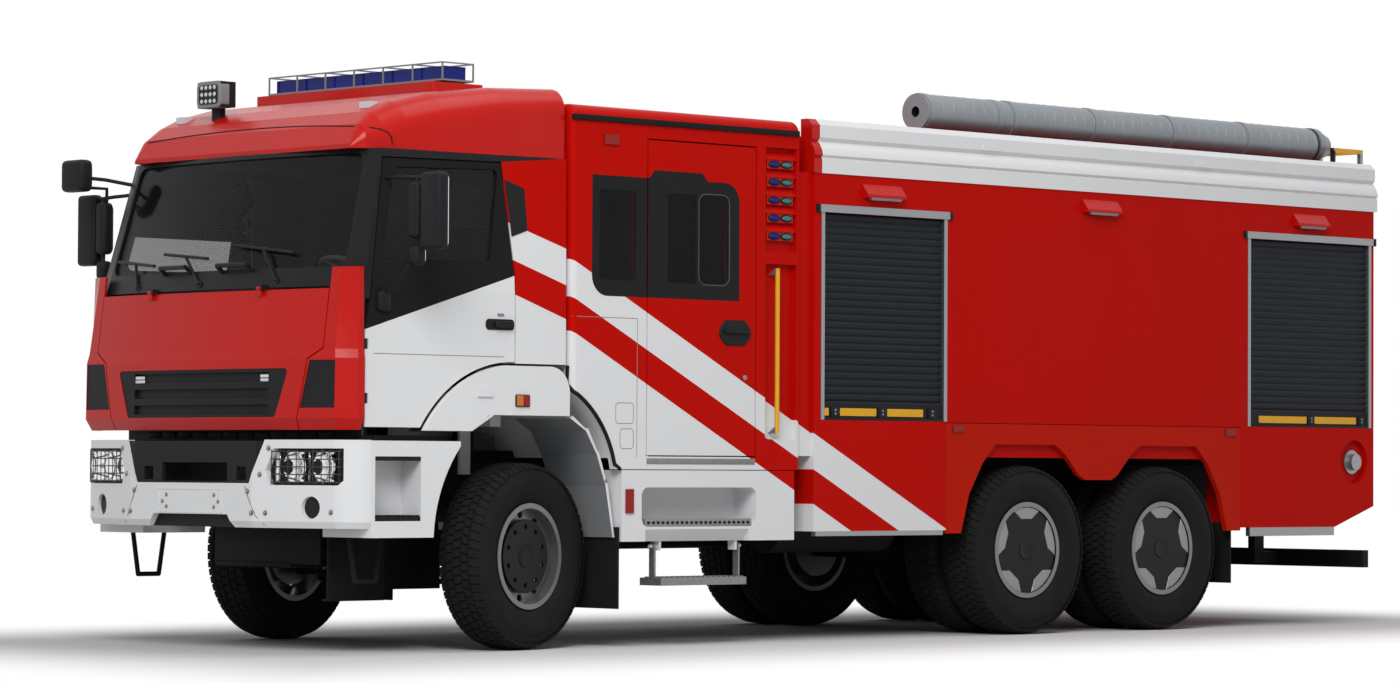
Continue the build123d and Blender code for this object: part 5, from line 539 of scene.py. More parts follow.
# %% [markdown]
# The lamps are one node, so the place of each tells its finish: the headlamps are dark boxes, the stubs
# on the fenders are white like the fender, and the hoods on the flank are red like the panel that they
# sit on. Smooth shading comes last. The angle at which an edge stays sharp is wider for the roof, which
# is one flowing form.

# %% Dress the shutters, lamps and glass
GRIP_TOP_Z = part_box("shutters")[0][2] + 0.10
HEADLAMP_X = FRONT_AXLE_X + 1.0
FENDER_LAMP_X = FRONT_AXLE_X + 0.2
NICHE_END_X = CREW_REAR_X + 0.35
SIDE_LAMP_Z = 2.3
HOOD_Z = 2.68
ROOF_FRONT_X = FRONT_AXLE_X + 0.8
MARKER_IN_Y = 0.75
BEACON_X, BEACON_HALF = FRONT_AXLE_X + 0.21, 0.081
BEACON_Z = (3.266, 3.347)
CREASE = radians(30)
ROOF_CREASE = radians(48)

dress("shutters", slat_coat, (lambda c, n: c.z < GRIP_TOP_Z, moulded_black))
dress("lamps", lens_red,
      (lambda c, n: c.x > HEADLAMP_X, lamp_housing),
      (lambda c, n: c.x > FENDER_LAMP_X, white_coat),
      (lambda c, n: CREW_REAR_X < c.x < NICHE_END_X and c.z > SIDE_LAMP_Z, red_coat),
      (lambda c, n: c.z > HOOD_Z and c.x < CREW_REAR_X, red_coat))
dress("roof_lights", moulded_grey,
      (lambda c, n: c.x > ROOF_FRONT_X and abs(c.y) < MARKER_IN_Y, moulded_black),
      (lambda c, n: c.x > ROOF_FRONT_X, lens_clear),
      (lambda c, n: abs(c.x - BEACON_X) < BEACON_HALF and BEACON_Z[0] < c.z < BEACON_Z[1], lens_blue))
dress("fixed_glass", fixed_pane, (lambda c, n: c.x > FRONT_AXLE_X, windscreen_glass))
for solid in solids.values():
    solid.data.shade_smooth()
    solid.data.set_sharp_from_angle(angle=CREASE)
solids["cab_roof"].data.set_sharp_from_angle(angle=ROOF_CREASE)
print("shutters, lamps and panes are dressed")

# %% [markdown]
# New pieces share a few shapes. A build function fills a bmesh in the truck's own coordinates, and one
# helper turns it into an object, gives it its finishes and says which body it rides on. Many pieces come
# in pairs, so a second helper makes the left and the right one with the same function.

# %% Helpers for new pieces
SHARP = radians(35)
HANDS = (("left", 1), ("right", -1))


def settle(obj, body, *finishes):
    """Links a new piece, gives it its finishes and lets it ride on a body."""
    bpy.context.collection.objects.link(obj)
    for finish in finishes:
        obj.data.materials.append(finish)
    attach(obj, body)
    return obj


def joined(name, body, build, *finishes):
    """One mesh piece from a function that fills a bmesh."""
    bm = bmesh.new()
    build(bm)
    bmesh.ops.recalc_face_normals(bm, faces=bm.faces)
    mesh = bpy.data.meshes.new(name)
    bm.to_mesh(mesh)
    bm.free()
    mesh.shade_smooth()
    mesh.set_sharp_from_angle(angle=SHARP)
    return settle(bpy.data.objects.new(name, mesh), body, *finishes)


def both_sides(name, body, build, *finishes):
    """A left and a right mesh piece. The body's name may hold {side}."""
    for side, hand in HANDS:
        joined(f"{name}_{side}", body.format(side=side), lambda bm: build(bm, hand), *finishes)


def wires(name, body, runs, radius, *finishes):
    """Bent round wires, each a list of points, as one curve piece."""
    curve = bpy.data.curves.new(name, "CURVE")
    curve.dimensions = "3D"
    curve.bevel_depth = radius
    curve.bevel_resolution = 2
    curve.use_fill_caps = True
    for run in runs:
        line = curve.splines.new("POLY")
        line.points.add(len(run) - 1)
        for point, place in zip(line.points, run):
            point.co = (*place, 1)
    return settle(bpy.data.objects.new(name, curve), body, *finishes)


print("helpers for pieces and wires are ready")

# %% [markdown]
# Trim has to sit on the solids, not near them. A BVH tree finds where a straight line first meets a
# solid, so we can ask how far out a flank stands at a place in side view, or how far forward the nose
# does. Each tree is built once and kept.

# %% Helpers that find a solid's skin
OUTSIDE_Y = 3
OUTSIDE_X = 9
skins = {}


def meet(name, start, way):
    """The point where a line from a start first meets a solid, or None."""
    if name not in skins:
        mesh = solids[name].data
        faces = [list(face.vertices) for face in mesh.polygons]
        skins[name] = BVHTree.FromPolygons([v.co for v in mesh.vertices], faces)
    return skins[name].ray_cast(Vector(start), Vector(way))[0]


def flank_spot(name, x, z):
    """The point of a solid's left flank at a place in side view, or None."""
    return meet(name, (x, OUTSIDE_Y, z), (0, -1, 0))


def flank_y(name, x, z):
    """How far out a solid's left flank stands at a place in side view."""
    return flank_spot(name, x, z).y


def nose_x(name, y, z):
    """How far forward a solid stands at a place in front view."""
    return meet(name, (OUTSIDE_X, y, z), (-1, 0, 0)).x


def between(span, share):
    """The place at a share of the way along a span."""
    return span[0] + (span[1] - span[0]) * share


print("the bumper's middle stands at", round(nose_x("bumper", 0, 0.85), 3))

# %% [markdown]
# Most trim starts as a box with softened edges. Real edges are never quite sharp, and the small bevel
# catches the light. One helper makes the box from two corners. Two more take spans on one side of the
# truck, or X counted from the front axle.

# %% Helpers for slabs
def slab(bm, low, high, soft=0.004, slot=0, steps=2):
    """A box between two corners with softened edges."""
    low, high = Vector(low), Vector(high)
    size = Vector(abs(v) for v in high - low)
    place = Matrix.Translation((low + high) / 2) @ Matrix.Diagonal((*size, 1))
    made = bmesh.ops.create_cube(bm, size=1, matrix=place)
    edges = list({edge for vert in made["verts"] for edge in vert.link_edges})
    offset = min(soft, min(size) / 3)
    cut = bmesh.ops.bevel(bm, geom=edges, offset=offset, segments=steps, affect="EDGES", profile=0.5)
    faces = {face for vert in made["verts"] if vert.is_valid for face in vert.link_faces}
    for face in faces | set(cut["faces"]):
        face.material_index = slot


def side_slab(bm, hand, xs, ys, zs, soft=0.004, slot=0, steps=2):
    """A softened box on one side of the truck, from its spans along, across and up."""
    slab(bm, (xs[0], hand * ys[0], zs[0]), (xs[1], hand * ys[1], zs[1]), soft, slot, steps)


def axle_slab(bm, low, high, soft=0.004, slot=0, steps=2):
    """A softened box whose X is counted from the front axle."""
    shift = Vector((FRONT_AXLE_X, 0, 0))
    slab(bm, Vector(low) + shift, Vector(high) + shift, soft, slot, steps)


print("helpers for slabs are ready")

# %% [markdown]
# A plate is drawn as an outline in side view or front view and given two depths. Its front edge is drawn
# in toward the middle of the outline, which makes the chamfer. Round corners and ovals come from a
# formula, and a bolt is two plates: a thin washer and a hexagon.

# %% Helpers for plates and bolts
NOSE_VIEW = Vector((0, 1, 0)), Vector((0, 0, 1)), Vector((1, 0, 0))
TINY = 1e-6
WASHER = 1.5
WASHER_LIFT = 0.002


def side_view(hand):
    """The axes of a plate on a flank: forward, up, outward."""
    return Vector((1, 0, 0)), Vector((0, 0, 1)), Vector((0, hand, 0))


def plate(bm, axes, outline, low, high, chamfer=0.002, slot=0):
    """A plate from an outline in a view, from one depth to another, with a chamfered front edge."""
    across, upward, outward = axes
    mid = Vector((sum(a for a, _ in outline), sum(b for _, b in outline))) / len(outline)
    rings = []
    for depth, shrink in ((low, 0.0), (high - chamfer, 0.0), (high, chamfer)):
        ring = []
        for a, b in outline:
            off = Vector((a, b)) - mid
            spot = mid + off * max(0.0, 1 - shrink / max(off.length, TINY))
            ring.append(bm.verts.new(across * spot.x + upward * spot.y + outward * depth))
        rings.append(ring)
    faces = [bm.faces.new(rings[0]), bm.faces.new(rings[-1])]
    for ring_a, ring_b in zip(rings, rings[1:]):
        for i in range(len(outline)):
            j = (i + 1) % len(outline)
            faces.append(bm.faces.new((ring_a[i], ring_a[j], ring_b[j], ring_b[i])))
    for face in faces:
        face.material_index = slot


def rounded(a0, a1, b0, b1, radius, steps=5):
    """The outline of a rectangle with round corners."""
    left, right_edge, low, high = a0 + radius, a1 - radius, b0 + radius, b1 - radius
    points = []
    for start, (a, b) in enumerate(((right_edge, high), (left, high), (left, low), (right_edge, low))):
        for k in range(steps + 1):
            angle = (start + k / steps) * pi / 2
            points.append((a + radius * cos(angle), b + radius * sin(angle)))
    return points


def oval(a, b, half_a, half_b, steps=20):
    """The outline of an oval."""
    return [(a + half_a * cos(tau * k / steps), b + half_b * sin(tau * k / steps)) for k in range(steps)]


def bolt(bm, axes, a, b, depth, radius=0.011, slot=0):
    """A hexagon head on a thin washer."""
    washer = oval(a, b, radius * WASHER, radius * WASHER, 14)
    plate(bm, axes, washer, depth - WASHER_LIFT, depth + WASHER_LIFT, 0.0008, slot)
    plate(bm, axes, oval(a, b, radius, radius, 6), depth, depth + radius * 0.9, radius * 0.15, slot)


print("helpers for plates and bolts are ready")

# %% [markdown]
# A road tyre is a turned carcass with rubber blocks on its crown. CAD keeps it plain, because the blocks
# would cost thousands of faces. We turn the same section with the crown sunk by the groove depth, then
# set the blocks round it in five rows: broad ones at the shoulders and in the middle, and staggered
# narrower ones between. Nothing stands past the CAD radius.

# %% Tyre sections
TREAD_DEPTH = 0.010
BLOCK_ROOT = 0.006
BLOCK_DRAFT = 0.0025
BLOCK_LEAN = 0.10
BLOCK_SHARE = 0.88
PITCHES = 66
TYRE_SEGMENTS = 96
TWIN_OFFSET = 0.165
SHOULDER = 0.095
CROWN_DROP = 0.003
SHOULDER_FALL = 0.30
ROWS = [  # middle of the row, half width, stagger
    (-0.109, 0.027, 0.0), (-0.055, 0.0225, 0.5), (0.0, 0.028, 0.0), (0.055, 0.0225, 0.5),
    (0.109, 0.027, 0.0),
]
WALL = [  # distance from the middle, radius
    (0.103, 0.289), (0.107, 0.306), (0.122, 0.322), (0.127, 0.329), (0.133, 0.345), (0.141, 0.375),
    (0.1445, 0.408), (0.143, 0.440), (0.1425, 0.446), (0.1385, 0.452), (0.135, 0.478), (0.1275, 0.503),
    (0.117, 0.519),
]


def turned_point(centre, axis, across, radius, angle):
    """A point of a wheel, by its distance along the axle, radius and angle."""
    forward = Vector((axis.y, -axis.x, 0)).normalized()
    upward = Vector((0, 0, 1))
    return centre + axis * across + (forward * cos(angle) + upward * sin(angle)) * radius


def turn_profile(bm, centre, axis, profile, segments):
    """Turns a closed profile of (distance along the axle, radius) round a wheel's axis."""
    rings = []
    for number in range(segments):
        angle = tau * number / segments
        rings.append([bm.verts.new(turned_point(centre, axis, w, r, angle)) for w, r in profile])
    for ring_a, ring_b in zip(rings, rings[1:] + rings[:1]):
        for i in range(len(profile)):
            j = (i + 1) % len(profile)
            bm.faces.new((ring_a[i], ring_a[j], ring_b[j], ring_b[i]))


def crown_radius(across):
    """The tread's outer radius at a distance from the tyre's middle."""
    fall = max(0.0, abs(across) - SHOULDER) * SHOULDER_FALL
    return WHEEL_R - CROWN_DROP * (across / SHOULDER) ** 2 - fall


print("tread radius from", round(crown_radius(SHOULDER), 4), "to", WHEEL_R)

# %% [markdown]
# Each wheel set takes its centre and axis from its spin joint. The rear ones are twins, so they get two
# tyres.

# %% Tyres
def tread_block(bm, centre, axis, across, half, start, end, lean):
    """One rubber block between two angles, sunk into the carcass."""
    corners = []
    for depth, draft in ((TREAD_DEPTH + BLOCK_ROOT, 0.0), (0.0, BLOCK_DRAFT)):
        for w, shift in ((across - half + draft, -lean), (across + half - draft, lean)):
            for angle in (start + draft * 2, end - draft * 2):
                point = turned_point(centre, axis, w, crown_radius(w) - depth, angle + shift)
                corners.append(bm.verts.new(point))
    for face in ((0, 1, 5, 4), (1, 3, 7, 5), (3, 2, 6, 7), (2, 0, 4, 6), (4, 5, 7, 6)):
        bm.faces.new([corners[i] for i in face])


def build_tyre(bm, centre, axis):
    """A carcass with its rows of blocks."""
    crown = [(SHOULDER, crown_radius(SHOULDER) - TREAD_DEPTH), (0.0, WHEEL_R - TREAD_DEPTH)]
    half_profile = WALL + crown
    profile = half_profile + [(-w, r) for w, r in reversed(half_profile[:-1])]
    turn_profile(bm, centre, axis, profile, TYRE_SEGMENTS)
    pitch = tau / PITCHES
    for row, half, stagger in ROWS:
        lean = pitch * BLOCK_LEAN * (1 if row <= 0 else -1)
        for number in range(PITCHES):
            start = (number + stagger) * pitch
            tread_block(bm, centre, axis, row, half, start, start + pitch * BLOCK_SHARE, lean)


def wheel_stations():
    """(tyre solid, body, centre, axis, offsets of its tyres) for the six wheel sets."""
    stations = []
    for name, joint in hinges.items():
        if "wheel" in name:
            body = joint["child"]
            side = "left" if body.endswith("left") else "right"
            solid = f"front_tyre_{side}" if "front" in name else body.replace("wheel", "tyres")
            offsets = (0.0,) if "front" in name else (-TWIN_OFFSET, TWIN_OFFSET)
            axis = Vector(joint["axis"]).normalized()
            stations.append((solid, body, Vector(joint["pos_m"]), axis, offsets))
    return stations


tyre_rubber = coat("tyre_rubber", (0.014, 0.0137, 0.013), 0.8,
                   gloss=0.08, drift=0.35, drift_scale=9, grain=0.3)
for solid, body, centre, axis, offsets in wheel_stations():
    def fill(bm):
        for offset in offsets:
            build_tyre(bm, centre + axis * offset, axis)
    tyre = joined(f"treaded_{solid}", body, fill, tyre_rubber)
    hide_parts(solid)
    print(tyre.name, "faces:", len(tyre.data.polygons))

# %% [markdown]
# Nuts, hub caps, lamp bowls and the rings of the hose tube are all turned. A profile of distances along
# an axis and radii gives one ring of points for each step, and faces join the rings. A radius of zero
# closes the form in a single point.

# %% A helper for turned pieces
def turned(bm, centre, axis, profile, segments=28, slot=0):
    """A turned form from (distance along the axis, radius), which may close on the axis."""
    first = axis.orthogonal().normalized()
    second = axis.cross(first)
    rings = []
    for w, r in profile:
        if r == 0:
            rings.append([bm.verts.new(centre + axis * w)])
            continue
        angles = [tau * k / segments for k in range(segments)]
        spokes = [first * cos(t) + second * sin(t) for t in angles]
        rings.append([bm.verts.new(centre + axis * w + spoke * r) for spoke in spokes])
    for a, b in zip(rings, rings[1:]):
        for i in range(segments):
            j = (i + 1) % segments
            corners = [a[i % len(a)], a[j % len(a)], b[j % len(b)], b[i % len(b)]]
            face = bm.faces.new(list(dict.fromkeys(corners)))
            face.material_index = slot


print("turned pieces are ready")

# %% [markdown]
# The wheels wear covers. In front a black dish with ten nuts sits in the silver rim. The nuts are coloured
# near black, as painted shade that stands for the dark holes of the cover. At the rear a black plate has
# five notches, and a silver pad fills each of them. The CAD rims have these steps, so a test on the
# distance along the axle and on the radius picks the finish. The nuts and hub caps are turned.

# %% Wheel covers
COVER_FRONT = (0.060, 0.222)
COVER_REAR = (0.2655, 0.276)
HUB_SEAT_FRONT, HUB_SEAT_REAR = 0.088, 0.275
HUB = [(-0.004, 0.070), (0.004, 0.068), (0.008, 0.060), (0.006, 0.052), (0.007, 0)]
NUT = [(0.050, 0.030), (0.068, 0.029), (0.070, 0.016), (0.080, 0.014), (0.082, 0)]
NUTS, NUT_CIRCLE = 10, 0.1675
PADS_ROUND = 5
PAD_OUTLINE = [
    (-0.118, 0.246), (-0.062, 0.266), (0.0, 0.272), (0.062, 0.266), (0.118, 0.246),
    (0.052, 0.196), (-0.052, 0.196),
]
PAD_DEPTH = (0.262, 0.2795)


def cover_test(centre, out, step, radius):
    """Picks the faces of a wheel cover by their place along the axle and round it."""
    def test(c, n):
        along = (c - centre).dot(out)
        return along > step and (c - centre - out * along).length < radius
    return test


def hub_cap(bm, centre, out, seat):
    """A low round cap in the middle of a cover."""
    turned(bm, centre, out, [(seat + w, r) for w, r in HUB])


def front_cap(bm, centre, out):
    """A hub cap and a circle of nuts, coloured near black as painted shade for the cover's holes."""
    hub_cap(bm, centre, out, HUB_SEAT_FRONT)
    first = out.orthogonal().normalized()
    second = out.cross(first)
    for k in range(NUTS):
        angle = tau * (k + 0.5) / NUTS
        place = centre + (first * cos(angle) + second * sin(angle)) * NUT_CIRCLE
        turned(bm, place, out, NUT, 12, 1)


def rear_cap(bm, centre, out):
    """A hub cap and the silver pads round the edge of the cover."""
    hub_cap(bm, centre, out, HUB_SEAT_REAR)
    forward, high = Vector((1, 0, 0)), Vector((0, 0, 1))
    back_face, front_face = (centre.dot(out) + depth for depth in PAD_DEPTH)
    for k in range(PADS_ROUND):
        angle = tau * k / PADS_ROUND
        upward = high * cos(angle) + forward * sin(angle)
        across = forward * cos(angle) - high * sin(angle)
        placed = [(a + centre.dot(across), b + centre.dot(upward)) for a, b in PAD_OUTLINE]
        plate(bm, (across, upward, out), placed, back_face, front_face, 0.003, 2)


pad_silver = coat("pad_silver", (0.27, 0.275, 0.28), 0.4,
                  metallic=0.4, gloss=0.3, drift=0.12, drift_scale=10)
# The nuts' coat is near black: painted shade for the dark holes of the front cover.
nut_steel = coat("nut_steel", (0.006, 0.006, 0.006), 0.5, gloss=0.05, drift=0.2, drift_scale=40)
for solid, body, centre, axis, _ in wheel_stations():
    out = axis if axis.y * centre.y > 0 else -axis
    step, radius = COVER_FRONT if "front" in solid else COVER_REAR
    cap = front_cap if "front" in solid else rear_cap
    rim = solid.replace("tyre", "rim")
    dress(rim, wheel_silver, (cover_test(centre, out, step, radius), cover_black))
    joined(f"cap_{rim}", body, lambda bm: cap(bm, centre, out), cover_black, nut_steel, pad_silver)
print("wheels with covers:", len(wheel_stations()))

# %% [markdown]
# A truck headlamp is a dark box with bright reflector bowls, and here a wire guard stands in front of it.
# The CAD lens is the back of the box. We turn the bowls and their bulbs, set bright strips above and
# below them and posts beside them, and bend the guard from thin wire that follows the bumper's curved
# face.

# %% Headlamps and their guards
LAMP_Y = (0.700, 1.150)
LAMP_Z = (0.955, 1.125)
LAMP_MID_Z = 1.04
LAMP_FRAME_Z = (0.905, 1.168)
BOWLS_Y = (0.83, 1.03)
BOWL = [(0.002, 0.092), (0.016, 0.090), (0.019, 0.084), (0.010, 0.060), (0.005, 0.032), (0.004, 0)]
BULB = [(0.003, 0.014), (0.014, 0.013), (0.019, 0.008), (0.020, 0)]
STRIPS_Z = (0.962, 1.118)
STRIP_HALF_Y, STRIP_HALF_Z = 0.085, 0.008
POSTS_Y = ((0.700, 0.735), (0.925, 0.935))
SUNK = 0.004
STRIP_LIFT, POST_LIFT = 0.014, 0.013
GUARD_COLUMNS, GUARD_ROWS = 8, 4
GUARD_LIFT, GUARD_RETURN, GUARD_LAP = 0.004, 0.03, 0.008
GUARD_WIRE_R = 0.0032
chrome = coat("chrome", (0.78, 0.79, 0.80), 0.12, metallic=1.0, drift=0.15, drift_scale=30)
guard_wire = coat("guard_wire", (0.03, 0.03, 0.032), 0.45, gloss=0.3, drift=0.2, drift_scale=30)


def bumper_x(y):
    """The bumper's face beside a lamp, from the metal above and below its opening."""
    return max(nose_x("bumper", y, z) for z in LAMP_FRAME_Z)


def headlamp(bm, hand):
    """Two bowls with bulbs, four bright strips and two posts."""
    forward = Vector((1, 0, 0))
    for y in BOWLS_Y:
        x = nose_x("lamps", hand * y, LAMP_MID_Z)
        back = Vector((x, hand * y, LAMP_MID_Z))
        turned(bm, back, forward, BOWL, 32, 0)
        turned(bm, back, forward, BULB, 16, 1)
        ys = (y - STRIP_HALF_Y, y + STRIP_HALF_Y)
        for z in STRIPS_Z:
            zs = (z - STRIP_HALF_Z, z + STRIP_HALF_Z)
            side_slab(bm, hand, (x - SUNK, x + STRIP_LIFT), ys, zs, 0.003, 0)
    for ys in POSTS_Y:
        x = nose_x("lamps", hand * sum(ys) / 2, LAMP_MID_Z)
        side_slab(bm, hand, (x - SUNK, x + POST_LIFT), ys, LAMP_Z, 0.003, 2)


def guard_runs(hand):
    """The guard's level and upright wires, each bent back at its ends."""
    ys = [hand * between(LAMP_Y, k / GUARD_COLUMNS) for k in range(GUARD_COLUMNS + 1)]
    xs = [bumper_x(y) + GUARD_LIFT for y in ys]
    runs = []
    for k in range(GUARD_ROWS + 1):
        z = between(LAMP_Z, k / GUARD_ROWS)
        run = [(x, y, z) for x, y in zip(xs, ys)]
        runs.append([(xs[0] - GUARD_RETURN, ys[0], z), *run, (xs[-1] - GUARD_RETURN, ys[-1], z)])
    low, high = LAMP_Z[0] - GUARD_LAP, LAMP_Z[1] + GUARD_LAP
    for x, y in zip(xs, ys):
        runs.append([(x - GUARD_RETURN, y, low), (x, y, low), (x, y, high), (x - GUARD_RETURN, y, high)])
    return runs


both_sides("headlamp", "chassis", headlamp, chrome, lens_white, lamp_housing)
for side, hand in HANDS:
    wires(f"lamp_guard_{side}", "chassis", guard_runs(hand), GUARD_WIRE_R, guard_wire)
print("headlamps with guards at", LAMP_Y)

# %% [markdown]
# The white bumper is bolted together from a centre and two corners. A thin joint shows between them, the
# bolts stand in loose rows, and a bare pressed field lies in the middle. Each bolt is a hexagon on a
# washer, set on the bumper by a line cast from the front.

# %% Bumper joints, bolts and plate field
BUMPER_BOLTS = [  # across, up
    (0.675, 1.143), (0.615, 0.996), (0.525, 0.902), (0.560, 0.782), (0.655, 0.783), (1.100, 0.790),
]
PLATE_BOLTS = [(0.220, 0.879), (0.220, 0.812), (0.258, 0.842)]
BUMPER_BOLT_R, PLATE_BOLT_R = 0.0105, 0.008
PLATE_FIELD = (-0.290, 0.290, 0.778, 0.914)
FIELD_EDGE, FIELD_LIFT = 0.005, 0.0025
JOINT_LINE = [(0.500, 0.930), (0.545, 0.845), (0.590, 0.765), (0.645, 0.715)]
JOINT_LIFT, JOINT_R = 0.0005, 0.003
steel_bolt = coat("steel_bolt", (0.22, 0.22, 0.23), 0.4, metallic=0.8, drift=0.2, drift_scale=60)
joint_grey = coat("joint_grey", (0.22, 0.22, 0.225), 0.6, gloss=0.2, drift=0.2, drift_scale=12)


def bumper_bolts(bm):
    """The bolts of the bumper and the smaller ones on the pressed field."""
    for places, radius in ((BUMPER_BOLTS, BUMPER_BOLT_R), (PLATE_BOLTS, PLATE_BOLT_R)):
        for y, z in places:
            for hand in (1, -1):
                bolt(bm, NOSE_VIEW, hand * y, z, nose_x("bumper", hand * y, z), radius)


def plate_field(bm):
    """Four narrow strips round a bare field."""
    y0, y1, z0, z1 = PLATE_FIELD
    strips = [(y0, y1, z1 - FIELD_EDGE, z1), (y0, y1, z0, z0 + FIELD_EDGE),
              (y0, y0 + FIELD_EDGE, z0, z1), (y1 - FIELD_EDGE, y1, z0, z1)]
    for ya, yb, za, zb in strips:
        x = nose_x("bumper", (ya + yb) / 2, (za + zb) / 2)
        slab(bm, (x - SUNK, ya, za), (x + FIELD_LIFT, yb, zb), 0.001)


def joint_run(hand):
    """The joint between the bumper's centre and one corner."""
    return [(nose_x("bumper", hand * y, z) + JOINT_LIFT, hand * y, z) for y, z in JOINT_LINE]


joined("bumper_bolts", "chassis", bumper_bolts, steel_bolt)
joined("plate_field", "chassis", plate_field, white_coat)
wires("bumper_joints", "chassis", [joint_run(hand) for _, hand in HANDS], JOINT_R, joint_grey)
print("bumper bolts:", 2 * len(BUMPER_BOLTS + PLATE_BOLTS))

# %% [markdown]
# Behind the gap between lid and bumper lies a dark air guide, and under the cab a black tray and a skirt
# plate hide the steering gear. Splash sheets stand on the frame's rails. All are moulded or folded, so
# ribs and lips break up their faces.

# %% Dark sheets under the truck
GUIDE_SHEETS = [  # low corner, high corner from the front axle, softening, finish
    ((1.120, -1.06, 1.150), (1.150, 1.06, 1.262), 0.006, 0),
    ((1.165, -1.04, 0.935), (1.179, 0.60, 1.150), 0.004, 1),
]
GUIDE_RIBS, GUIDE_RIB_START, GUIDE_RIB_PITCH, GUIDE_RIB_HALF = 12, -0.80, 0.145, 0.055
TRAY_SHEETS = [  # low corner, high corner from the front axle, softening
    ((0.695, -0.29, 0.470), (1.095, 0.40, 0.500), 0.008),
    ((1.065, -0.30, 0.490), (1.090, 0.66, 0.700), 0.006),
    ((0.665, 0.70, 0.290), (1.075, 0.722, 0.660), 0.005),
    ((0.665, 0.66, 0.286), (1.075, 0.722, 0.300), 0.004),
    ((0.085, 0.512, 0.345), (0.695, 0.524, 0.680), 0.004),
    ((0.085, 0.49, 0.340), (0.695, 0.524, 0.352), 0.004),
]
TRAY_RIBS_Y, TRAY_RIB_HALF = (-0.2, 0.0, 0.2), 0.012
RAIL_SHEETS = [(-4.00, -0.30, 1.24), (1.55, 3.02, 1.14)]  # rear end, front end, top
RAIL_SHEET_Y, RAIL_RIB_Y = (0.360, 0.384), (0.355, 0.392)
RAIL_SHEET_FOOT_Z, RAIL_RIB_INSET = 0.99, 0.01
RAIL_RIBS, RAIL_RIB_HALF = 6, 0.02


def nose_guide(bm):
    """One sheet behind the gap over the bumper, with a row of ribs, and one behind the bumper's mouth."""
    for low, high, soft, slot in GUIDE_SHEETS:
        axle_slab(bm, low, high, soft, slot)
    for k in range(GUIDE_RIBS):
        y = GUIDE_RIB_START + k * GUIDE_RIB_PITCH
        axle_slab(bm, (1.145, y - GUIDE_RIB_HALF, 1.205), (1.159, y + GUIDE_RIB_HALF, 1.238), 0.004, 1)


def under_tray(bm):
    """A tray under the cab with ribs below it, and folded skirts on its left."""
    for low, high, soft in TRAY_SHEETS:
        axle_slab(bm, low, high, soft)
    for y in TRAY_RIBS_Y:
        axle_slab(bm, (0.725, y - TRAY_RIB_HALF, 0.462), (1.065, y + TRAY_RIB_HALF, 0.474), 0.004)


def rail_sheets(bm):
    """Splash sheets that close the gap between the frame's rails and the floors above them."""
    for hand in (1, -1):
        for x0, x1, top in RAIL_SHEETS:
            side_slab(bm, hand, (x0, x1), RAIL_SHEET_Y, (RAIL_SHEET_FOOT_Z, top))
            rib_z = (RAIL_SHEET_FOOT_Z + RAIL_RIB_INSET, top - RAIL_RIB_INSET)
            for k in range(RAIL_RIBS):
                x = between((x0, x1), (k + 0.5) / RAIL_RIBS)
                side_slab(bm, hand, (x - RAIL_RIB_HALF, x + RAIL_RIB_HALF), RAIL_RIB_Y, rib_z)


joined("nose_guide", "chassis", nose_guide, moulded_black, lamp_housing)
joined("under_tray", "chassis", under_tray, chassis_black)
joined("rail_sheets", "chassis", rail_sheets, chassis_black)
print("dark sheets:", len(GUIDE_SHEETS) + len(TRAY_SHEETS) + 2 * len(RAIL_SHEETS))

# %% [markdown]
# Steps on a fire truck have toothed edges, so that a wet boot holds. The corner steps get short black
# teeth in rows, the folding step gets rows of raised studs, and the sill's niche gets a bright perforated
# tread with an upright lip. The holes in the lip are black plates: painted shade for the dark inside of
# each hole.

# %% Treads
CORNER_TREAD_X = (FRONT_AXLE_X + 0.858, FRONT_AXLE_X + 1.172)
CORNER_TREAD_TOPS = (0.766, 1.100)
CORNER_ROWS_Y = (1.225, 1.165, 1.105)
TEETH = 11
FOLD_TOP_Z = 0.400
FOLD_ROWS_Y = (1.085, 1.15, 1.215)
STUDS, STUD_START_X, STUD_PITCH = 16, CREW_REAR_X + 0.445, 0.0425
SILL_X = (FRONT_AXLE_X - 1.735, FRONT_AXLE_X - 0.865)
SILL_TOP_Z = 0.7005
SILL_TREAD_Y, SILL_LIP_Y = (1.085, 1.236), (1.226, 1.240)
SILL_HOLE_Y = (1.236, 1.2405)
SILL_ROWS_Y = (1.12, 1.17)
SILL_HOLES, SILL_END = 22, 0.03


def stud(bm, hand, x, y, half_x, half_y, zs):
    """One raised stud or tooth."""
    side_slab(bm, hand, (x - half_x, x + half_x), (y - half_y, y + half_y), zs, 0.003)


def corner_teeth(bm, hand):
    """Teeth on both corner steps."""
    for top in CORNER_TREAD_TOPS:
        for k in range(TEETH):
            x = between(CORNER_TREAD_X, k / (TEETH - 1))
            for y in CORNER_ROWS_Y:
                stud(bm, hand, x, y, 0.009, 0.016, (top - SUNK, top + 0.009))


def fold_studs(bm, hand):
    """Studs on the folding step."""
    for k in range(STUDS):
        for y in FOLD_ROWS_Y:
            x = STUD_START_X + k * STUD_PITCH
            stud(bm, hand, x, y, 0.010, 0.014, (FOLD_TOP_Z - SUNK, FOLD_TOP_Z + 0.006))


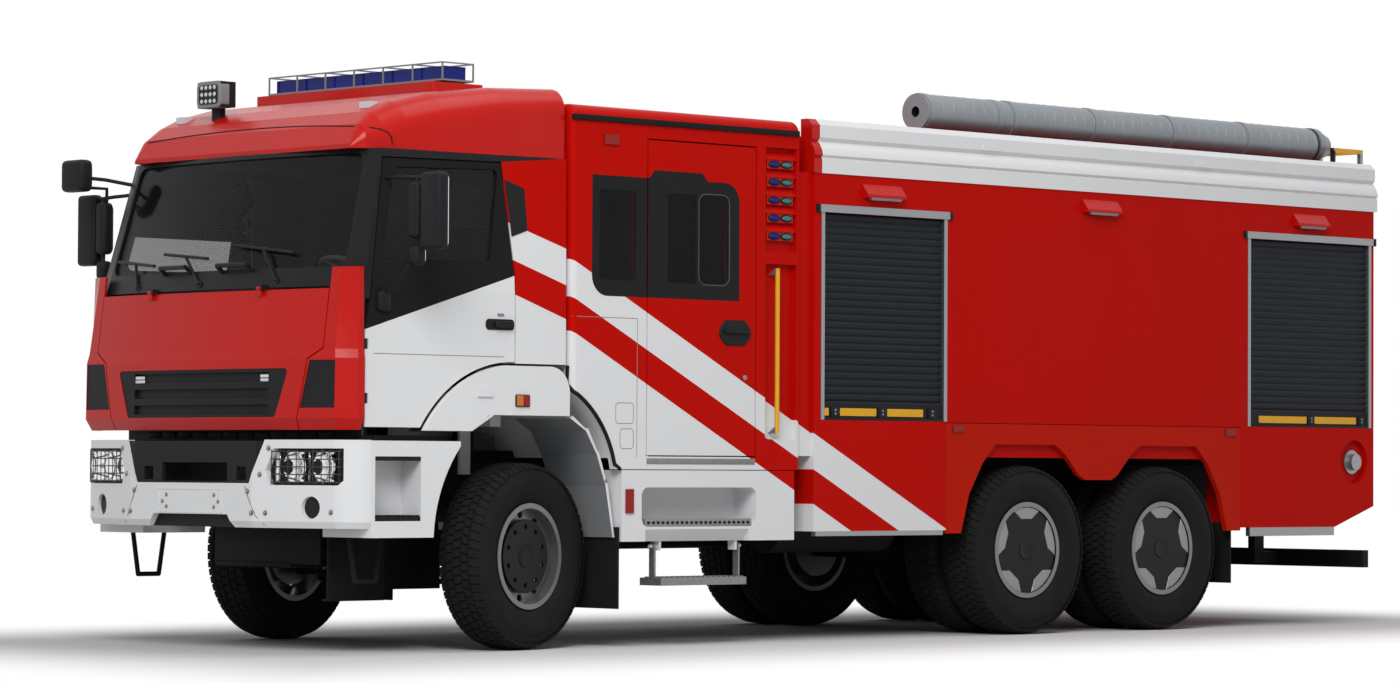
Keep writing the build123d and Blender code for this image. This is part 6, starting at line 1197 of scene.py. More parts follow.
def sill_tread(bm, hand):
    """A tread plate in the sill's niche, with studs on its top and black holes of painted shade in its
    lip.
    """
    z = SILL_TOP_Z
    side_slab(bm, hand, SILL_X, SILL_TREAD_Y, (z - SUNK, z + 0.012), 0.003)
    side_slab(bm, hand, SILL_X, SILL_LIP_Y, (z - SUNK, z + 0.046), 0.003)
    for k in range(SILL_HOLES):
        x = between((SILL_X[0] + SILL_END, SILL_X[1] - SILL_END), k / (SILL_HOLES - 1))
        hole = rounded(x - 0.013, x + 0.013, z + 0.014, z + 0.032, 0.007, 3)
        # Each hole is a black plate, painted shade for the dark inside of the hole.
        plate(bm, side_view(hand), hole, *SILL_HOLE_Y, 0.0006, 1)
        for y in SILL_ROWS_Y:
            stud(bm, hand, x, y, 0.011, 0.014, (z + 0.008, z + 0.017))


both_sides("corner_teeth", "chassis", corner_teeth, moulded_black)
both_sides("fold_studs", "fold_step_{side}", fold_studs, galvanised)
both_sides("sill_tread", "chassis", sill_tread, galvanised, moulded_black)
print("studs on each folding step:", STUDS * len(FOLD_ROWS_Y))

# %% [markdown]
# The driver's door has a black pull handle with a small tag above it, and a thin line is scored across
# its lower panel. A small amber and red marker lamp sits on the fender. A real cut would change the CAD
# solid, so the scored line is a fine grey wire whose middle lies just under the door's skin.

# %% Door handle, marker lamp and scored line
HANDLE = (FRONT_AXLE_X + 0.148, FRONT_AXLE_X + 0.350, 1.827, 1.873)
MARKER = (FRONT_AXLE_X + 0.053, FRONT_AXLE_X + 0.150, 1.390, 1.451)
MARKER_RIM = 0.005
DOOR_SEAM = [(FRONT_AXLE_X + 0.215, 1.668), (FRONT_AXLE_X + 1.235, 1.668)]
SCORE_R, SCORE_SUNK = 0.0022, 0.0005
INNER_Y = 1.1


def door_handle(bm, hand):
    """A dished plate with a grip, a lock and a tag."""
    x0, x1, z0, z1 = HANDLE
    mid = (z0 + z1) / 2
    view = side_view(hand)
    y = flank_y("cab_door_left", (x0 + x1) / 2, mid)
    dish = rounded(x0 - 0.006, x1 + 0.006, z0 - 0.008, z1 + 0.008, 0.024)
    grip = rounded(x0 + 0.010, x1 - 0.055, z0 + 0.004, z1 - 0.004, 0.016)
    tag = rounded(x0 + 0.07, x0 + 0.12, z1 + 0.025, z1 + 0.040, 0.006)
    plate(bm, view, dish, y - 0.02, y + 0.006, 0.003)
    plate(bm, view, grip, y, y + 0.026, 0.007)
    plate(bm, view, oval(x0 + 0.022, mid, 0.014, 0.014), y, y + 0.014, 0.003, 1)
    plate(bm, view, tag, y - 0.02, y + 0.004, 0.001, 1)


def side_marker(bm, hand):
    """An amber lens ahead of a red one on a dark base."""
    x0, x1, z0, z1 = MARKER
    mid = (x0 + x1) / 2
    view = side_view(hand)
    y = flank_y("front_fenders", x0, z0)
    base = rounded(x0 - MARKER_RIM, x1 + MARKER_RIM, z0 - MARKER_RIM, z1 + MARKER_RIM, 0.008)
    plate(bm, view, base, y - 0.01, y + 0.008, 0.002, 0)
    plate(bm, view, rounded(mid + 0.002, x1, z0, z1, 0.006), y, y + 0.016, 0.004, 1)
    plate(bm, view, rounded(x0, mid - 0.002, z0, z1, 0.006), y, y + 0.014, 0.004, 2)


def scored(name, hand, corners, pieces=16):
    """A thin line on a solid's flank through corners given in side view."""
    run = []
    for start, end in zip(corners, corners[1:]):
        for k in range(pieces + 1):
            x, z = (between(span, k / pieces) for span in zip(start, end))
            spot = flank_spot(name, x, z)
            if spot and spot.y > INNER_Y:
                run.append((x, hand * (spot.y - SCORE_SUNK), z))
    return run


both_sides("side_marker", "chassis", side_marker, lamp_housing, lens_amber, lens_red)
both_sides("door_handle", "cab_door_{side}", door_handle, moulded_black, moulded_grey)
for side, hand in HANDS:
    seam = scored("cab_door_left", hand, DOOR_SEAM)
    wires(f"door_seam_{side}", f"cab_door_{side}", [seam], SCORE_R, joint_grey)
print("points on the door's scored line:", len(seam))

# %% [markdown]
# A black corner piece carries the window line past the door, and the wheel arch is edged with a black
# rubber lip. Both follow edges of solids, so their points are searched for: we step along a line until
# the flank begins, and keep the place.

# %% Corner piece and arch lip
CORNER_REAR = [(FRONT_AXLE_X + 0.056, 2.632), (FRONT_AXLE_X + 0.036, 2.392)]
CORNER_FRONT_Z = (2.352, 2.675)
CORNER_SEARCH_X = FRONT_AXLE_X + 0.25
CORNER_STEP = 0.004
SKIN_SLACK = 0.012
CORNER_LIFTS = (-0.004, 0.003)
ARCH_CENTRE = (FRONT_AXLE_X + 0.014, 0.912)
ARCH_R, ARCH_SEARCH, ARCH_STEP, ARCH_STEPS = 0.647, 0.03, 0.002, 80
ARCH_POINTS, ARCH_START, ARCH_TURN = 25, 112, 3.2
ARCH_OUTER_Y = 1.2
LIP_R, LIP_SUNK = 0.012, 0.002


def corner_piece(bm, hand):
    """A thin black sheet on the shell, from the door's edge to a slanted rear edge."""
    outline = list(CORNER_REAR)
    for z in CORNER_FRONT_Z:
        x = CORNER_SEARCH_X
        skin_y = flank_y("cab_shell", CORNER_REAR[0][0], z) - SKIN_SLACK
        while (flank_spot("cab_shell", x, z) or Vector()).y < skin_y:
            x -= CORNER_STEP
        outline.append((x - CORNER_STEP, z))
    inner, outer = ([bm.verts.new((x, hand * (flank_y("cab_shell", x, z) + lift), z)) for x, z in outline]
                    for lift in CORNER_LIFTS)
    bm.faces.new(inner)
    bm.faces.new(outer)
    for i in range(len(outline)):
        j = (i + 1) % len(outline)
        bm.faces.new((inner[i], inner[j], outer[j], outer[i]))


def arch_lip(hand):
    """Points along the crew module's arch, found where its flank begins outside the wheel's circle."""
    run = []
    for k in range(ARCH_POINTS):
        angle = radians(ARCH_START + k * ARCH_TURN)
        for step in range(ARCH_STEPS):
            radius = ARCH_R - ARCH_SEARCH + step * ARCH_STEP
            x = ARCH_CENTRE[0] + radius * cos(angle)
            z = ARCH_CENTRE[1] + radius * sin(angle)
            spot = flank_spot("crew_shell", x, z)
            if spot and spot.y > ARCH_OUTER_Y:
                run.append((x, hand * (spot.y - LIP_SUNK), z))
                break
    return run


both_sides("corner_piece", "chassis", corner_piece, black_trim)
for side, hand in HANDS:
    wires(f"arch_lip_{side}", "chassis", [arch_lip(hand)], LIP_R, rubber)
print("points on the arch lip:", len(arch_lip(1)))

# %% [markdown]
# Behind the crew door, five pairs of blue and green flashing lenses sit under little hoods. Each lens is
# a small oval dome on a black oval rim.

# %% Niche lamps
NICHE_LAMPS = (2.882, 2.775, 2.666, 2.560, 2.450)
NICHE_X = CREW_REAR_X + 0.149
HOOD_TO_LENS = 0.014
LENS_OFF = 0.052


def niche_lenses(bm, hand):
    """A blue and a green lens under each hood, with a small bridge between them."""
    view = side_view(hand)
    y = flank_y("lamps", NICHE_X, NICHE_LAMPS[0] - HOOD_TO_LENS)
    for hood_z in NICHE_LAMPS:
        z = hood_z - HOOD_TO_LENS
        for x, slot in ((NICHE_X + LENS_OFF, 1), (NICHE_X - LENS_OFF, 2)):
            plate(bm, view, oval(x, z, 0.049, 0.0225), y - SUNK, y + 0.007, 0.003, 0)
            plate(bm, view, oval(x, z, 0.039, 0.0155), y, y + 0.015, 0.007, slot)
        bridge = rounded(NICHE_X - 0.02, NICHE_X + 0.02, z - 0.008, z + 0.008, 0.006)
        plate(bm, view, bridge, y - SUNK, y + 0.005, 0.002, 0)


both_sides("niche_lenses", "chassis", niche_lenses, moulded_black, lens_blue, lens_teal)
print("lenses on each side:", 2 * len(NICHE_LAMPS))

# %% [markdown]
# The crew door has an eight-sided black handle plate with a bar across it and a lock below, and a slim
# grey frame round the sliding pane. They ride on the door.

# %% Crew door trim
LATCH = (FRONT_AXLE_X - 1.710, FRONT_AXLE_X - 1.450, 1.772, 1.924)
LATCH_CUT = 0.052
SLIDER = (FRONT_AXLE_X - 1.530, FRONT_AXLE_X - 1.278, 2.124, 2.661)
SLIDER_CORNER, SLIDER_WIRE_R, SLIDER_LIFT = 0.055, 0.0035, 0.001
SLIDER_PROBE = (SLIDER[0] + 0.03, 2.4)


def crew_latch(bm, hand):
    """An eight-sided plate with a hollow, a bar and a lock."""
    x0, x1, z0, z1 = LATCH
    cut = LATCH_CUT
    view = side_view(hand)
    y = flank_y("crew_door_left", (x0 + x1) / 2, (z0 + z1) / 2)
    outline = [(x0, z0 + cut), (x0 + cut, z0), (x1 - cut, z0), (x1, z0 + cut),
               (x1, z1 - cut), (x1 - cut, z1), (x0 + cut, z1), (x0, z1 - cut)]
    hollow = rounded(x0 + cut, x1 - cut, z0 + 0.090, z1 - 0.014, 0.02)
    plate(bm, view, outline, y - 0.02, y + 0.009, 0.006)
    plate(bm, view, hollow, y, y + 0.011, 0.001, 1)
    side_slab(bm, hand, (x0 + 0.035, x1 - 0.035), (y + 0.004, y + 0.026), (z0 + 0.070, z0 + 0.092), 0.006)
    plate(bm, view, oval(x0 + 0.045, z0 - 0.19, 0.016, 0.016), y - 0.02, y + 0.006, 0.003, 2)


def slider_frame(hand):
    """A closed run round the sliding pane."""
    y = flank_y("crew_door_glass_left", *SLIDER_PROBE) + SLIDER_LIFT
    run = [(x, hand * y, z) for x, z in rounded(*SLIDER, SLIDER_CORNER)]
    return run + run[:1]


both_sides("crew_latch", "crew_door_{side}", crew_latch, moulded_black, black_trim, steel_bolt)
for side, hand in HANDS:
    wires(f"slider_frame_{side}", f"crew_door_{side}", [slider_frame(hand)], SLIDER_WIRE_R, engine_grey)
print("crew door handle plate:", round(LATCH[1] - LATCH[0], 3), "m wide")

# %% [markdown]
# On the crew module's shell a black drip strip runs under the roof edge and a grey one under the door.
# Thin scored lines mark the hatch ahead of the door, and bolts hold the fender's guard.

# %% Crew module trim
DRIP_Z = (3.044, 3.078)
DRIP_PROBE = (CREW_REAR_X + 0.5, 3.050)
DRIP_END = 0.004
FOOT_X = (FRONT_AXLE_X - 1.750, FRONT_AXLE_X - 0.867)
FOOT_Z = (1.066, 1.100)
FOOT_PROBE = (FRONT_AXLE_X - 1.235, 1.08)
HATCH_X = FRONT_AXLE_X - 0.788
HATCH_SEAM = [(FRONT_AXLE_X - 0.285, 1.912), (HATCH_X, 1.912), (HATCH_X, 1.105)]
FIELD_X = FRONT_AXLE_X - 0.760
HATCH_FIELDS = [(FIELD_X, FIELD_X + 0.140, 1.300, 1.420), (FIELD_X, FIELD_X + 0.105, 1.155, 1.270)]
FIELD_CORNER = 0.02
GUARD_BOLTS = [  # from the front axle, up
    (-0.344, 1.364), (-0.488, 1.180), (-0.580, 0.968), (-0.655, 0.636),
]
GUARD_BOLT_R = 0.008


def drip_strip(bm, hand):
    """A strip under the roof edge."""
    y = flank_y("crew_shell", *DRIP_PROBE)
    side_slab(bm, hand, (CREW_REAR_X + DRIP_END, CREW_FRONT_X - DRIP_END), (y - 0.02, y + 0.013), DRIP_Z)


def door_foot(bm, hand):
    """A strip under the crew door."""
    y = flank_y("crew_shell", *FOOT_PROBE)
    side_slab(bm, hand, FOOT_X, (y - 0.01, y + 0.003), FOOT_Z, 0.002)


def hatch_lines(hand):
    """The hatch seam ahead of the crew door, and two pressed fields under it."""
    fields = [rounded(*field, FIELD_CORNER) for field in HATCH_FIELDS]
    runs = [scored("crew_shell", hand, HATCH_SEAM)]
    runs += [scored("crew_shell", hand, field + field[:1], 2) for field in fields]
    return [run for run in runs if len(run) > 1]


def guard_bolts(bm, hand):
    """Bolts down the rear edge of the fender's guard, where the guard is met."""
    for off, z in GUARD_BOLTS:
        x = FRONT_AXLE_X + off
        spot = flank_spot("front_guards", x, z)
        if spot:
            bolt(bm, side_view(hand), x, z, spot.y, GUARD_BOLT_R)


both_sides("guard_bolts", "chassis", guard_bolts, steel_bolt)
both_sides("drip_strip", "chassis", drip_strip, rubber)
both_sides("door_foot", "chassis", door_foot, joint_grey)
for side, hand in HANDS:
    wires(f"hatch_lines_{side}", "chassis", hatch_lines(hand), SCORE_R, joint_grey)
print("scored runs at the hatch:", len(hatch_lines(1)))

# %% [markdown]
# Each roller shutter ends in a black bar with yellow reflecting inserts, held by knuckles with two
# screws, above a slim lower rail. The aluminium head rails end in black caps. All of it is laid out by
# shares of the opening.

# %% Shutter bars
OPENINGS = [  # front and rear end, then the ends of each insert as shares of the width
    ((0.828, -0.290), ((0.022, 0.072), (0.161, 0.444), (0.533, 0.818))),
    ((-3.237, -4.575), ((0.100, 0.480), (0.545, 0.885))),
]
BAR_PROBE_Z = 1.39
INSERT_Z = (1.366, 1.413)
KNUCKLE_Z, KNUCKLE_HALF, KNUCKLE_LIFT = (1.356, 1.420), 0.034, 0.012
LAST_KNUCKLE = 0.05
SCREWS_Z, SCREW_R = (1.378, 1.400), 0.005
LOWER_RAIL_Z, LOWER_RAIL_END = (1.338, 1.356), 0.034
HEAD_Z, HEAD_OFF, HEAD_HALF = (2.597, 2.649), 0.030, 0.014


def shutter_bar(bm, hand):
    """The inserts, knuckles, lower rail and head caps of both shutters on a side."""
    view = side_view(hand)
    for (x0, x1), inserts in OPENINGS:
        y = flank_y("shutters", (x0 + x1) / 2, BAR_PROBE_Z)
        spots = [between((x0, x1), share) for pair in inserts for share in pair]
        for a, b in zip(spots[::2], spots[1::2]):
            plate(bm, view, rounded(b, a, *INSERT_Z, 0.003, 2), y - SUNK, y + 0.004, 0.001, 1)
        for a, b in zip(spots[1::2], spots[2::2] + [x1 + LAST_KNUCKLE]):
            mid = (a + b) / 2
            face = y + KNUCKLE_LIFT
            side_slab(bm, hand, (mid - KNUCKLE_HALF, mid + KNUCKLE_HALF), (y - SUNK, face), KNUCKLE_Z)
            for z in SCREWS_Z:
                bolt(bm, view, mid, z, face, SCREW_R, 2)
        rail = (x1 + LOWER_RAIL_END, x0 - LOWER_RAIL_END)
        side_slab(bm, hand, rail, (y - 0.006, y + 0.014), LOWER_RAIL_Z, 0.006)
        for x in (x0 + HEAD_OFF, x1 - HEAD_OFF):
            ends = (x - HEAD_HALF, x + HEAD_HALF)
            side_slab(bm, hand, ends, (SIDE_Y - 0.002, SIDE_Y + 0.015), HEAD_Z, 0.003)


both_sides("shutter_bars", "chassis", shutter_bar, moulded_black, yellow_coat, steel_bolt)
print("shutter bars for", len(OPENINGS), "openings on each side")

# %% [markdown]
# The white cornice along the body ends in a short red cap at the front, which is paint, so its coat asks
# for the object's X. Two bare white tabs sit on it. Under each red lamp hood a bright strip of diodes
# shows.

# %% Cornice and lamp hoods
CAP_X = BODY_FRONT_X - 0.055
TABS_X, TAB_HALF, TAB_Z = (-0.71, -2.80), 0.085, (3.052, 3.088)
HOODS_X, HOOD_HALF, HOOD_STRIP_Z = (0.299, -1.733, -3.892), 0.135, (2.692, 2.7035)
DIODES, DIODE_START, DIODE_PITCH, DIODE_HALF = 9, -0.112, 0.028, 0.009
DIODE_Z = (2.6885, 2.694)


def capped_coat(name, base, cap, limit):
    """A coat that turns to another colour forward of a place along the truck."""
    finish = coat(name, base, 0.25, gloss=0.25, drift=0.04)
    tree = finish.node_tree
    shader = tree.nodes["Principled BSDF"]
    forward = math_node(tree, "GREATER_THAN", axes_of(tree)["X"], limit)
    colour = lay_over(tree, shader.inputs["Base Color"].links[0].from_socket, cap, forward)
    tree.links.new(colour, shader.inputs["Base Color"])
    return finish


def cornice_tabs(bm, hand):
    """Two bare tabs on the cornice."""
    for x in TABS_X:
        y = flank_y("cornices", x, sum(TAB_Z) / 2)
        tab = rounded(x - TAB_HALF, x + TAB_HALF, *TAB_Z, 0.008, 3)
        plate(bm, side_view(hand), tab, y - 0.02, y + 0.005, 0.002)


def hood_strip(bm, hand):
    """A strip under each hood with a row of diodes."""
    for x in HOODS_X:
        strip_y = (SIDE_Y + 0.022, SIDE_Y + 0.0465)
        side_slab(bm, hand, (x - HOOD_HALF, x + HOOD_HALF), strip_y, HOOD_STRIP_Z, 0.003, 0)
        for k in range(DIODES):
            a = x + DIODE_START + k * DIODE_PITCH
            diode_y = (SIDE_Y + 0.026, SIDE_Y + 0.043)
            side_slab(bm, hand, (a - DIODE_HALF, a + DIODE_HALF), diode_y, DIODE_Z, 0.002, 1)


dress("cornices", capped_coat("cornice_coat", WHITE, RED, CAP_X))
both_sides("cornice_tabs", "chassis", cornice_tabs, lens_white)
both_sides("hood_strips", "chassis", hood_strip, moulded_grey, lens_white)
print("hoods on each side:", len(HOODS_X))

# %% [markdown]
# The long grey tube on the roof holds suction hoses. It is wound from sheet, so fine ribs run round it
# about every ten centimetres. They are turned rings that stand one and a half millimetres proud, with a
# broad grey strap near the front and two dark ones at the rear.

# %% Ribs on the hose tube
TUBE_X = (-0.36, -4.20)
RIB_PITCH = 0.096
RIB_FOOT, RIB_CREST, RIB_LIFT = 0.004, 0.0015, 0.0015
STRAP_LIFT = 0.003
RING_SUNK, RING_SEGMENTS = 0.002, 40
STRAPS = [(-1.0, 0.026, 0), (-4.235, 0.007, 1), (-4.262, 0.007, 1)]  # place, half width, finish


def tube_ring(bm, x, foot, crest, lift, slot):
    """A ring round the tube, from half widths at its foot and its crest."""
    low, high = TUBE_R - RING_SUNK, TUBE_R + lift
    profile = [(-foot, low), (-crest, high), (crest, high), (foot, low)]
    turned(bm, Vector((x, TUBE_Y, TUBE_Z)), Vector((-1, 0, 0)), profile, RING_SEGMENTS, slot)


def tube_ribs(bm):
    """Fine ribs along the tube and three straps."""
    count = int((TUBE_X[0] - TUBE_X[1]) / RIB_PITCH)
    for k in range(count + 1):
        tube_ring(bm, TUBE_X[0] - k * RIB_PITCH, RIB_FOOT, RIB_CREST, RIB_LIFT, 0)
    for x, half, slot in STRAPS:
        tube_ring(bm, x, half, half, STRAP_LIFT, slot)


joined("tube_ribs", "chassis", tube_ribs, tube_grey, moulded_black)
print("ribs from", TUBE_X[0], "to", TUBE_X[1])

# %% [markdown]
# The mirrors have plump moulded heads. The CAD heads are plain blocks, so pieces with broad soft edges
# stand for them, on the same arms, and each head has a flat mirror glass at the back. They ride on the
# doors. The right-hand side has one more head, further forward.

# %% Mirrors
MIRROR_X = FRONT_AXLE_X + 1.055
HEADS = [  # across and up
    ((1.505, 1.675), (2.235, 2.660)),
    ((1.400, 1.490), (2.300, 2.610)),
    ((1.405, 1.485), (2.150, 2.262)),
]
HEAD_DEPTH_HALF = 0.04
KERB_HEAD = ((1.290, 1.500), (2.660, 2.850))
KERB_X = (MIRROR_X + 0.19, MIRROR_X + 0.29)
MIRROR_FOOT_X, MIRROR_FOOT_HALF = FRONT_AXLE_X + 1.110, 0.045
MIRROR_FOOT_Y, MIRROR_FOOT_Z = (1.185, 1.250), (1.900, 2.010)
GLASS_LIFT = 0.0015
ARM_R = 0.011


def mirror_glass(bm, hand, head, rim, corner, back_x):
    """A flat glass on the back of a head, inset by its rims across and up."""
    (y0, y1), (z0, z1) = head
    view = Vector((0, hand, 0)), Vector((0, 0, 1)), Vector((-1, 0, 0))
    outline = rounded(y0 + rim[0], y1 - rim[0], z0 + rim[1], z1 - rim[1], corner)
    plate(bm, view, outline, -back_x - 0.01, -back_x + GLASS_LIFT, 0.002, 1)


def mirror_heads(bm, hand):
    """The heads of one side and the foot of their arm."""
    xs = (MIRROR_X - HEAD_DEPTH_HALF, MIRROR_X + HEAD_DEPTH_HALF)
    for head in HEADS:
        side_slab(bm, hand, xs, *head, 0.026, 0, 4)
        mirror_glass(bm, hand, head, (0.012, 0.014), 0.022, xs[0])
    if hand < 0:
        side_slab(bm, hand, KERB_X, *KERB_HEAD, 0.032, 0, 4)
        mirror_glass(bm, hand, KERB_HEAD, (0.02, 0.02), 0.03, KERB_X[0])
    foot_x = (MIRROR_FOOT_X - MIRROR_FOOT_HALF, MIRROR_FOOT_X + MIRROR_FOOT_HALF)
    side_slab(bm, hand, foot_x, MIRROR_FOOT_Y, MIRROR_FOOT_Z, 0.018, 0, 3)


def mirror_arms(hand):
    """The bent tubes that carry the heads."""
    x = MIRROR_X
    runs = [
        [(FRONT_AXLE_X + 1.030, 1.150, 2.648), (x, 1.35, 2.640), (x, 1.55, 2.630)],
        [(MIRROR_FOOT_X, 1.200, 1.960), (x + 0.02, 1.40, 2.150), (x, 1.450, 2.200), (x, 1.450, 2.640)],
        [(x, 1.440, 2.450), (x, 1.56, 2.450)],
        [(x, 1.440, 2.390), (x, 1.56, 2.390)],
    ]
    if hand < 0:
        kerb_x = x + 0.20
        runs.append([(x, 1.424, 2.560), (x, 1.424, 2.692), (kerb_x, 1.424, 2.692)])
        runs.append([(FRONT_AXLE_X + 1.040, 1.160, 2.700), (x + 0.10, 1.300, 2.735),
                     (kerb_x, 1.360, 2.745)])
    return [[(px, hand * py, pz) for px, py, pz in run] for run in runs]


for side, hand in HANDS:
    door = f"cab_door_{side}"
    heads = joined(f"mirror_heads_{side}", door, lambda bm: mirror_heads(bm, hand),
                   moulded_black, mirror_face)
    arms = wires(f"mirror_arms_{side}", door, mirror_arms(hand), ARM_R, moulded_black)
    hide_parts(f"mirror_{side}")
    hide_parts(f"mirror_{side}")
print("mirror heads on each side:", len(HEADS), "and one more on the right")

# %% [markdown]
# On the roof's front edge a search lamp looks ahead: a rounded grey frame round a dark face with three
# rows of diodes. The grille carries two small clear lights.

# %% Search lamp and grille lights
SEARCH = (-0.655, -0.435, 3.135, 3.285)
SEARCH_X = FRONT_AXLE_X + 0.970
SEARCH_ROWS = (0.036, 0.076, 0.116)
SEARCH_COLUMNS, SEARCH_START, SEARCH_PITCH, SEARCH_DIODE_R = 4, 0.050, 0.040, 0.014
GRILLE_LIGHTS_Y, GRILLE_LIGHT_Z, GRILLE_LENSES_Z = (-0.58, 0.58), (1.512, 1.558), (1.524, 1.546)
GRILLE_LENS_HALF = 0.0085


def search_face(bm):
    """A frame, a dark face and rows of round diodes."""
    y0, y1, z0, z1 = SEARCH
    border = rounded(y0 - 0.004, y1 + 0.004, z0 - 0.004, z1 + 0.004, 0.035)
    face = rounded(y0 + 0.020, y1 - 0.020, z0 + 0.018, z1 - 0.018, 0.022)
    plate(bm, NOSE_VIEW, border, SEARCH_X - 0.06, SEARCH_X + 0.006, 0.006, 0)
    plate(bm, NOSE_VIEW, face, SEARCH_X, SEARCH_X + 0.009, 0.002, 1)
    for row in SEARCH_ROWS:
        for k in range(SEARCH_COLUMNS):
            y = y0 + SEARCH_START + k * SEARCH_PITCH
            diode = oval(y, z0 + row, SEARCH_DIODE_R, SEARCH_DIODE_R, 12)
            plate(bm, NOSE_VIEW, diode, SEARCH_X + 0.006, SEARCH_X + 0.013, 0.005, 2)


def grille_lights(bm):
    """Two small lights, each with two flat lenses."""
    for y in GRILLE_LIGHTS_Y:
        x = nose_x("grille", y, sum(GRILLE_LIGHT_Z) / 2)
        base = rounded(y - 0.052, y + 0.052, *GRILLE_LIGHT_Z, 0.008)
        plate(bm, NOSE_VIEW, base, x - 0.02, x + 0.008, 0.002, 0)
        for z in GRILLE_LENSES_Z:
            lens = rounded(y - 0.044, y + 0.044, z - GRILLE_LENS_HALF, z + GRILLE_LENS_HALF, 0.005)
            plate(bm, NOSE_VIEW, lens, x, x + 0.012, 0.003, 1)


joined("search_lamp_face", "chassis", search_face, moulded_grey, lamp_housing, lens_clear)
joined("grille_lights", "front_panel", grille_lights, moulded_black, lens_white)
print("diodes in the search lamp:", len(SEARCH_ROWS) * SEARCH_COLUMNS)

# %% [markdown]
# A dark seam crosses the roof behind the forehead and turns down to the doors. Across the front its
# height follows a shallow parabola and its depth comes from the roof's skin. At the corner its few points
# are given.

# %% Roof seam
SEAM_Y = (0.0, 0.952)
SEAM_Z = (2.974, 2.939)
SEAM_PIECES = 16
SEAM_R, SEAM_SUNK = 0.0045, 0.001
SEAM_CORNER = [  # from the front axle
    (1.059, 1.041, 2.931), (1.010, 1.069, 2.923), (0.971, 1.086, 2.906), (0.950, 1.093, 2.881),
    (0.943, 1.093, 2.840),
]


def seam_run():
    """The seam from the right-hand door over the front to the left-hand door."""
    run = []
    for k in range(SEAM_PIECES + 1):
        share = k / SEAM_PIECES
        y, z = between(SEAM_Y, share), between(SEAM_Z, share ** 2)
        run.append((nose_x("cab_roof", y, z) - SEAM_SUNK, y, z))
    run += [(FRONT_AXLE_X + x, y, z) for x, y, z in SEAM_CORNER]
    return [(x, -y, z) for x, y, z in reversed(run[1:])] + run


wires("roof_seam", "chassis", [seam_run()], SEAM_R, rubber)
print("points on the roof seam:", len(seam_run()))

# %% [markdown]
# Seats are sewn covers over foam. Each cushion starts as a finely divided box. A cube-to-ball blend pulls
# its sides in between the corners and crowns its top, and a shallow groove marks each sewn channel. The
# cloth is a dark weave: two fine waves at right angles feed the Bump node.

# %% Cloth and cushions
CHANNEL_DEPTH = 0.0055
CHANNEL_NARROW = 16
BALL_SHARE = 0.34
CUSHION_CUTS = 23
WEAVE_SCALE, WEAVE_STRENGTH, WEAVE_DEPTH = 180, 0.5, 0.001


def seat_cloth():
    """Dark cloth with a fine weave in its bump."""
    finish = coat("seat_cloth", (0.030, 0.031, 0.034), 0.9, gloss=0.15, drift=0.25, drift_scale=14)
    tree = finish.node_tree
    place = tree.nodes.new("ShaderNodeTexCoord")
    threads = []
    for way in ("X", "Z"):
        wave = tree.nodes.new("ShaderNodeTexWave")
        wave.bands_direction = way
        wave.inputs["Scale"].default_value = WEAVE_SCALE
        tree.links.new(place.outputs["Object"], wave.inputs["Vector"])
        threads.append(wave.outputs["Fac"])
    bump = tree.nodes.new("ShaderNodeBump")
    bump.inputs["Strength"].default_value = WEAVE_STRENGTH
    bump.inputs["Distance"].default_value = WEAVE_DEPTH
    tree.links.new(math_node(tree, "ADD", *threads), bump.inputs["Height"])
    tree.links.new(bump.outputs["Normal"], tree.nodes["Principled BSDF"].inputs["Normal"])
    return finish


def on_ball(x, y, z):
    """The point of a round ball that a point of the cube from -1 to 1 maps to."""
    return Vector((x * (1 - y * y / 2 - z * z / 2 + y * y * z * z / 3) ** 0.5,
                   y * (1 - x * x / 2 - z * z / 2 + x * x * z * z / 3) ** 0.5,
                   z * (1 - x * x / 2 - y * y / 2 + x * x * y * y / 3) ** 0.5))


def cushion(bm, low, high, channels):
    """A crowned pad between two corners, with sewn channels across its width."""
    low, high = Vector(low), Vector(high)
    half = (high - low) / 2
    bmesh.ops.create_cube(bm, size=2)
    bmesh.ops.subdivide_edges(bm, edges=bm.edges[:], cuts=CUSHION_CUTS, use_grid_fill=True)
    for vert in bm.verts:
        across = vert.co.y
        spot = vert.co.lerp(on_ball(*vert.co), BALL_SHARE)
        groove = max([0.0] + [1 - abs(across - share) * CHANNEL_NARROW for share in channels])
        sink = Vector(a / b for a, b in zip(spot, half)).normalized() * (CHANNEL_DEPTH * groove)
        vert.co = (low + high) / 2 + Vector(a * b for a, b in zip(spot, half)) - sink


cloth = seat_cloth()
print("cloth is ready:", cloth.name)

# %% [markdown]
# The cab has two seats with headrests, and the crew module has a bench across its back wall. Together
# with their plain bases they stand for the CAD seats in pictures.

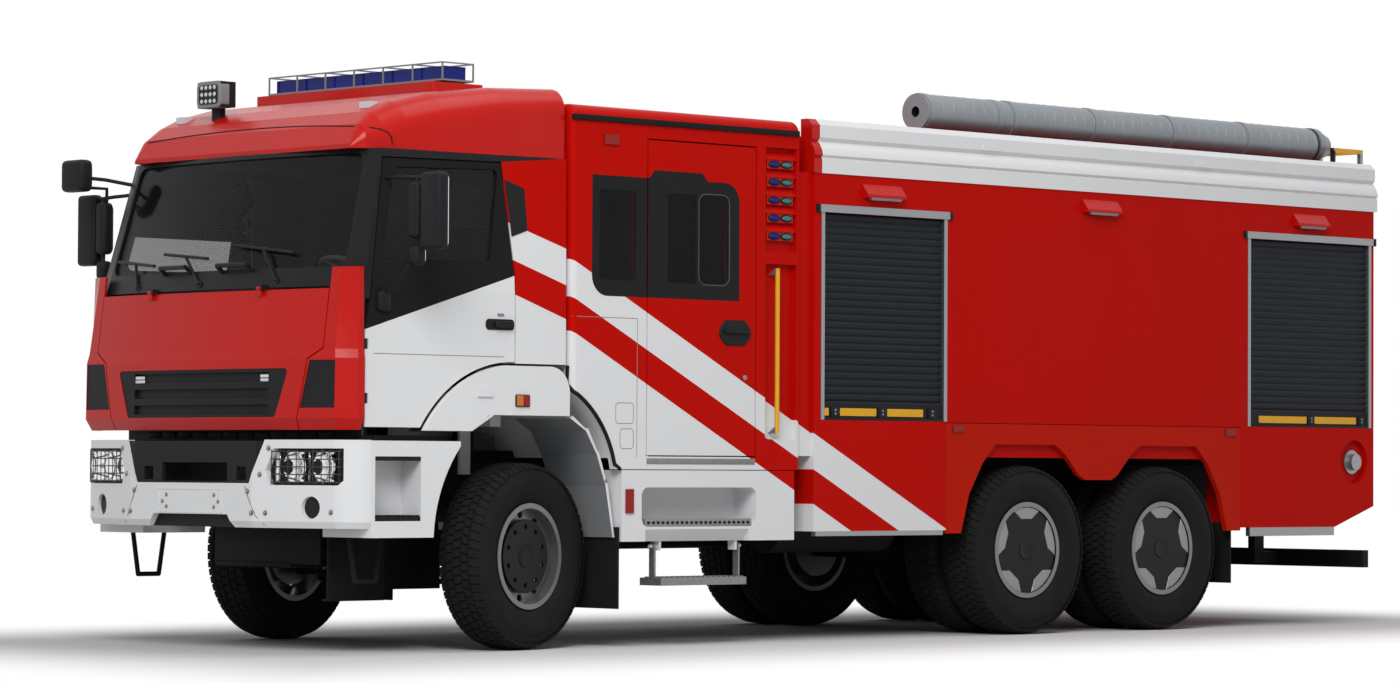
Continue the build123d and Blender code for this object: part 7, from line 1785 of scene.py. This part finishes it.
# %% Seats
SEAT_Y, SEAT_HALF, HEADREST_INSET = 0.62, 0.24, 0.10
SEAT_CHANNELS = (-0.55, 0.55)
BENCH_CHANNELS = (-0.5, 0.0, 0.5)
BENCH_HALF, BENCH_BASE_HALF = 1.0, 0.99
BASE_HALF = 0.18
POSTS_OFF, POST_HALF = (-0.06, 0.06), 0.007


def pad_spans():
    """Every pad's name with its spans along, across and up, and its channels."""
    spans = []
    for side, hand in HANDS:
        y0, y1 = hand * SEAT_Y - SEAT_HALF, hand * SEAT_Y + SEAT_HALF
        rest_y = (y0 + HEADREST_INSET, y1 - HEADREST_INSET)
        spans += [
            (f"seat_squab_{side}", FRONT_AXLE_X, (-0.12, 0.42), (y0, y1), (1.825, 1.962), SEAT_CHANNELS),
            (f"seat_back_{side}", FRONT_AXLE_X, (-0.182, -0.058), (y0, y1), (1.90, 2.482), SEAT_CHANNELS),
            (f"headrest_{side}", FRONT_AXLE_X, (-0.162, -0.078), rest_y, (2.498, 2.682), ()),
        ]
    bench_y = (-BENCH_HALF, BENCH_HALF)
    spans += [
        ("bench_squab", CREW_REAR_X, (0.055, 0.532), bench_y, (1.455, 1.602), BENCH_CHANNELS),
        ("bench_back", CREW_REAR_X, (0.052, 0.182), bench_y, (1.60, 2.352), BENCH_CHANNELS),
    ]
    return spans


def seat_bases(bm):
    """Boxes under the seats and the bench, and the headrests' posts."""
    for hand in (1, -1):
        y = hand * SEAT_Y
        axle_slab(bm, (-0.06, y - BASE_HALF, 1.678), (0.30, y + BASE_HALF, 1.832), 0.02, 0, 3)
        for off in POSTS_OFF:
            low, high = y + off - POST_HALF, y + off + POST_HALF
            axle_slab(bm, (-0.126, low, 2.46), (-0.112, high, 2.52))
    bench_low = (CREW_REAR_X + 0.052, -BENCH_BASE_HALF, 1.152)
    slab(bm, bench_low, (CREW_REAR_X + 0.50, BENCH_BASE_HALF, 1.462), 0.02, 0, 3)


for name, station, (x0, x1), (y0, y1), (z0, z1), channels in pad_spans():
    low, high = (station + x0, y0, z0), (station + x1, y1, z1)
    pad = joined(name, "chassis", lambda bm: cushion(bm, low, high, channels), cloth)
    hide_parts("seats")
bases = joined("seat_bases", "chassis", seat_bases, moulded_black)
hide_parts("seats")
print("seat pads:", len(pad_spans()))
